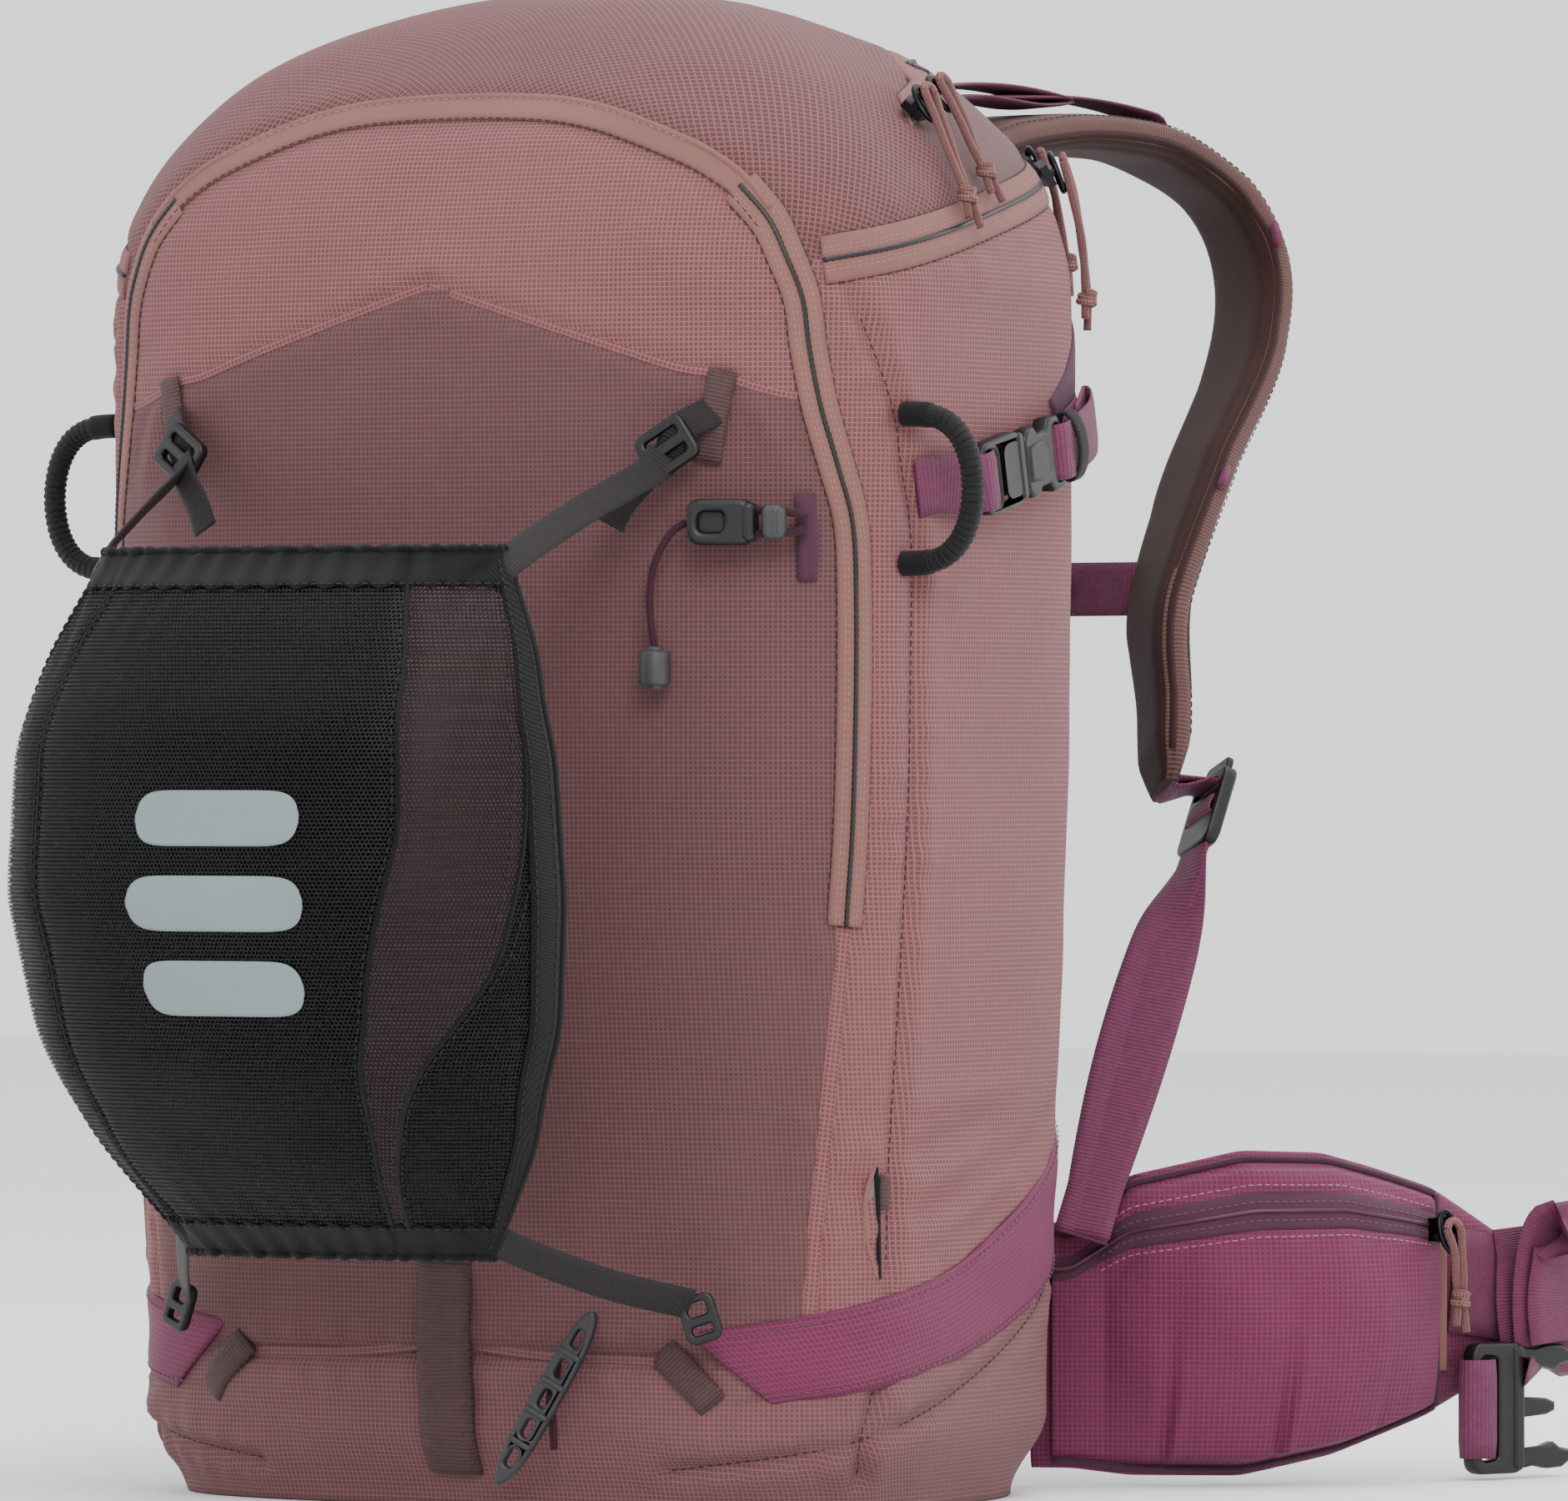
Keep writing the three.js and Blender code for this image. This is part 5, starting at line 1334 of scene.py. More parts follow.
for side in ("right", "left"):
    foam, edges, line, across, out, t = shoulder_strap(side)
    sided(foam, side, "harness", "shoulder_strap")
    for edge in edges:
        sided(edge, side, "harness")

    # Daisy loops of webbing on the outer face and the small tab beside them.
    chain_t = np.linspace(0.40, 0.93, 70)
    chain = np.stack([np.interp(chain_t, t, line[:, k] + out[:, k] * 7.6) for k in range(3)], -1)
    chain_side = np.stack([np.interp(chain_t, t, across[:, k]) for k in range(3)], -1)
    puff = 1.1 * np.abs(np.sin(np.linspace(0, 6 * math.pi, 70))) ** 0.6
    chain_out = np.stack([np.interp(chain_t, t, out[:, k]) for k in range(3)], -1)
    daisy = strap(
        f"daisy_webbing_{side}", chain + chain_out * puff[:, None], chain_side, 18, 1.6, LOOK["brown_tape"]
    )
    sided(daisy, side, "harness")
    for k, at in enumerate((0.50, 0.76)):
        i = int(at * 149)
        edge_at = line[i] + across[i] * (np.interp(t[i], *STRAP_WIDTH) / 2 + 2.5)
        step = unit(line[i + 3] - line[i - 3])
        tab = strap(
            f"strap_tab_{side}_{k}",
            [edge_at - across[i] * 8, edge_at - across[i] * 3, edge_at + across[i] * 2],
            step, 9, 2.4, LOOK["plum_web"],
        )
        sided(tab, side, "harness")

    down = unit(WEB_FOOT - LOCK_AT)
    lock_across = np.array([0.72, -0.69, 0])
    lock_across = unit(lock_across - down * np.dot(lock_across, down))
    lock = place(ladder_lock(f"ladder_buckle_{side}"), LOCK_AT, lock_across, np.cross(down, lock_across))
    sided(lock, side, "harness", "ladder_lock")
    lock_out = np.cross(down, lock_across)
    holder = strap(
        f"ladder_holder_{side}",
        spline(
            [
                line[-6] - out[-6] * 2, line[-1], LOCK_AT - down * 11 + lock_out * 2.5, LOCK_AT - down * 6,
                LOCK_AT - down * 11 - lock_out * 2.5, line[-2] - out[-2] * 3
            ],
            30
        ),
        lock_across, WEB, 1.7, LOOK["plum_web"],
    )
    sided(holder, side, "harness")

    # Two runs of webbing from the ladder lock to the base, sewn together at the foot.
    top = LOCK_AT + down * 4
    runs = []
    for k, (lean, sway) in enumerate(((1.9, 1.5), (-1.7, -2.5))):
        f = np.linspace(0, FOOT_PAST, 68)[:, None]
        points = top + (WEB_FOOT - top) * f + lock_out * lean * (1 - 0.4 * f)
        points = points + LOWER_SIDE * (2.6 * sway * np.sin(np.minimum(f, 1) * math.pi * 0.92))
        share = smooth(0.02, 0.42, f)
        twist = unit(lock_across * (1 - share) + np.array(LOWER_FACE[k]) * share)
        runs.append(strap(f"lower_run_{side}_{k}", points, twist, WEB, 1.7, LOOK["plum_web"]))
    over = spline(
        [
            top + lock_out * 2, LOCK_AT + down * 1.5 + lock_out * 3.4,
            LOCK_AT - down * 3.5 + lock_out * 2.6, LOCK_AT - down * 4.5,
            LOCK_AT - down * 3 - lock_out * 2.6, top - lock_out * 2
        ],
        30
    )
    runs.append(strap(f"lower_wrap_{side}", over, lock_across, WEB, 1.5, LOOK["plum_web"]))
    webbing_piece = joined(f"lower_strap_{side}", runs)
    handed(webbing_piece, side)
    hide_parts(f"lower_webbing_{side}")
    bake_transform(webbing_piece)

    # Load lifter: webbing folded back on itself between the lid's rear edge and the strap.
    lifter_runs = []
    root = [
        (57, 104, 499), (57, 114, 500.5), (56, 140, 504), (57, 195, 507), (62, 245, 508.5),
        (69, 284, 504.5), (70, 292, 500)
    ]
    lifter_runs.append(strap(f"lifter_a_{side}", spline(root, 60), (1, 0, 0), 19, 1.7, LOOK["plum_web"]))
    folded = [
        (57, 118, 503), (57, 142, 508), (59, 176, 510.5), (59, 210, 510), (61, 236, 506.8),
        (60, 214, 504.5), (58, 176, 506.0), (57, 150, 504.4)
    ]
    lifter_runs.append(
        strap(f"lifter_b_{side}", spline(folded, 90), (1, 0.05, 0.06), 19, 1.5, LOOK["plum_web"])
    )
    lifter = joined(f"load_lifter_strap_{side}", lifter_runs)
    handed(lifter, side)
    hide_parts(f"load_lifter_{side}")
    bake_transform(lifter)
    lifter_lock = place(
        moulding(
            f"lifter_lock_{side}", outline(26, 19, 4),
            [outline(20, 4, 1.2, 0, 4), outline(20, 4, 1.2, 0, -4)], 4.6, LOOK["black_plastic"], 1.0
        ),
        (57, 116, 503.5), (1, 0, 0), (0, -0.3, 1),
    )
    sided(lifter_lock, side, "pack")

# Sternum strap: webbing from strap to strap with a buckle on the breastbone.
STERNUM_Z = 326.0
STERNUM_RUN = [(98, 251), (90, 246), (74, 248), (50, 251.5), (30, 253.5), (17, 254)]
STERNUM_LOOP = [(17, 255.5), (30, 256.5), (44, 255.5), (56, 252.5)]
STERNUM_KEEPER = [(58, 245), (59.5, 249), (58, 254), (54, 254.5), (52, 250), (54, 245.5), (58, 245)]


def at_sternum(plan, sign):
    """Plan points of the right half, raised to the strap's height and put on their side."""
    return [(x * sign, y, STERNUM_Z) for x, y in plan]


for side, sign in (("right", 1), ("left", -1)):
    points = at_sternum(STERNUM_RUN, sign)
    web = strap(f"sternum_web_{side}", spline(points, 50), (0, 0, 1), WEB, 1.8, LOOK["plum_web"])
    loop = strap(
        f"sternum_loop_{side}",
        spline(at_sternum(STERNUM_LOOP, sign), 24),
        (0, 0, 1), WEB, 1.6, LOOK["plum_web"],
    )
    keeper = strap(
        f"sternum_keeper_{side}",
        spline(at_sternum(STERNUM_KEEPER, sign), 30),
        (0, 0, 1), 7, 1.4, LOOK["black_tape"],
    )
    harness_piece(joined(f"sternum_webbing_{side}", [web, loop, keeper]))
    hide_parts("sternum_strap")


def buckle_body(name, length, width, thick):
    """Side release buckle body: a waisted moulding with a raised window."""
    half_length, half_width = length / 2, width / 2
    waist = [
        (-half_length, -half_width * 0.86), (-half_length * 0.5, -half_width),
        (half_length * 0.28, -half_width),
        (half_length * 0.52, -half_width * 0.72), (half_length, -half_width * 0.92),
        (half_length, half_width * 0.92),
        (half_length * 0.52, half_width * 0.72), (half_length * 0.28, half_width),
        (-half_length * 0.5, half_width),
        (-half_length, half_width * 0.86),
    ]
    return moulding(
        name, waist, [outline(4.0, width * 0.72, 1.2, half_length * 0.72, 0)], thick, LOOK["black_plastic"],
        1.0
    )


STERNUM_AT = (0, 258, STERNUM_Z)
core = buckle_body("sternum_core", 34, 25, 6)
boss = moulding("sternum_boss", outline(13, 15, 3, -3, 0), [], 7.6, LOOK["black_plastic"], 1.2)
buckle = place(joined("sternum_clip", [core, boss]), STERNUM_AT, (1, 0, 0), (0, 1, 0))
harness_piece(buckle)
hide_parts("sternum_buckle")


def pair(name, make, body, node=None):
    """Builds the right-hand piece and its mirror image; `body` may name a body per side."""
    for side in ("right", "left"):
        piece = make(f"{name}_{side}")
        handed(piece, side)
        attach(piece, body.format(side=side))
        if node:
            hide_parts(f"{node}_{side}")


# ---- side wings, tabs and the slit pocket ---------------------------------------------------------
pair(
    "side_wing",
    lambda name: on_bag_strip(
        name, WING, lambda t: np.interp(t, [0, 0.4, 1], WING_WIDTH), 1.9, -0.2, LOOK["plum_rip"], columns=15,
        lead=13.0, rise=lambda t, f: 0.5 * np.sin(t * 23 + f * 2) * (1 - f ** 2),
    ),
    "pack", "lower_wing",
)
for k, path in enumerate(both(WING)):
    for edge, share in (("top", 0.44), ("foot", -0.44)):
        line = spline(path, 90)
        t = np.linspace(0, 1, 90)
        ahead = unit(np.gradient(line, axis=0))
        off = np.interp(t, [0, 0.4, 1], WING_WIDTH) * share * (1 if k == 0 else -1)
        line = line + np.stack([-ahead[:, 1], ahead[:, 0]], 1) * off[:, None]
        points = on_bag(line[:, 0], line[:, 1], 1.7)
        outs = on_bag(line[:, 0], line[:, 1], 5.0) - points
        pack_piece(stitches(f"wing_stitch_{edge}_{side_name(k)}", points, outs, LOOK["plum_thread"]))


def slit_pocket(name):
    """Slit beside the rear seam with its pale lining just showing."""
    s = side_at(-54, 104)
    path = [(s - 1.5, 82), (s - 3.2, 96), (s - 3.0, 110), (s - 1.2, 121)]
    lining = on_bag_strip(
        name, path, lambda t: 0.6 + 4.2 * np.sin(np.pi * np.clip(t, 0, 1)) ** 0.7, 0.4, -0.2,
        LOOK["pale_lining"], columns=7
    )
    rims = []
    for k, sign in enumerate((-1, 1)):
        rim = [(a + sign * (0.4 + 2.3 * math.sin(math.pi * i / 3)), b) for i, (a, b) in enumerate(path)]
        line = spline(rim, 40)
        rims.append(
            tube(
                f"{name}_rim_{k}", on_bag(line[:, 0], line[:, 1], 0.3), 1.0,
                LOOK["black_tape" if k else "rose_tape"], 8
            )
        )
    tab = on_bag_strip(
        name + "_tab", [(s + 1.5, 106), (s + 2.5, 118)], 4.0, 1.8, 0.2, LOOK["brown_web"], columns=7
    )
    return joined(name, [lining, *rims, tab])


pair("slit_pocket", slit_pocket, "pack")


def web_tab(name, path, width, loop=2.0):
    """Short folded tab of webbing that stands a little off the cloth."""
    return on_bag_strip(
        name, path, width, 1.6, 0.2, LOOK["brown_web"], columns=7,
        rise=lambda t, f: loop * np.sin(np.pi * np.clip(t, 0, 1)) ** 0.8 * np.ones_like(f),
    )


S_TAB = side_at(-88, 50)
pair(
    "base_tab", lambda name: web_tab(name, [(S_TAB - 9, 57), (S_TAB + 2, 46), (S_TAB + 9, 38)], 11),
    "pack"
)
pair(
    "daisy_strip", lambda name: web_tab(name, [(115, 398), (112, 384), (109, 366)], 10, 0.8),
    "pack"
)
base_loop = web_tab("base_loop", [(0, 86), (-0.5, 60), (0.5, 34), (0, 12)], 21, 2.4)
pack_piece(base_loop)


# ---- side compression straps, buckles and ski loops -------------------------------------------
def side_frame(y, z, lean, off):
    s = side_at(y, z)
    at = on_bag(s, z, off)
    behind = unit(on_bag(side_at(y + 6, z), z, off) - at)
    out = unit(on_bag(s, z, off + 5) - at)
    back = behind * math.cos(lean) + np.array([0, 0, math.sin(lean)])
    return at, out, unit(back)


BUCKLE_LEAN = math.radians(13)
FEMALE_AT = side_frame(-10, 363, BUCKLE_LEAN, 6.2)
MALE_AT = side_frame(19, 369, BUCKLE_LEAN, 6.2)


def female_buckle(name):
    shell = moulding(
        name, outline(30, 26, 6), [outline(9, 20, 2.2, -8.5, 0), outline(9, 17, 2.5, 6.5, 0)], 6.4,
        LOOK["black_plastic"], 1.3
    )
    lip = moulding(name + "_lip", outline(4.5, 24, 2.0, 13, 0), [], 7.4, LOOK["black_plastic"], 1.3)
    bar = moulding(name + "_bar", outline(2.4, 22, 1.1, -12, 0), [], 4.0, LOOK["black_plastic"], 1.0)
    return place(joined(name, [shell, lip, bar]), FEMALE_AT[0], FEMALE_AT[2], FEMALE_AT[1])


def male_buckle(name):
    plan = [
        (-13.5, -8.5), (-11, -12), (-6, -12.6), (-3.5, -9.6), (3, -9.6), (5, -13), (12, -13), (13.5, -11),
        (13.5, 11), (12, 13), (5, 13), (3, 9.6), (-3.5, 9.6), (-6, 12.6), (-11, 12), (-13.5, 8.5),
    ]
    body = moulding(name, plan, [outline(3.6, 20, 1.4, 9.6, 0)], 6.4, LOOK["black_plastic"], 1.2)
    crest = moulding(
        name + "_crest", [(-12, -6.5), (-2, -7.5), (3, -4.5), (3, 4.5), (-2, 7.5), (-12, 6.5)], [], 8.0,
        LOOK["black_plastic"], 1.4
    )
    return place(joined(name, [body, crest]), MALE_AT[0], MALE_AT[2], MALE_AT[1])


pair("side_clip_female", female_buckle, "pack", "side_buckle_female")
pair("side_clip_male", male_buckle, "side_buckle_{side}", "side_buckle_male")


def front_compression(name):
    """Sewn tab at the seam and the webbing that goes through the female half's bar."""
    at, out, back = FEMALE_AT
    root = on_bag(side_at(-50, 357), 357, 1.0)
    # Steps behind the buckle and out from it, round the bar and back to the tab.
    turn = ((19, 0.5), (14.5, 4.2), (8, 3.9), (5.5, -0.5), (9, -4.0), (19, -3.2))
    round_bar = [at - back * behind + out * off for behind, off in turn]
    line = spline([root, on_bag(side_at(-42, 358.5), 358.5, 3.2), *round_bar], 70)
    return strap(name, line, np.cross(out, back), WEB, 1.7, LOOK["plum_web"])


def rear_compression(name):
    """Webbing through the male half's slot, folded to a doubled tail, then along the bag."""
    at, out, back = MALE_AT
    up = np.cross(out, back)
    tail = spline([
        on_bag(side_at(78, 387), 387, 2.0), on_bag(side_at(62, 381), 381, 3.2), at + back * 17 - out * 1.8,
        at + back * 11.5 - out * 3.6, at + back * 8.6, at + back * 11 + out * 4.6, at + back * 18 + out * 4.6,
        on_bag(side_at(58, 380), 380, 9.5), on_bag(side_at(74, 385), 385, 8.2),
        on_bag(side_at(79, 386.6), 386.6, 6.4),
        on_bag(side_at(72, 384.6), 384.6, 4.8), on_bag(side_at(54, 379), 379, 6.0),
    ], 150)
    web = strap(name, tail, up, WEB, 1.6, LOOK["plum_web"])
    keeper_at = at + back * 22 + out * 1.5
    ring = [
        keeper_at + up * (12.2 * math.cos(a)) + out * (5.6 * math.sin(a))
        for a in np.linspace(0, 2 * math.pi, 25)
    ]
    keeper = strap(name + "_keeper", np.array(ring), back, 7.0, 1.5, LOOK["black_web"])
    tape_path = [
        (side_at(44, 382), 382), (side_at(64, 396), 396), (side_at(84, 414), 414), (side_at(98, 428), 428)
    ]
    tape = on_bag_strip(name + "_tape", tape_path, 19, 1.5, 0.2, LOOK["plum_tape"], columns=9)
    return joined(name, [web, keeper, tape])


pair("side_webbing_front", front_compression, "pack", "compression_front")
pair("side_webbing_rear", rear_compression, "pack", "compression_rear")


def ski_loop(name):
    """Stiff loop in a ribbed sleeve; both ends go straight into the rear side seam."""
    s = side_at(-50, 382)
    foot, head = on_bag(s - 6, 331, 1.2), on_bag(s - 6, 383, 1.2)
    out = unit(on_bag(s, 382, 19) - on_bag(s, 382, 9))
    tilt = unit(out * 0.96 + np.array([0, 0.28, 0]))
    a = np.linspace(0, math.pi, 160)
    line = foot + (head - foot) * ((1 - np.cos(a)) / 2)[:, None] + tilt * (np.sin(a) ** 0.62 * 27.5)[:, None]
    gone = lengths(line)
    ribs = np.abs(np.sin(gone / 2.3 * math.pi))
    sleeve = tube(name, line, 3.4 + 0.75 * ribs ** 0.6, LOOK["black_web"], 14)
    caps = [
        tube(f"{name}_end_{k}", part, 4.5, LOOK["black_tape"], 12, 6)
        for k, part in enumerate((line[:12], line[-12:]))
    ]
    return joined(name, [sleeve, *caps])


pair("ski_tip_loop", ski_loop, "ski_loop_{side}", "ski_loop")


# ---- hip belt: fins, zip pouches, webbing and buckle ------------------------------------------------
FIN_RADIUS = 215.0
FIN_START, FIN_SWEEP = 25.0, 56.0
FIN_TURN = math.radians(FIN_START)
FIN_AXIS = np.array([126 - FIN_RADIUS * math.sin(FIN_TURN), 131 + FIN_RADIUS * math.cos(FIN_TURN)])
FIN_TOP = ([0, 0.1, 0.3, 0.45, 0.55, 0.67, 0.82, 0.93, 1], [95, 112, 121, 120, 114.5, 107, 90, 76, 66])
FIN_FOOT = ([0, 0.1, 0.3, 0.47, 0.64, 0.79, 0.9, 1], [6, 3.5, 3, 10, 22, 36, 45, 52])
FIN_FOAM = 11.0
POUCH_START, POUCH_END, POUCH_RISE, POUCH_ZIP = 0.06, 0.66, 24.0, 0.84
POUCH_BEHIND = -0.03


def fin_point(t, z, out):
    t, z, out = np.broadcast_arrays(*(np.asarray(v, float) for v in (t, z, out)))
    angle = np.radians(FIN_START + FIN_SWEEP * t)
    r = FIN_RADIUS + out
    return np.stack([FIN_AXIS[0] + r * np.sin(angle), FIN_AXIS[1] - r * np.cos(angle), z], -1)


def eased(t, stations):
    """Smooth curve through the fin's outline stations."""
    fine = np.linspace(-0.05, 1.05, 221)
    raw = np.interp(fine, *stations)
    kernel = np.exp(-np.linspace(-2, 2, 13) ** 2)
    soft = np.convolve(np.pad(raw, 6, mode="edge"), kernel / kernel.sum(), mode="valid")
    return np.interp(t, fine, soft)


def fin_rounding(t):
    """Closes the fin's tip to a rounded end."""
    return np.sqrt(np.clip(1 - ((t - 0.86) / 0.15).clip(0, 1) ** 2.4, 0.0, 1))


def hip_fin(name):
    columns, around = 130, 44
    t = np.linspace(-0.07, 1.0, columns)
    top, foot = eased(t, FIN_TOP), eased(t, FIN_FOOT)
    a = np.linspace(0, 2 * math.pi, around, endpoint=False)
    c, s = np.cos(a), np.sin(a)
    up = np.sign(s) * np.abs(s) ** 0.42
    deep = np.sign(c) * np.abs(c) ** 0.8
    tip = 0.55 + 0.45 * fin_rounding(t)
    middle, half = (top + foot) / 2, (top - foot) / 2 * tip
    z = middle[:, None] + half[:, None] * up[None, :]
    thick = FIN_FOAM / 2 * (0.55 + 0.45 * tip)
    quilt = 0.5 * np.sin(t * 40)[:, None] * (1 - np.abs(up)[None, :])
    out = -FIN_FOAM / 2 + thick[:, None] * deep[None, :] + quilt
    rings = fin_point(t[:, None], z, out)
    u = np.broadcast_to((t * FIN_RADIUS * math.radians(FIN_SWEEP))[:, None], z.shape)
    fin = section_loft(name, rings, LOOK["plum_rip"], np.stack([u, z], -1))
    fin.data.materials.append(LOOK["back_knit"])
    for poly in fin.data.polygons:
        column = poly.vertices[0] % around
        if len(poly.vertices) == 4 and c[column] < -0.25:
            poly.material_index = 1
    return fin


def pouch_rise(t, v):
    along = np.clip((t - POUCH_START) / (POUCH_END - POUCH_START), 0, 1)
    full = np.interp(along, np.linspace(0, 1, 9), [0.12, 0.48, 0.74, 0.9, 1.0, 1.0, 0.93, 0.7, 0.28])
    upright = np.clip(np.sin(math.pi * (0.06 + 0.88 * v)), 0, 1) ** 0.6
    return 1.2 + POUCH_RISE * full * upright


def pouch_z(t, v):
    foot, top = eased(t, FIN_FOOT) + 3.5, eased(t, FIN_TOP) - 3.5
    return foot + (top - foot) * v


def pouch_slack(t, v):
    """Pleats at the foot, drag lines towards the zip's ends and a soft fill."""
    d = 0.9 * np.sin(t * 31 + v * 5) * np.sin(v * 7 + 1.0) * np.sin(np.pi * v)
    for at, reach, size in (
        (0.155, 0.55, -2.6), (0.345, 0.62, -3.4), (0.36, 0.5, 2.0), (0.17, 0.45, 1.6), (0.52, 0.35, -1.2)
    ):
        bent = at + 0.05 * v - 0.04 * v ** 2
        d = d + size * np.exp(-(((t - bent) / (0.008 + 0.02 * v)) ** 2)) * np.clip(1 - v / reach, 0, 1) ** 0.7
    d = d + 0.9 * np.sin((t - v * 0.3) * 60) * np.exp(-(((v - 0.72) / 0.07) ** 2)) * 0.5
    d = d + 1.3 * np.exp(-(((v - 0.95) / 0.05) ** 2)) * np.sin(t * 21)
    zip_gap = np.abs(v - POUCH_ZIP)
    free = smooth(0.05, 0.085, zip_gap)
    return d * free - 0.8 * (1 - free)


def hip_pouch(name):
    columns, rows = 170, 96
    t = np.linspace(POUCH_BEHIND, POUCH_END, columns)[:, None]
    v = np.linspace(0, 1, rows)[None, :]
    rise = pouch_rise(t, v)
    edge = smooth(0, 0.035, v) * smooth(0, 0.035, 1 - v) * smooth(0, 0.02, POUCH_END - t + 0.004)
    out = (rise + pouch_slack(t, v) * smooth(2, 9, rise)) * edge + 0.35
    z = pouch_z(t, v)
    front = fin_point(t, z, out)
    back = fin_point(t, z, np.full(z.shape, -1.0))[:, ::-1]
    rings = np.concatenate([front, back], 1)
    u = np.broadcast_to((t - POUCH_START) * FIN_RADIUS * math.radians(FIN_SWEEP), z.shape)
    weave = np.stack([u, z], -1)
    return section_loft(name, rings, LOOK["plum_rip"], np.concatenate([weave, weave[:, ::-1]], 1))


def pouch_line(v, t0, t1, off, count=120):
    t = np.linspace(t0, t1, count)
    v = np.full(count, v) if np.isscalar(v) else v(t)
    rise = pouch_rise(t, v) + (pouch_slack(t, v) * smooth(2, 9, pouch_rise(t, v)))
    return fin_point(t, pouch_z(t, v), rise + off), t, v


def pouch_strip(name, v0, v1, t0, t1, off, thick, material, count=110):
    t = np.linspace(t0, t1, count)[:, None]
    v = np.linspace(v0, v1, 9)[None, :]
    rise = pouch_rise(t, v) - 0.8 + off
    crown = thick * (1 - 0.5 * np.abs(np.linspace(-1, 1, 9)) ** 6)[None, :]
    top = fin_point(t, pouch_z(t, v), rise + crown)
    low = fin_point(t, pouch_z(t, v), rise + np.zeros_like(crown))[:, ::-1]
    u = np.broadcast_to(t * FIN_RADIUS, top.shape[:2])
    w = np.broadcast_to(v * 90, top.shape[:2])
    weave = np.concatenate([np.stack([u, w], -1), np.stack([u, w], -1)[:, ::-1]], 1)
    return section_loft(name, np.concatenate([top, low], 1), material, weave)


def pouch_zip(name):
    """Plum tape with its coil, from the bag's edge round to the slider."""
    tape = pouch_strip(
        name, POUCH_ZIP - 0.062, POUCH_ZIP + 0.062, POUCH_BEHIND, 0.645, 0.1, 1.3, LOOK["plum_tape"]
    )
    points, _, _ = pouch_line(POUCH_ZIP, POUCH_BEHIND, 0.645, 1.6, 230)
    coil = tube(name + "_coil", points, 0.7 + 0.3 * (np.arange(230) % 2), LOOK["plum_coil"], 6)
    parts = [tape, coil]
    for k, (offset, look) in enumerate(
        ((-0.03, "plum_thread"), (0.03, "plum_thread"), (-0.085, "rose_thread"), (0.085, "rose_thread"))
    ):
        line, _, _ = pouch_line(POUCH_ZIP + offset, 0.05, 0.63, 1.5 if k < 2 else 0.3)
        outs = line - np.array([FIN_AXIS[0], FIN_AXIS[1], 0]) * [1, 1, 0] - line * [0, 0, 1]
        parts.append(stitches(f"{name}_stitch_{k}", line, outs, LOOK[look], 1.9, 1.1))
    return joined(name, parts)


def pouch_piping(name):
    """Bound edges of the pouch where it is sewn to the fin."""
    parts = []
    for k, v in enumerate((0.0, 1.0)):
        t = np.linspace(POUCH_BEHIND, POUCH_END, 90)
        parts.append(
            tube(
                f"{name}_{k}", fin_point(t, pouch_z(t, v) + (1 if v else -1) * 0.6, 0.6), 1.25,
                LOOK["plum_tape"], 8
            )
        )
    v = np.linspace(0, 1, 50)
    t = np.full(50, POUCH_END)
    end = fin_point(t + 0.006, pouch_z(t, v), 0.8)
    parts.append(tube(name + "_end", end, 1.3, LOOK["plum_tape"], 8))
    trim = strap(
        name + "_trim", fin_point(t[8:40] + 0.016, pouch_z(t[8:40], v[8:40]), 1.0),
        fin_point(0.5, 0, 1) - fin_point(0.49, 0, 1), 4.5, 1.2, LOOK["rose_tape"]
    )
    return joined(name, [*parts, trim])


pair("fin", hip_fin, "hip_fin_{side}", "hip_fin")
pair("fin_pouch", hip_pouch, "hip_fin_{side}", "hip_pouch")
pair("fin_zip", pouch_zip, "hip_fin_{side}")
pair("fin_piping", pouch_piping, "hip_fin_{side}")


def belt_webbing(name):
    """38 mm webbing folded three times at the fin's tip."""
    t_at, along = 0.875, fin_point(0.895, 70, 6.5) - fin_point(0.855, 70, 6.5)
    out = unit(fin_point(t_at, 70, 16) - fin_point(t_at, 70, 6))
    folds = []
    # Height, distance off the fin and sideways lean of each point of the folds.
    base = [
        (92, 1.6, 0.0), (80, 3.2, 0.4), (64, 4.4, -0.6), (48, 5.2, 0.6), (40, 7.2, 1.6), (48, 9.0, 2.2),
        (66, 9.6, 1.2), (84, 10.2, 2.6), (91, 11.6, 4.6), (84, 13.0, 6.0), (66, 12.4, 4.4), (50, 12.8, 5.2),
    ]
    side = unit(along)
    line = spline([fin_point(t_at, z, 0) + out * o + side * sway * 1.6 for z, o, sway in base], 170)
    folds.append(strap(name, line, side + np.array([0, 0, 0.10]), BELT_WIDTH, 1.9, LOOK["plum_web_fine"]))
    sewn = strap(
        name + "_root",
        spline([fin_point(t, 68 + (0.86 - t) * 30, 1.4) for t in (0.70, 0.76, 0.82, 0.90)], 30), (0, 0, 1),
        BELT_WIDTH, 1.8, LOOK["plum_web_fine"]
    )
    return joined(name, [*folds, sewn])


pair("belt_strap", belt_webbing, "hip_fin_{side}", "belt_webbing")

BUCKLE_AT = fin_point(0.765, 26, 8)
BUCKLE_ACROSS = fin_point(0.775, 26, 8) - fin_point(0.755, 26, 8)
BUCKLE_OUT = fin_point(0.765, 26, 20) - BUCKLE_AT


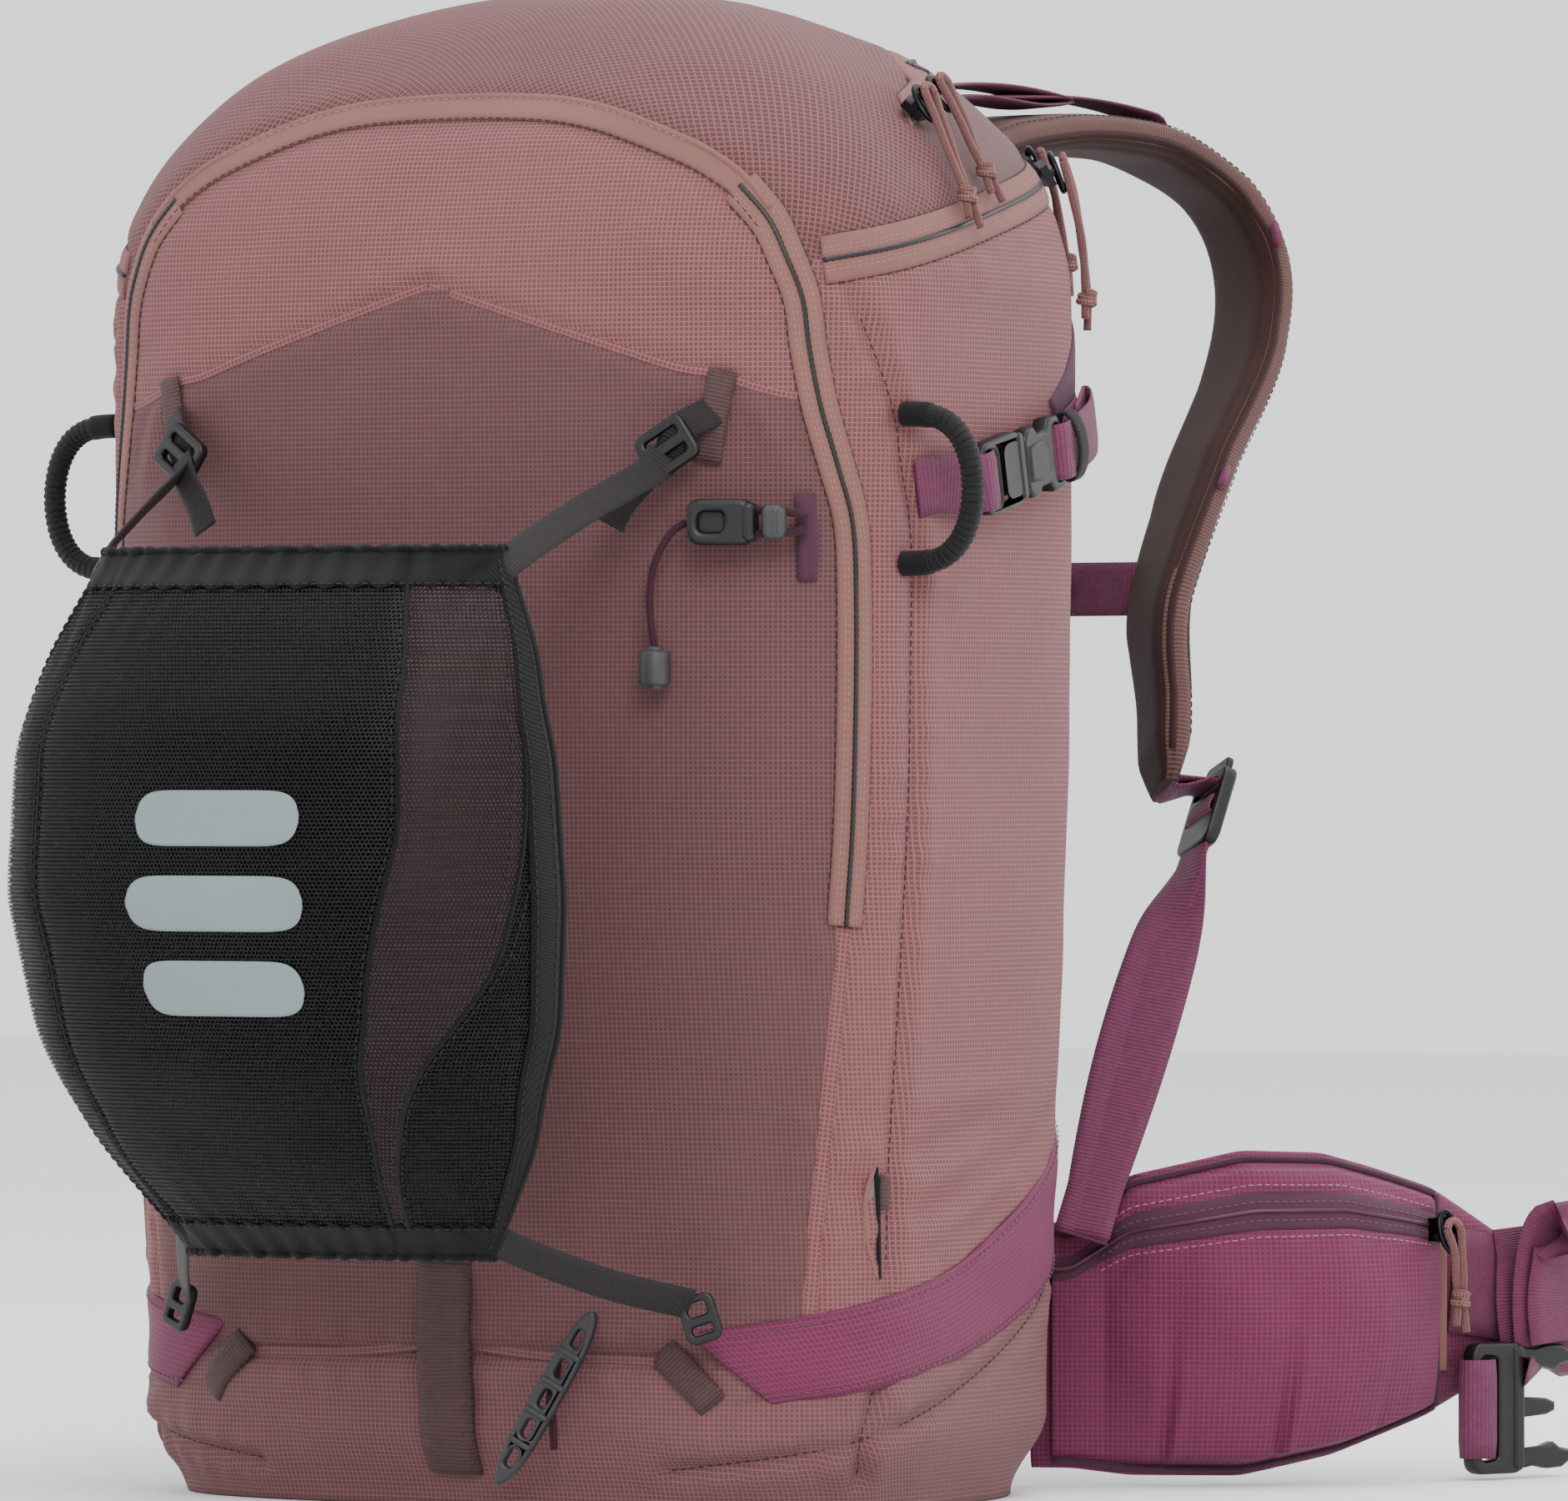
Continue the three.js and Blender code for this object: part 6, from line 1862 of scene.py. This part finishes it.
def belt_buckle(name, male):
    parts = [
        moulding(name, outline(25, 48, 5), [outline(8, 38, 2, -4.5, 0)], 7.2, LOOK["black_plastic"], 1.5),
        moulding(name + "_rim", outline(5, 46, 2.4, 9, 0), [], 9.0, LOOK["black_plastic"], 1.4),
    ]
    if male:
        for k, sign in enumerate((-1, 1)):
            prong = [
                (9, 15.5), (22, 14.5), (27, 13.0), (30, 15.0), (35, 16.0), (36, 19.5), (31, 22.5),
                (24, 22.8), (18, 21.5), (9, 22.8),
            ]
            prong = [(x, sign * y) for x, y in prong][::sign]
            parts.append(moulding(f"{name}_prong_{k}", prong, [], 5.6, LOOK["black_plastic"], 1.3))
        parts.append(
            moulding(
                name + "_tongue", [(9, -4), (24, -3), (28, -1.6), (28, 1.6), (24, 3), (9, 4)], [], 4.4,
                LOOK["black_plastic"], 1.1
            )
        )
    else:
        shell = [
            (9, -23), (30, -22), (35, -18), (34, -9), (31, -5), (31, 5), (34, 9), (35, 18), (30, 22), (9, 23),
        ]
        parts.append(
            moulding(
                name + "_shell", shell, [outline(11, 7, 2.5, 22, -18.0), outline(11, 7, 2.5, 22, 18.0)],
                12.0, LOOK["black_plastic"], 2.2
            )
        )
        parts.append(
            moulding(name + "_crest", outline(13, 22, 4, 20, 0), [], 13.2, LOOK["black_plastic"], 1.2)
        )
    body = place(joined(name, parts), BUCKLE_AT, BUCKLE_ACROSS, BUCKLE_OUT)
    side = unit(BUCKLE_ACROSS)
    out = unit(BUCKLE_OUT)
    turn = (
        (-3.5, -4.5), (-9.5, -4.8), (-14.5, -2), (-14.5, 2.4),
        (-9.5, 5.0), (-3.5, 4.4), (-2.0, 0), (-3.5, -4.5),
    )
    wrap = spline(
        [BUCKLE_AT + side * x + out * y for x, y in turn], 50
    )
    loop = strap(name + "_web", wrap, (0, 0, 1), 36, 1.5, LOOK["plum_web"])
    return joined(name, [body, loop])


male = belt_buckle("belt_clip_male", True)
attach(male, "belt_buckle_right")
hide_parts("belt_buckle_male")
female = belt_buckle("belt_clip_female", False)
female.data.transform(Matrix.Scale(-1, 4, (1, 0, 0)))
female.data.flip_normals()
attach(female, "belt_buckle_left")
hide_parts("belt_buckle_female")


def hip_pull(side):
    z = float(pouch_z(0.64, POUCH_ZIP))
    rise = float(pouch_rise(0.64, POUCH_ZIP))
    far = rise + 13.8
    route = [
        fin_point(0.64, z, rise + 12.4), fin_point(0.644, z - 8, far), fin_point(0.648, z - 22, far),
        fin_point(0.65, z - 38, far)
    ]
    flip = np.array([-1 if side == "left" else 1, 1, 1])
    route = np.array(route) * flip
    out = (fin_point(0.64, z, 10) - fin_point(0.64, z, 0)) * flip
    cord_pull(f"hip_pull_cord_{side}", route, out, f"hip_zip_{side}", LOOK["pull_cord"], f"hip_pull_{side}")
    ring_puller(f"hip_ring_{side}", fin_point(0.64, z, rise + 9.0) * flip, route, out, f"hip_zip_{side}")


for side in ("right", "left"):
    hip_pull(side)


# ---- helmet carrier: net, binding, straps and tri-glides ------------------------------------------
NET_LOW, NET_HIGH = 92.0, 334.0
NET_HALF = ([92, 97, 130, 170, 215, 265, 300, 334], [60, 64, 86, 102, 108, 105, 96, 80])
NET_EDGE = ([92, 97, 150, 215, 280, 334], [-163, -166, -186, -196, -198, -188])
NET_DEPTH = ([92, 97, 120, 160, 215, 270, 310, 334], [11, 14, 36, 60, 71, 62, 36, 16])
SEAM_RIGHT = ([92, 98, 130, 164, 193, 237, 290, 334], [0.32, 0.33, 0.355, 0.375, 0.41, 0.495, 0.485, 0.44])
LENS_RIGHT = ([92, 118, 140, 164, 193, 237, 280, 334], [0.40, 0.40, 0.45, 0.56, 0.75, 0.845, 0.87, 0.89])
SEAM_LEFT = ([92, 105, 140, 200, 255, 334], [-0.74, -0.66, -0.50, -0.43, -0.47, -0.60])


def net_curve(z, stations):
    fine = np.linspace(60, 366, 154)
    raw = np.interp(fine, *stations)
    kernel = np.exp(-np.linspace(-2, 2, 15) ** 2)
    return np.interp(z, fine, np.convolve(np.pad(raw, 7, mode="edge"), kernel / kernel.sum(), mode="valid"))


def net_relief(u, z):
    """Tension lines from the corners, ruffles at the hems and the soft dents between them."""
    t = (z - NET_LOW) / (NET_HIGH - NET_LOW)
    d = 0.8 * np.sin(u * 46) * np.exp(-(1 - t) * 16) + 0.7 * np.sin(u * 40 + 1) * np.exp(-t * 18)
    d = d + 0.7 * np.sin(u * 7 + t * 4) * np.sin(t * 9)
    d = d - 1.6 * np.exp(-(((u - np.sin(np.interp(z, *SEAM_RIGHT) * math.pi / 2)) / 0.03) ** 2))
    d = d - 1.4 * np.exp(-(((u - np.sin(np.interp(z, *SEAM_LEFT) * math.pi / 2)) / 0.03) ** 2))
    for x, y in ((1, 1), (-1, 1), (1, 0), (-1, 0)):
        away = np.hypot((u - x) * 0.8, t - y)
        angle = np.arctan2(np.abs(t - y), np.abs(u - x) + 1e-6)
        d = d + 1.1 * np.sin(angle * 15) * np.exp(-away * 5) * smooth(0, 0.1, away)
    return d


def net_point(u, z, out=0.0):
    u, z = np.broadcast_arrays(np.asarray(u, float), np.asarray(z, float))
    half, edge, deep = (net_curve(z, stations) for stations in (NET_HALF, NET_EDGE, NET_DEPTH))
    bulge = (1 - np.minimum(np.abs(u), 1) ** 2.6) ** 0.55
    p = np.stack([half * u, edge - deep * bulge, z], -1)
    side = unit(np.stack([u * 1.1, -np.ones_like(u), np.zeros_like(u)], -1))
    return p + side * (np.asarray(out, float) + net_relief(u, z) * smooth(0, 0.12, 1 - np.abs(u)))[..., None]


def net_strip(name, u_of, z_of, low, thick, material, rows=120, columns=9):
    """Band of knit on the net between curves given by u_of(t, f) and z_of(t, f)."""
    t = np.linspace(0, 1, rows)[:, None]
    f = np.linspace(-1, 1, columns)[None, :]
    u, z = u_of(t, f), z_of(t, f)
    crown = thick * (1 - 0.6 * np.abs(f) ** 6) * np.ones_like(t)
    top = net_point(u, z, low + crown)
    bottom = net_point(u, z, np.full(crown.shape, low))[:, ::-1]
    span = u * net_curve(z, NET_HALF)
    weave = np.stack([span, z], -1)
    return section_loft(
        name, np.concatenate([top, bottom], 1), material, np.concatenate([weave, weave[:, ::-1]], 1)
    )


def net_sheet(name, u0, u1, z0, z1, out, material, columns, rows):
    """Single layer of net between limits; u0 and u1 may vary with height."""
    z = np.linspace(z0, z1, rows)[:, None] * np.ones((1, columns))
    share = np.linspace(0, 1, columns)[None, :]
    low, high = u0(z), u1(z)
    a = low + (high - low) * share
    u = np.sin(a * math.pi / 2)
    p = net_point(u, z, out)
    run = np.linalg.norm(np.diff(p, axis=1), axis=2)
    across = np.concatenate([np.zeros((rows, 1)), np.cumsum(run, 1)], 1)
    across = across - across[:, columns // 2][:, None]
    piece = mesh_piece(name, p, grid_faces(rows, columns), material, np.stack([across, z], -1))
    modifier(piece, "SOLIDIFY", thickness=0.5 * MM, offset=0)
    return apply_modifiers(piece)


def constant(value):
    return lambda z: np.full(np.shape(z), float(value))


net = net_sheet(
    "helmet_carrier_net", constant(-1), constant(1), NET_LOW, NET_HIGH, 0.0, LOOK["net"], 150, 140
)
pack_piece(net)
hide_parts("helmet_net")


def net_share(z, stations):
    """Position across the net, -1 to 1, of a seam given by heights and shares."""
    fine = np.linspace(60, 366, 154)
    raw = np.interp(fine, *stations)
    kernel = np.exp(-np.linspace(-2, 2, 21) ** 2)
    return np.interp(z, fine, np.convolve(np.pad(raw, 10, mode="edge"), kernel / kernel.sum(), mode="valid"))


def window_edge(z):
    return net_share(z, SEAM_RIGHT)


backing = net_sheet(
    "net_backing", constant(-0.98), window_edge, NET_LOW + 1, NET_HIGH - 1, -1.3, LOOK["net_dense"], 110,
    110
)
pack_piece(backing)


def side_lens(z):
    return np.maximum(net_share(z, LENS_RIGHT), net_share(z, SEAM_RIGHT) + 0.01)


cheek = net_sheet(
    "net_cheek", side_lens, constant(0.985), NET_LOW + 1, NET_HIGH - 1, -0.9, LOOK["net_dense"], 60, 110
)
pack_piece(cheek)

for k, sign in enumerate((1, -1)):
    rim = net_strip(
        f"net_binding_{side_name(k)}",
        lambda t, f: sign * np.sin((0.93 + 0.075 * f) * math.pi / 2) * np.ones_like(t),
        lambda t, f: NET_LOW - 1 + (NET_HIGH - NET_LOW + 2) * t * np.ones_like(f),
        0.2, 1.5, LOOK["net_binding"],
    )
    pack_piece(rim)
    edge = net_point(np.full(120, float(sign)), np.linspace(NET_LOW - 1, NET_HIGH + 1, 120), 0.2)
    pack_piece(tube(f"net_edge_{side_name(k)}", edge, 1.9, LOOK["net_binding"], 8))
    for j, share in enumerate((0.875, 0.965)):
        z = np.linspace(NET_LOW + 2, NET_HIGH - 2, 120)
        u = np.full(120, sign * math.sin(share * math.pi / 2))
        run = net_point(u, z, 1.75)
        pack_piece(
            stitches(f"net_stitch_{side_name(k)}_{j}", run, net_point(u, z, 4) - run, LOOK["net_thread"]),
        )
for name, z, wide in (("top", NET_HIGH - 5.5, 6.5), ("foot", NET_LOW + 5.0, 5.5)):
    hem = net_strip(
        f"net_hem_{name}",
        lambda t, f: np.sin((t * 2 - 1) * math.pi / 2) * np.ones_like(f),
        lambda t, f: z + wide * f * (1 + 0.1 * np.sin(t * 150)) * np.ones_like(t),
        0.15, 1.6, LOOK["net_binding"], rows=200,
    )
    pack_piece(hem)
    lip = np.sin(np.linspace(-1, 1, 240) * math.pi / 2)
    roll = net_point(lip, np.full(240, z + (wide if name == "top" else -wide)), 0.6)
    ruffle = 1.5 + 0.45 * np.sin(np.linspace(0, 170, 240)) * np.sin(np.linspace(0, 31, 240))
    pack_piece(tube(f"net_roll_{name}", roll, ruffle, LOOK["net_binding"], 8))
    run = net_point(lip, np.full(240, z + (-wide + 1 if name == "top" else wide - 1)), 1.8)
    outs = net_point(lip, np.full(240, z), 5) - net_point(lip, np.full(240, z), 0)
    pack_piece(stitches(f"net_hem_stitch_{name}", run, outs, LOOK["net_thread"]))
for name, stations in (("right", SEAM_RIGHT), ("left", SEAM_LEFT), ("lens", LENS_RIGHT)):
    z = np.linspace(NET_LOW + 4, NET_HIGH - 8, 150)
    u = np.sin(net_share(z, stations) * math.pi / 2)
    for j, gap in enumerate((-0.018, 0.018)):
        run = net_point(u + gap, z, 0.5)
        outs = net_point(u + gap, z, 4) - run
        pack_piece(stitches(f"net_seam_stitch_{name}_{j}", run, outs, LOOK["net_thread"]))
    pack_piece(tube(f"net_seam_{name}", net_point(u, z, 0.3), 0.9, LOOK["net_binding"], 7))

# Three plain reflective bars, one above the other.
for k, (z, middle, half_wide) in enumerate(((243, 0.10, 0.30), (214, 0.10, 0.32), (185, 0.09, 0.30))):
    bar = net_strip(
        f"reflective_bar_{k}",
        lambda t, f: middle + half_wide * (t * 2 - 1) * np.ones_like(f),
        lambda t, f: z + 9.5 * f * np.sqrt(np.clip(1 - (np.abs(t * 2 - 1) ** 9), 0.02, 1)),
        0.5, 0.35, LOOK["reflective"], rows=60, columns=15,
    )
    pack_piece(bar)


def upper_carrier(name):
    """Webbing from the net's corner through the tri-glide, with a folded tail."""
    corner = net_point(0.985, NET_HIGH - 5, 0.5)
    glide = np.array([100, -112, 371.0])
    line = spline(
        [
            corner + [-5, 2, -7], corner + [2, 3, 2], (corner + glide) / 2 + [0, 0, -1.0],
            glide - [2.0, 3.5, 7.0], glide + [0, 1.5, -1], glide + [3.5, 2.5, 6.5], on_bag(112, 384, 1.5)
        ],
        70
    )
    web = strap(name, line, (0.62, 0.1, -0.78), NARROW_WEB, 1.5, LOOK["carrier_web"])
    tail = strap(
        name + "_tail",
        spline(
            [
                glide + [-1, -1.5, -2], glide + [-6, -5.5, -10], glide + [-13, -9, -19],
                glide + [-17, -10.5, -27]
            ],
            40
        ),
        (0.62, 0.1, -0.78), NARROW_WEB, 1.3, LOOK["carrier_web"]
    )
    return joined(name, [web, tail])


pair("carrier_webbing", upper_carrier, "pack", "carrier_strap_upper")


def lower_carrier(name):
    corner = net_point(0.985, NET_LOW + 5, 0.5)
    hook = np.array([104, -103, 74.0])
    line = spline(
        [corner + [-5, 1, 8], corner + [1, 3, 0], corner * 0.45 + hook * 0.55 + [0, 0, -2], hook], 50
    )
    web = strap(name, line, (0.55, 0.2, 0.8), NARROW_WEB, 1.5, LOOK["carrier_web"])
    clip = moulding(
        name + "_hook", outline(13, 17, 3.5), [outline(7.5, 3.2, 1.0, 0, -4), outline(7, 5, 1.5, 0, 3.5)],
        3.6, LOOK["black_plastic"], 0.9
    )
    clip = place(clip, hook + [3, 1.5, -5], (0.86, 0.3, 0.3), (0.35, -1, 0.1))
    return joined(name, [web, clip])


pair("carrier_lower", lower_carrier, "pack")


def tri_glide(name):
    body = moulding(
        name, outline(20, 17, 3.4), [outline(13, 3.4, 1.1, 0, 3.6), outline(13, 3.4, 1.1, 0, -3.6)], 4.0,
        LOOK["black_plastic"], 1.0
    )
    return place(body, (100, -112, 371), (0.75, 0.1, 0.5), (0.2, -1, 0.1))


pair("carrier_glide", tri_glide, "pack", "tri_glide")


# ---- tool holder: cord lock, bungee and axe toggle --------------------------------------------------
LOCK_S, LOCK_Z = 116, 345
LOCK_CENTRE = on_bag(LOCK_S, LOCK_Z, 10)
LOCK_OUT = unit(on_bag(LOCK_S, LOCK_Z, 20) - LOCK_CENTRE)
LOCK_ACROSS = np.array([-LOCK_OUT[1], LOCK_OUT[0], 0])
LOCK_UP = np.cross(LOCK_OUT, LOCK_ACROSS)

lock = joined("cord_lock_body", [
    moulding(
        "cord_lock_body", outline(23, 16, 4.5), [outline(9, 7, 2.2, -3, 0)], 11.4, LOOK["black_plastic"],
        1.9
    ),
    moulding("cord_lock_collar", outline(5, 13.5, 2.2, 10, 0), [], 12.2, LOOK["black_plastic"], 1.8),
    moulding("cord_lock_floor", outline(17, 12, 3, -2, 0), [], 4.0, LOOK["black_plastic"], 1.0),
])
place(lock, LOCK_CENTRE, LOCK_ACROSS, LOCK_OUT)
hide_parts("cord_lock")
pack_piece(lock)
cap = moulding("cord_lock_cap", outline(8, 12, 3), [], 9, LOOK["grey_plastic"], 2.2)
ridges = [
    moulding(f"cap_ridge_{k}", outline(0.9, 9, 0.4, x, 0), [], 9.8, LOOK["grey_plastic"], 0.35)
    for k, x in enumerate((-1.6, 0.4, 2.4))
]
cap = place(joined("cord_lock_cap", [cap, *ridges]), LOCK_CENTRE + LOCK_ACROSS * 18.5, LOCK_ACROSS, LOCK_OUT)
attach(cap, "cord_lock_button")
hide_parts("cord_lock_button")

BUNGEE_RADIUS = 1.5
start = LOCK_CENTRE - LOCK_ACROSS * 13 - LOCK_OUT * 2
BUNGEE = spline(
    start + np.array(
        [(0, 0, 0), (-5, -2, -4), (-10, -4, -14), (-12, -4, -24), (-12, -3.4, -34), (-10.6, -3, -44.0)]
    ),
    60
)
bungee_end_at = BUNGEE[-1] + [0, 0, -6.4]
hexagon = [(5.6 * math.cos(a), 5.6 * math.sin(a)) for a in np.linspace(0, 2 * math.pi, 7)[:-1] + math.pi / 6]
end = joined("bungee_stop", [
    moulding("bungee_stop", hexagon, [], 12, LOOK["grey_plastic"], 1.1),
    moulding("bungee_stop_neck", outline(6, 6, 2.9), [], 15, LOOK["grey_plastic"], 1.0),
])
place(end, bungee_end_at, (1, 0, 0), (0, 0, 1))
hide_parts("bungee_end")
pack_piece(end)
tail = tube("bungee_tail_cord", BUNGEE, BUNGEE_RADIUS, LOOK["elastic"], 12)
pack_piece(tail)
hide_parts("bungee_tail")

# Two fixed strands of elastic from the lock into their webbing tab beside the zip.
strands = []
for k, rise in enumerate((4.2, -4.2)):
    # Step across from the lock's centre, share of the rise and step out from the bag.
    steps = ((-11, 1, 0), (0, 1, 1.0), (14, 1, -0.5), (24, 0.8, -3.5), (29, 0.4, -6))
    route = [
        LOCK_CENTRE + LOCK_ACROSS * across + LOCK_UP * rise * share + LOCK_OUT * off
        for across, share, off in steps
    ]
    strands.append(tube(f"bungee_strand_{k}", route, BUNGEE_RADIUS, LOOK["elastic"], 10, 40))
pack_piece(joined("bungee_strands", strands))
tab_path = [(LOCK_S + 27, LOCK_Z + 10), (LOCK_S + 28, LOCK_Z - 4), (LOCK_S + 28, LOCK_Z - 20)]
tab = on_bag_strip(
    "bungee_tab", tab_path, 7.0, 1.8, 0.2, LOOK["plum_tape"], columns=7,
    rise=lambda t, f: 2.2 * np.sin(np.pi * np.clip(t, 0, 1)) * np.ones_like(f),
)
pack_piece(tab)

waist = []
for a in np.linspace(0, 2 * math.pi, 56, endpoint=False):
    x = 35 * math.cos(a)
    y = 6.0 * math.sin(a) * (1.0 + 0.25 * math.cos(2 * a)) ** 0.5
    waist.append((x, float(np.clip(y, -6, 6))))
bars = [
    moulding(
        "toggle_plate", waist, [outline(7, 3.6, 1.6, x, 0) for x in (-24, -12, 0, 12, 24)], 4.6,
        LOOK["toggle"], 1.2
    )
]
for k, x in enumerate((-18, -6, 6, 18)):
    bars.append(moulding(f"toggle_rib_{k}", outline(2.2, 9.6, 1.0, x, 0), [], 6.2, LOOK["toggle"], 0.9))
toggle = place(joined("axe_toggle_bar", bars), (48, -107, 40), (0.5, -0.02, 0.86), (0.2, -1, 0.05))
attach(toggle, "axe_toggle")
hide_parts("axe_toggle")
anchor = spline([(46, -98.5, 22), (47, -101, 32), (48, -104.5, 40), (48.5, -101, 48), (48, -98.5, 56)], 40)
pack_piece(tube("toggle_cord", anchor, 1.5, LOOK["elastic"], 10))


# ---- back panel, lumbar pad and haul loop --------------------------------------------------------
PANEL_HALF = ([100, 150, 330, 430, 474], [100, 118, 116, 100, 72])
PANEL_Y = 111.0


def pad_height(x, z):
    """Height of the moulded back foam off the panel: two columns beside a spine channel."""
    half = np.interp(z, *PANEL_HALF)
    share = np.abs(x) / half
    rim = smooth(0, 0.05, 1 - share) * smooth(101, 110, z) * smooth(0, 9, 474.5 - z)
    base = 7.0 * (0.35 + 0.65 * rim)
    t = (z - 176) / 264
    end = np.clip(np.sin(np.pi * np.clip(t, 0, 1)), 0, 1) ** 0.35
    outer = np.interp(t, [0, 0.6, 1], [92, 96, 66])
    middle, reach = (20 + outer) / 2, (outer - 20) / 2 * np.maximum(0.35, end)
    d = np.clip(np.abs(np.abs(x) - middle) / reach, 0, 1)
    column = (1 - d ** 3.4) ** 0.7 * end
    groove = 0
    for level in (228, 282, 336, 390):
        groove = groove + 0.62 * np.exp(-(((z - level - 0.16 * (np.abs(x) - 58)) / 4.2) ** 2))
    return base + 12.0 * column * (1 - np.clip(groove, 0, 0.75))


def back_panel_piece():
    rows, columns = 190, 130
    z = np.linspace(101, 474.5, rows)[:, None] * np.ones((1, columns))
    x = np.linspace(-1, 1, columns)[None, :] * np.interp(z, *PANEL_HALF)
    outer = np.stack([x, PANEL_Y + pad_height(x, z), z], -1)
    inner = np.stack([x, np.full(x.shape, PANEL_Y + 0.2), z], -1)
    rings = np.concatenate([outer, inner[:, ::-1]], 1)
    weave = np.stack([x, z], -1)
    piece = section_loft("back_pads", rings, LOOK["back_knit"], np.concatenate([weave, weave[:, ::-1]], 1))
    return piece


panel = back_panel_piece()
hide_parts("back_panel")
pack_piece(panel)
rim_z = np.concatenate(
    [np.linspace(104, 472, 90), np.full(40, 472.0), np.linspace(472, 104, 90), np.full(40, 104.0)]
)
rim_side = np.concatenate(
    [np.full(90, 1.0), np.linspace(1, -1, 40), np.full(90, -1.0), np.linspace(-1, 1, 40)]
)
rim = np.stack([rim_side * (np.interp(rim_z, *PANEL_HALF) - 0.5), np.full(260, PANEL_Y + 3.2), rim_z], -1)
pack_piece(tube("back_binding", rim, 1.9, LOOK["black_tape"], 8))


def lumbar_piece():
    rows, columns = 110, 80
    x = np.linspace(-1, 1, rows)[:, None] * np.ones((1, columns)) * 92
    end = np.sqrt(np.maximum(0.04, 1 - np.abs(x / 92) ** 6))
    low, high = 98 - 54 * end, 106 + 60 * end
    f = np.linspace(0, 1, columns)[None, :]
    z = low + (high - low) * f
    crown = np.clip(1 - np.abs(f * 2 - 1) ** 4.5, 0, 1) ** 0.55
    groove = np.exp(-((np.abs(x) - 34) / 3.6) ** 2) + np.exp(-((x) / 5.0) ** 2) * 0.8
    rise = (6 + 15 * end) * crown * (1 - 0.3 * groove * crown) + 0.6
    outer = np.stack([x, 118.5 + rise, z], -1)
    inner = np.stack([x, np.full(x.shape, 118.4), z], -1)
    weave = np.stack([x, z], -1)
    return section_loft(
        "lumbar_cushion", np.concatenate([outer, inner[:, ::-1]], 1), LOOK["back_knit"],
        np.concatenate([weave, weave[:, ::-1]], 1)
    )


lumbar = lumbar_piece()
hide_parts("lumbar_pad")
pack_piece(lumbar)

haul_side = [(24, 106, 492), (23, 113, 500), (15, 117.5, 511)]
haul_line = spline([*[(-x, y, z) for x, y, z in haul_side], (0, 119, 515), *haul_side[::-1]], 60)
haul = strap("haul_loop", haul_line, (0.0, 0.75, 0.66), 12, 2.6, LOOK["plum_web"])
pack_piece(haul)
yoke = on_bag_strip(
    "yoke_band", [(back_girth(486) - 78, 483), (back_girth(486) - 40, 486), (back_girth(486) - 1, 486.5)],
    20, 1.6, 0.2, LOOK["plum_tape"], columns=9
)
yoke_left = mirrored(yoke, "yoke_band_left")
pack_piece(yoke)
pack_piece(yoke_left)


# ---- zip sliders and what stays of the CAD pieces --------------------------------------------------
def dress(node, look):
    """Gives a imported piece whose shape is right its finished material."""
    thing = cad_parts[node]
    for slot in thing.material_slots:
        slot.material = LOOK[look]


for node in [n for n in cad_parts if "slider" in n]:
    dress(node, "zip_metal")
dress("frame_sheet", "sheet")
dress("frame_stay", "stay")
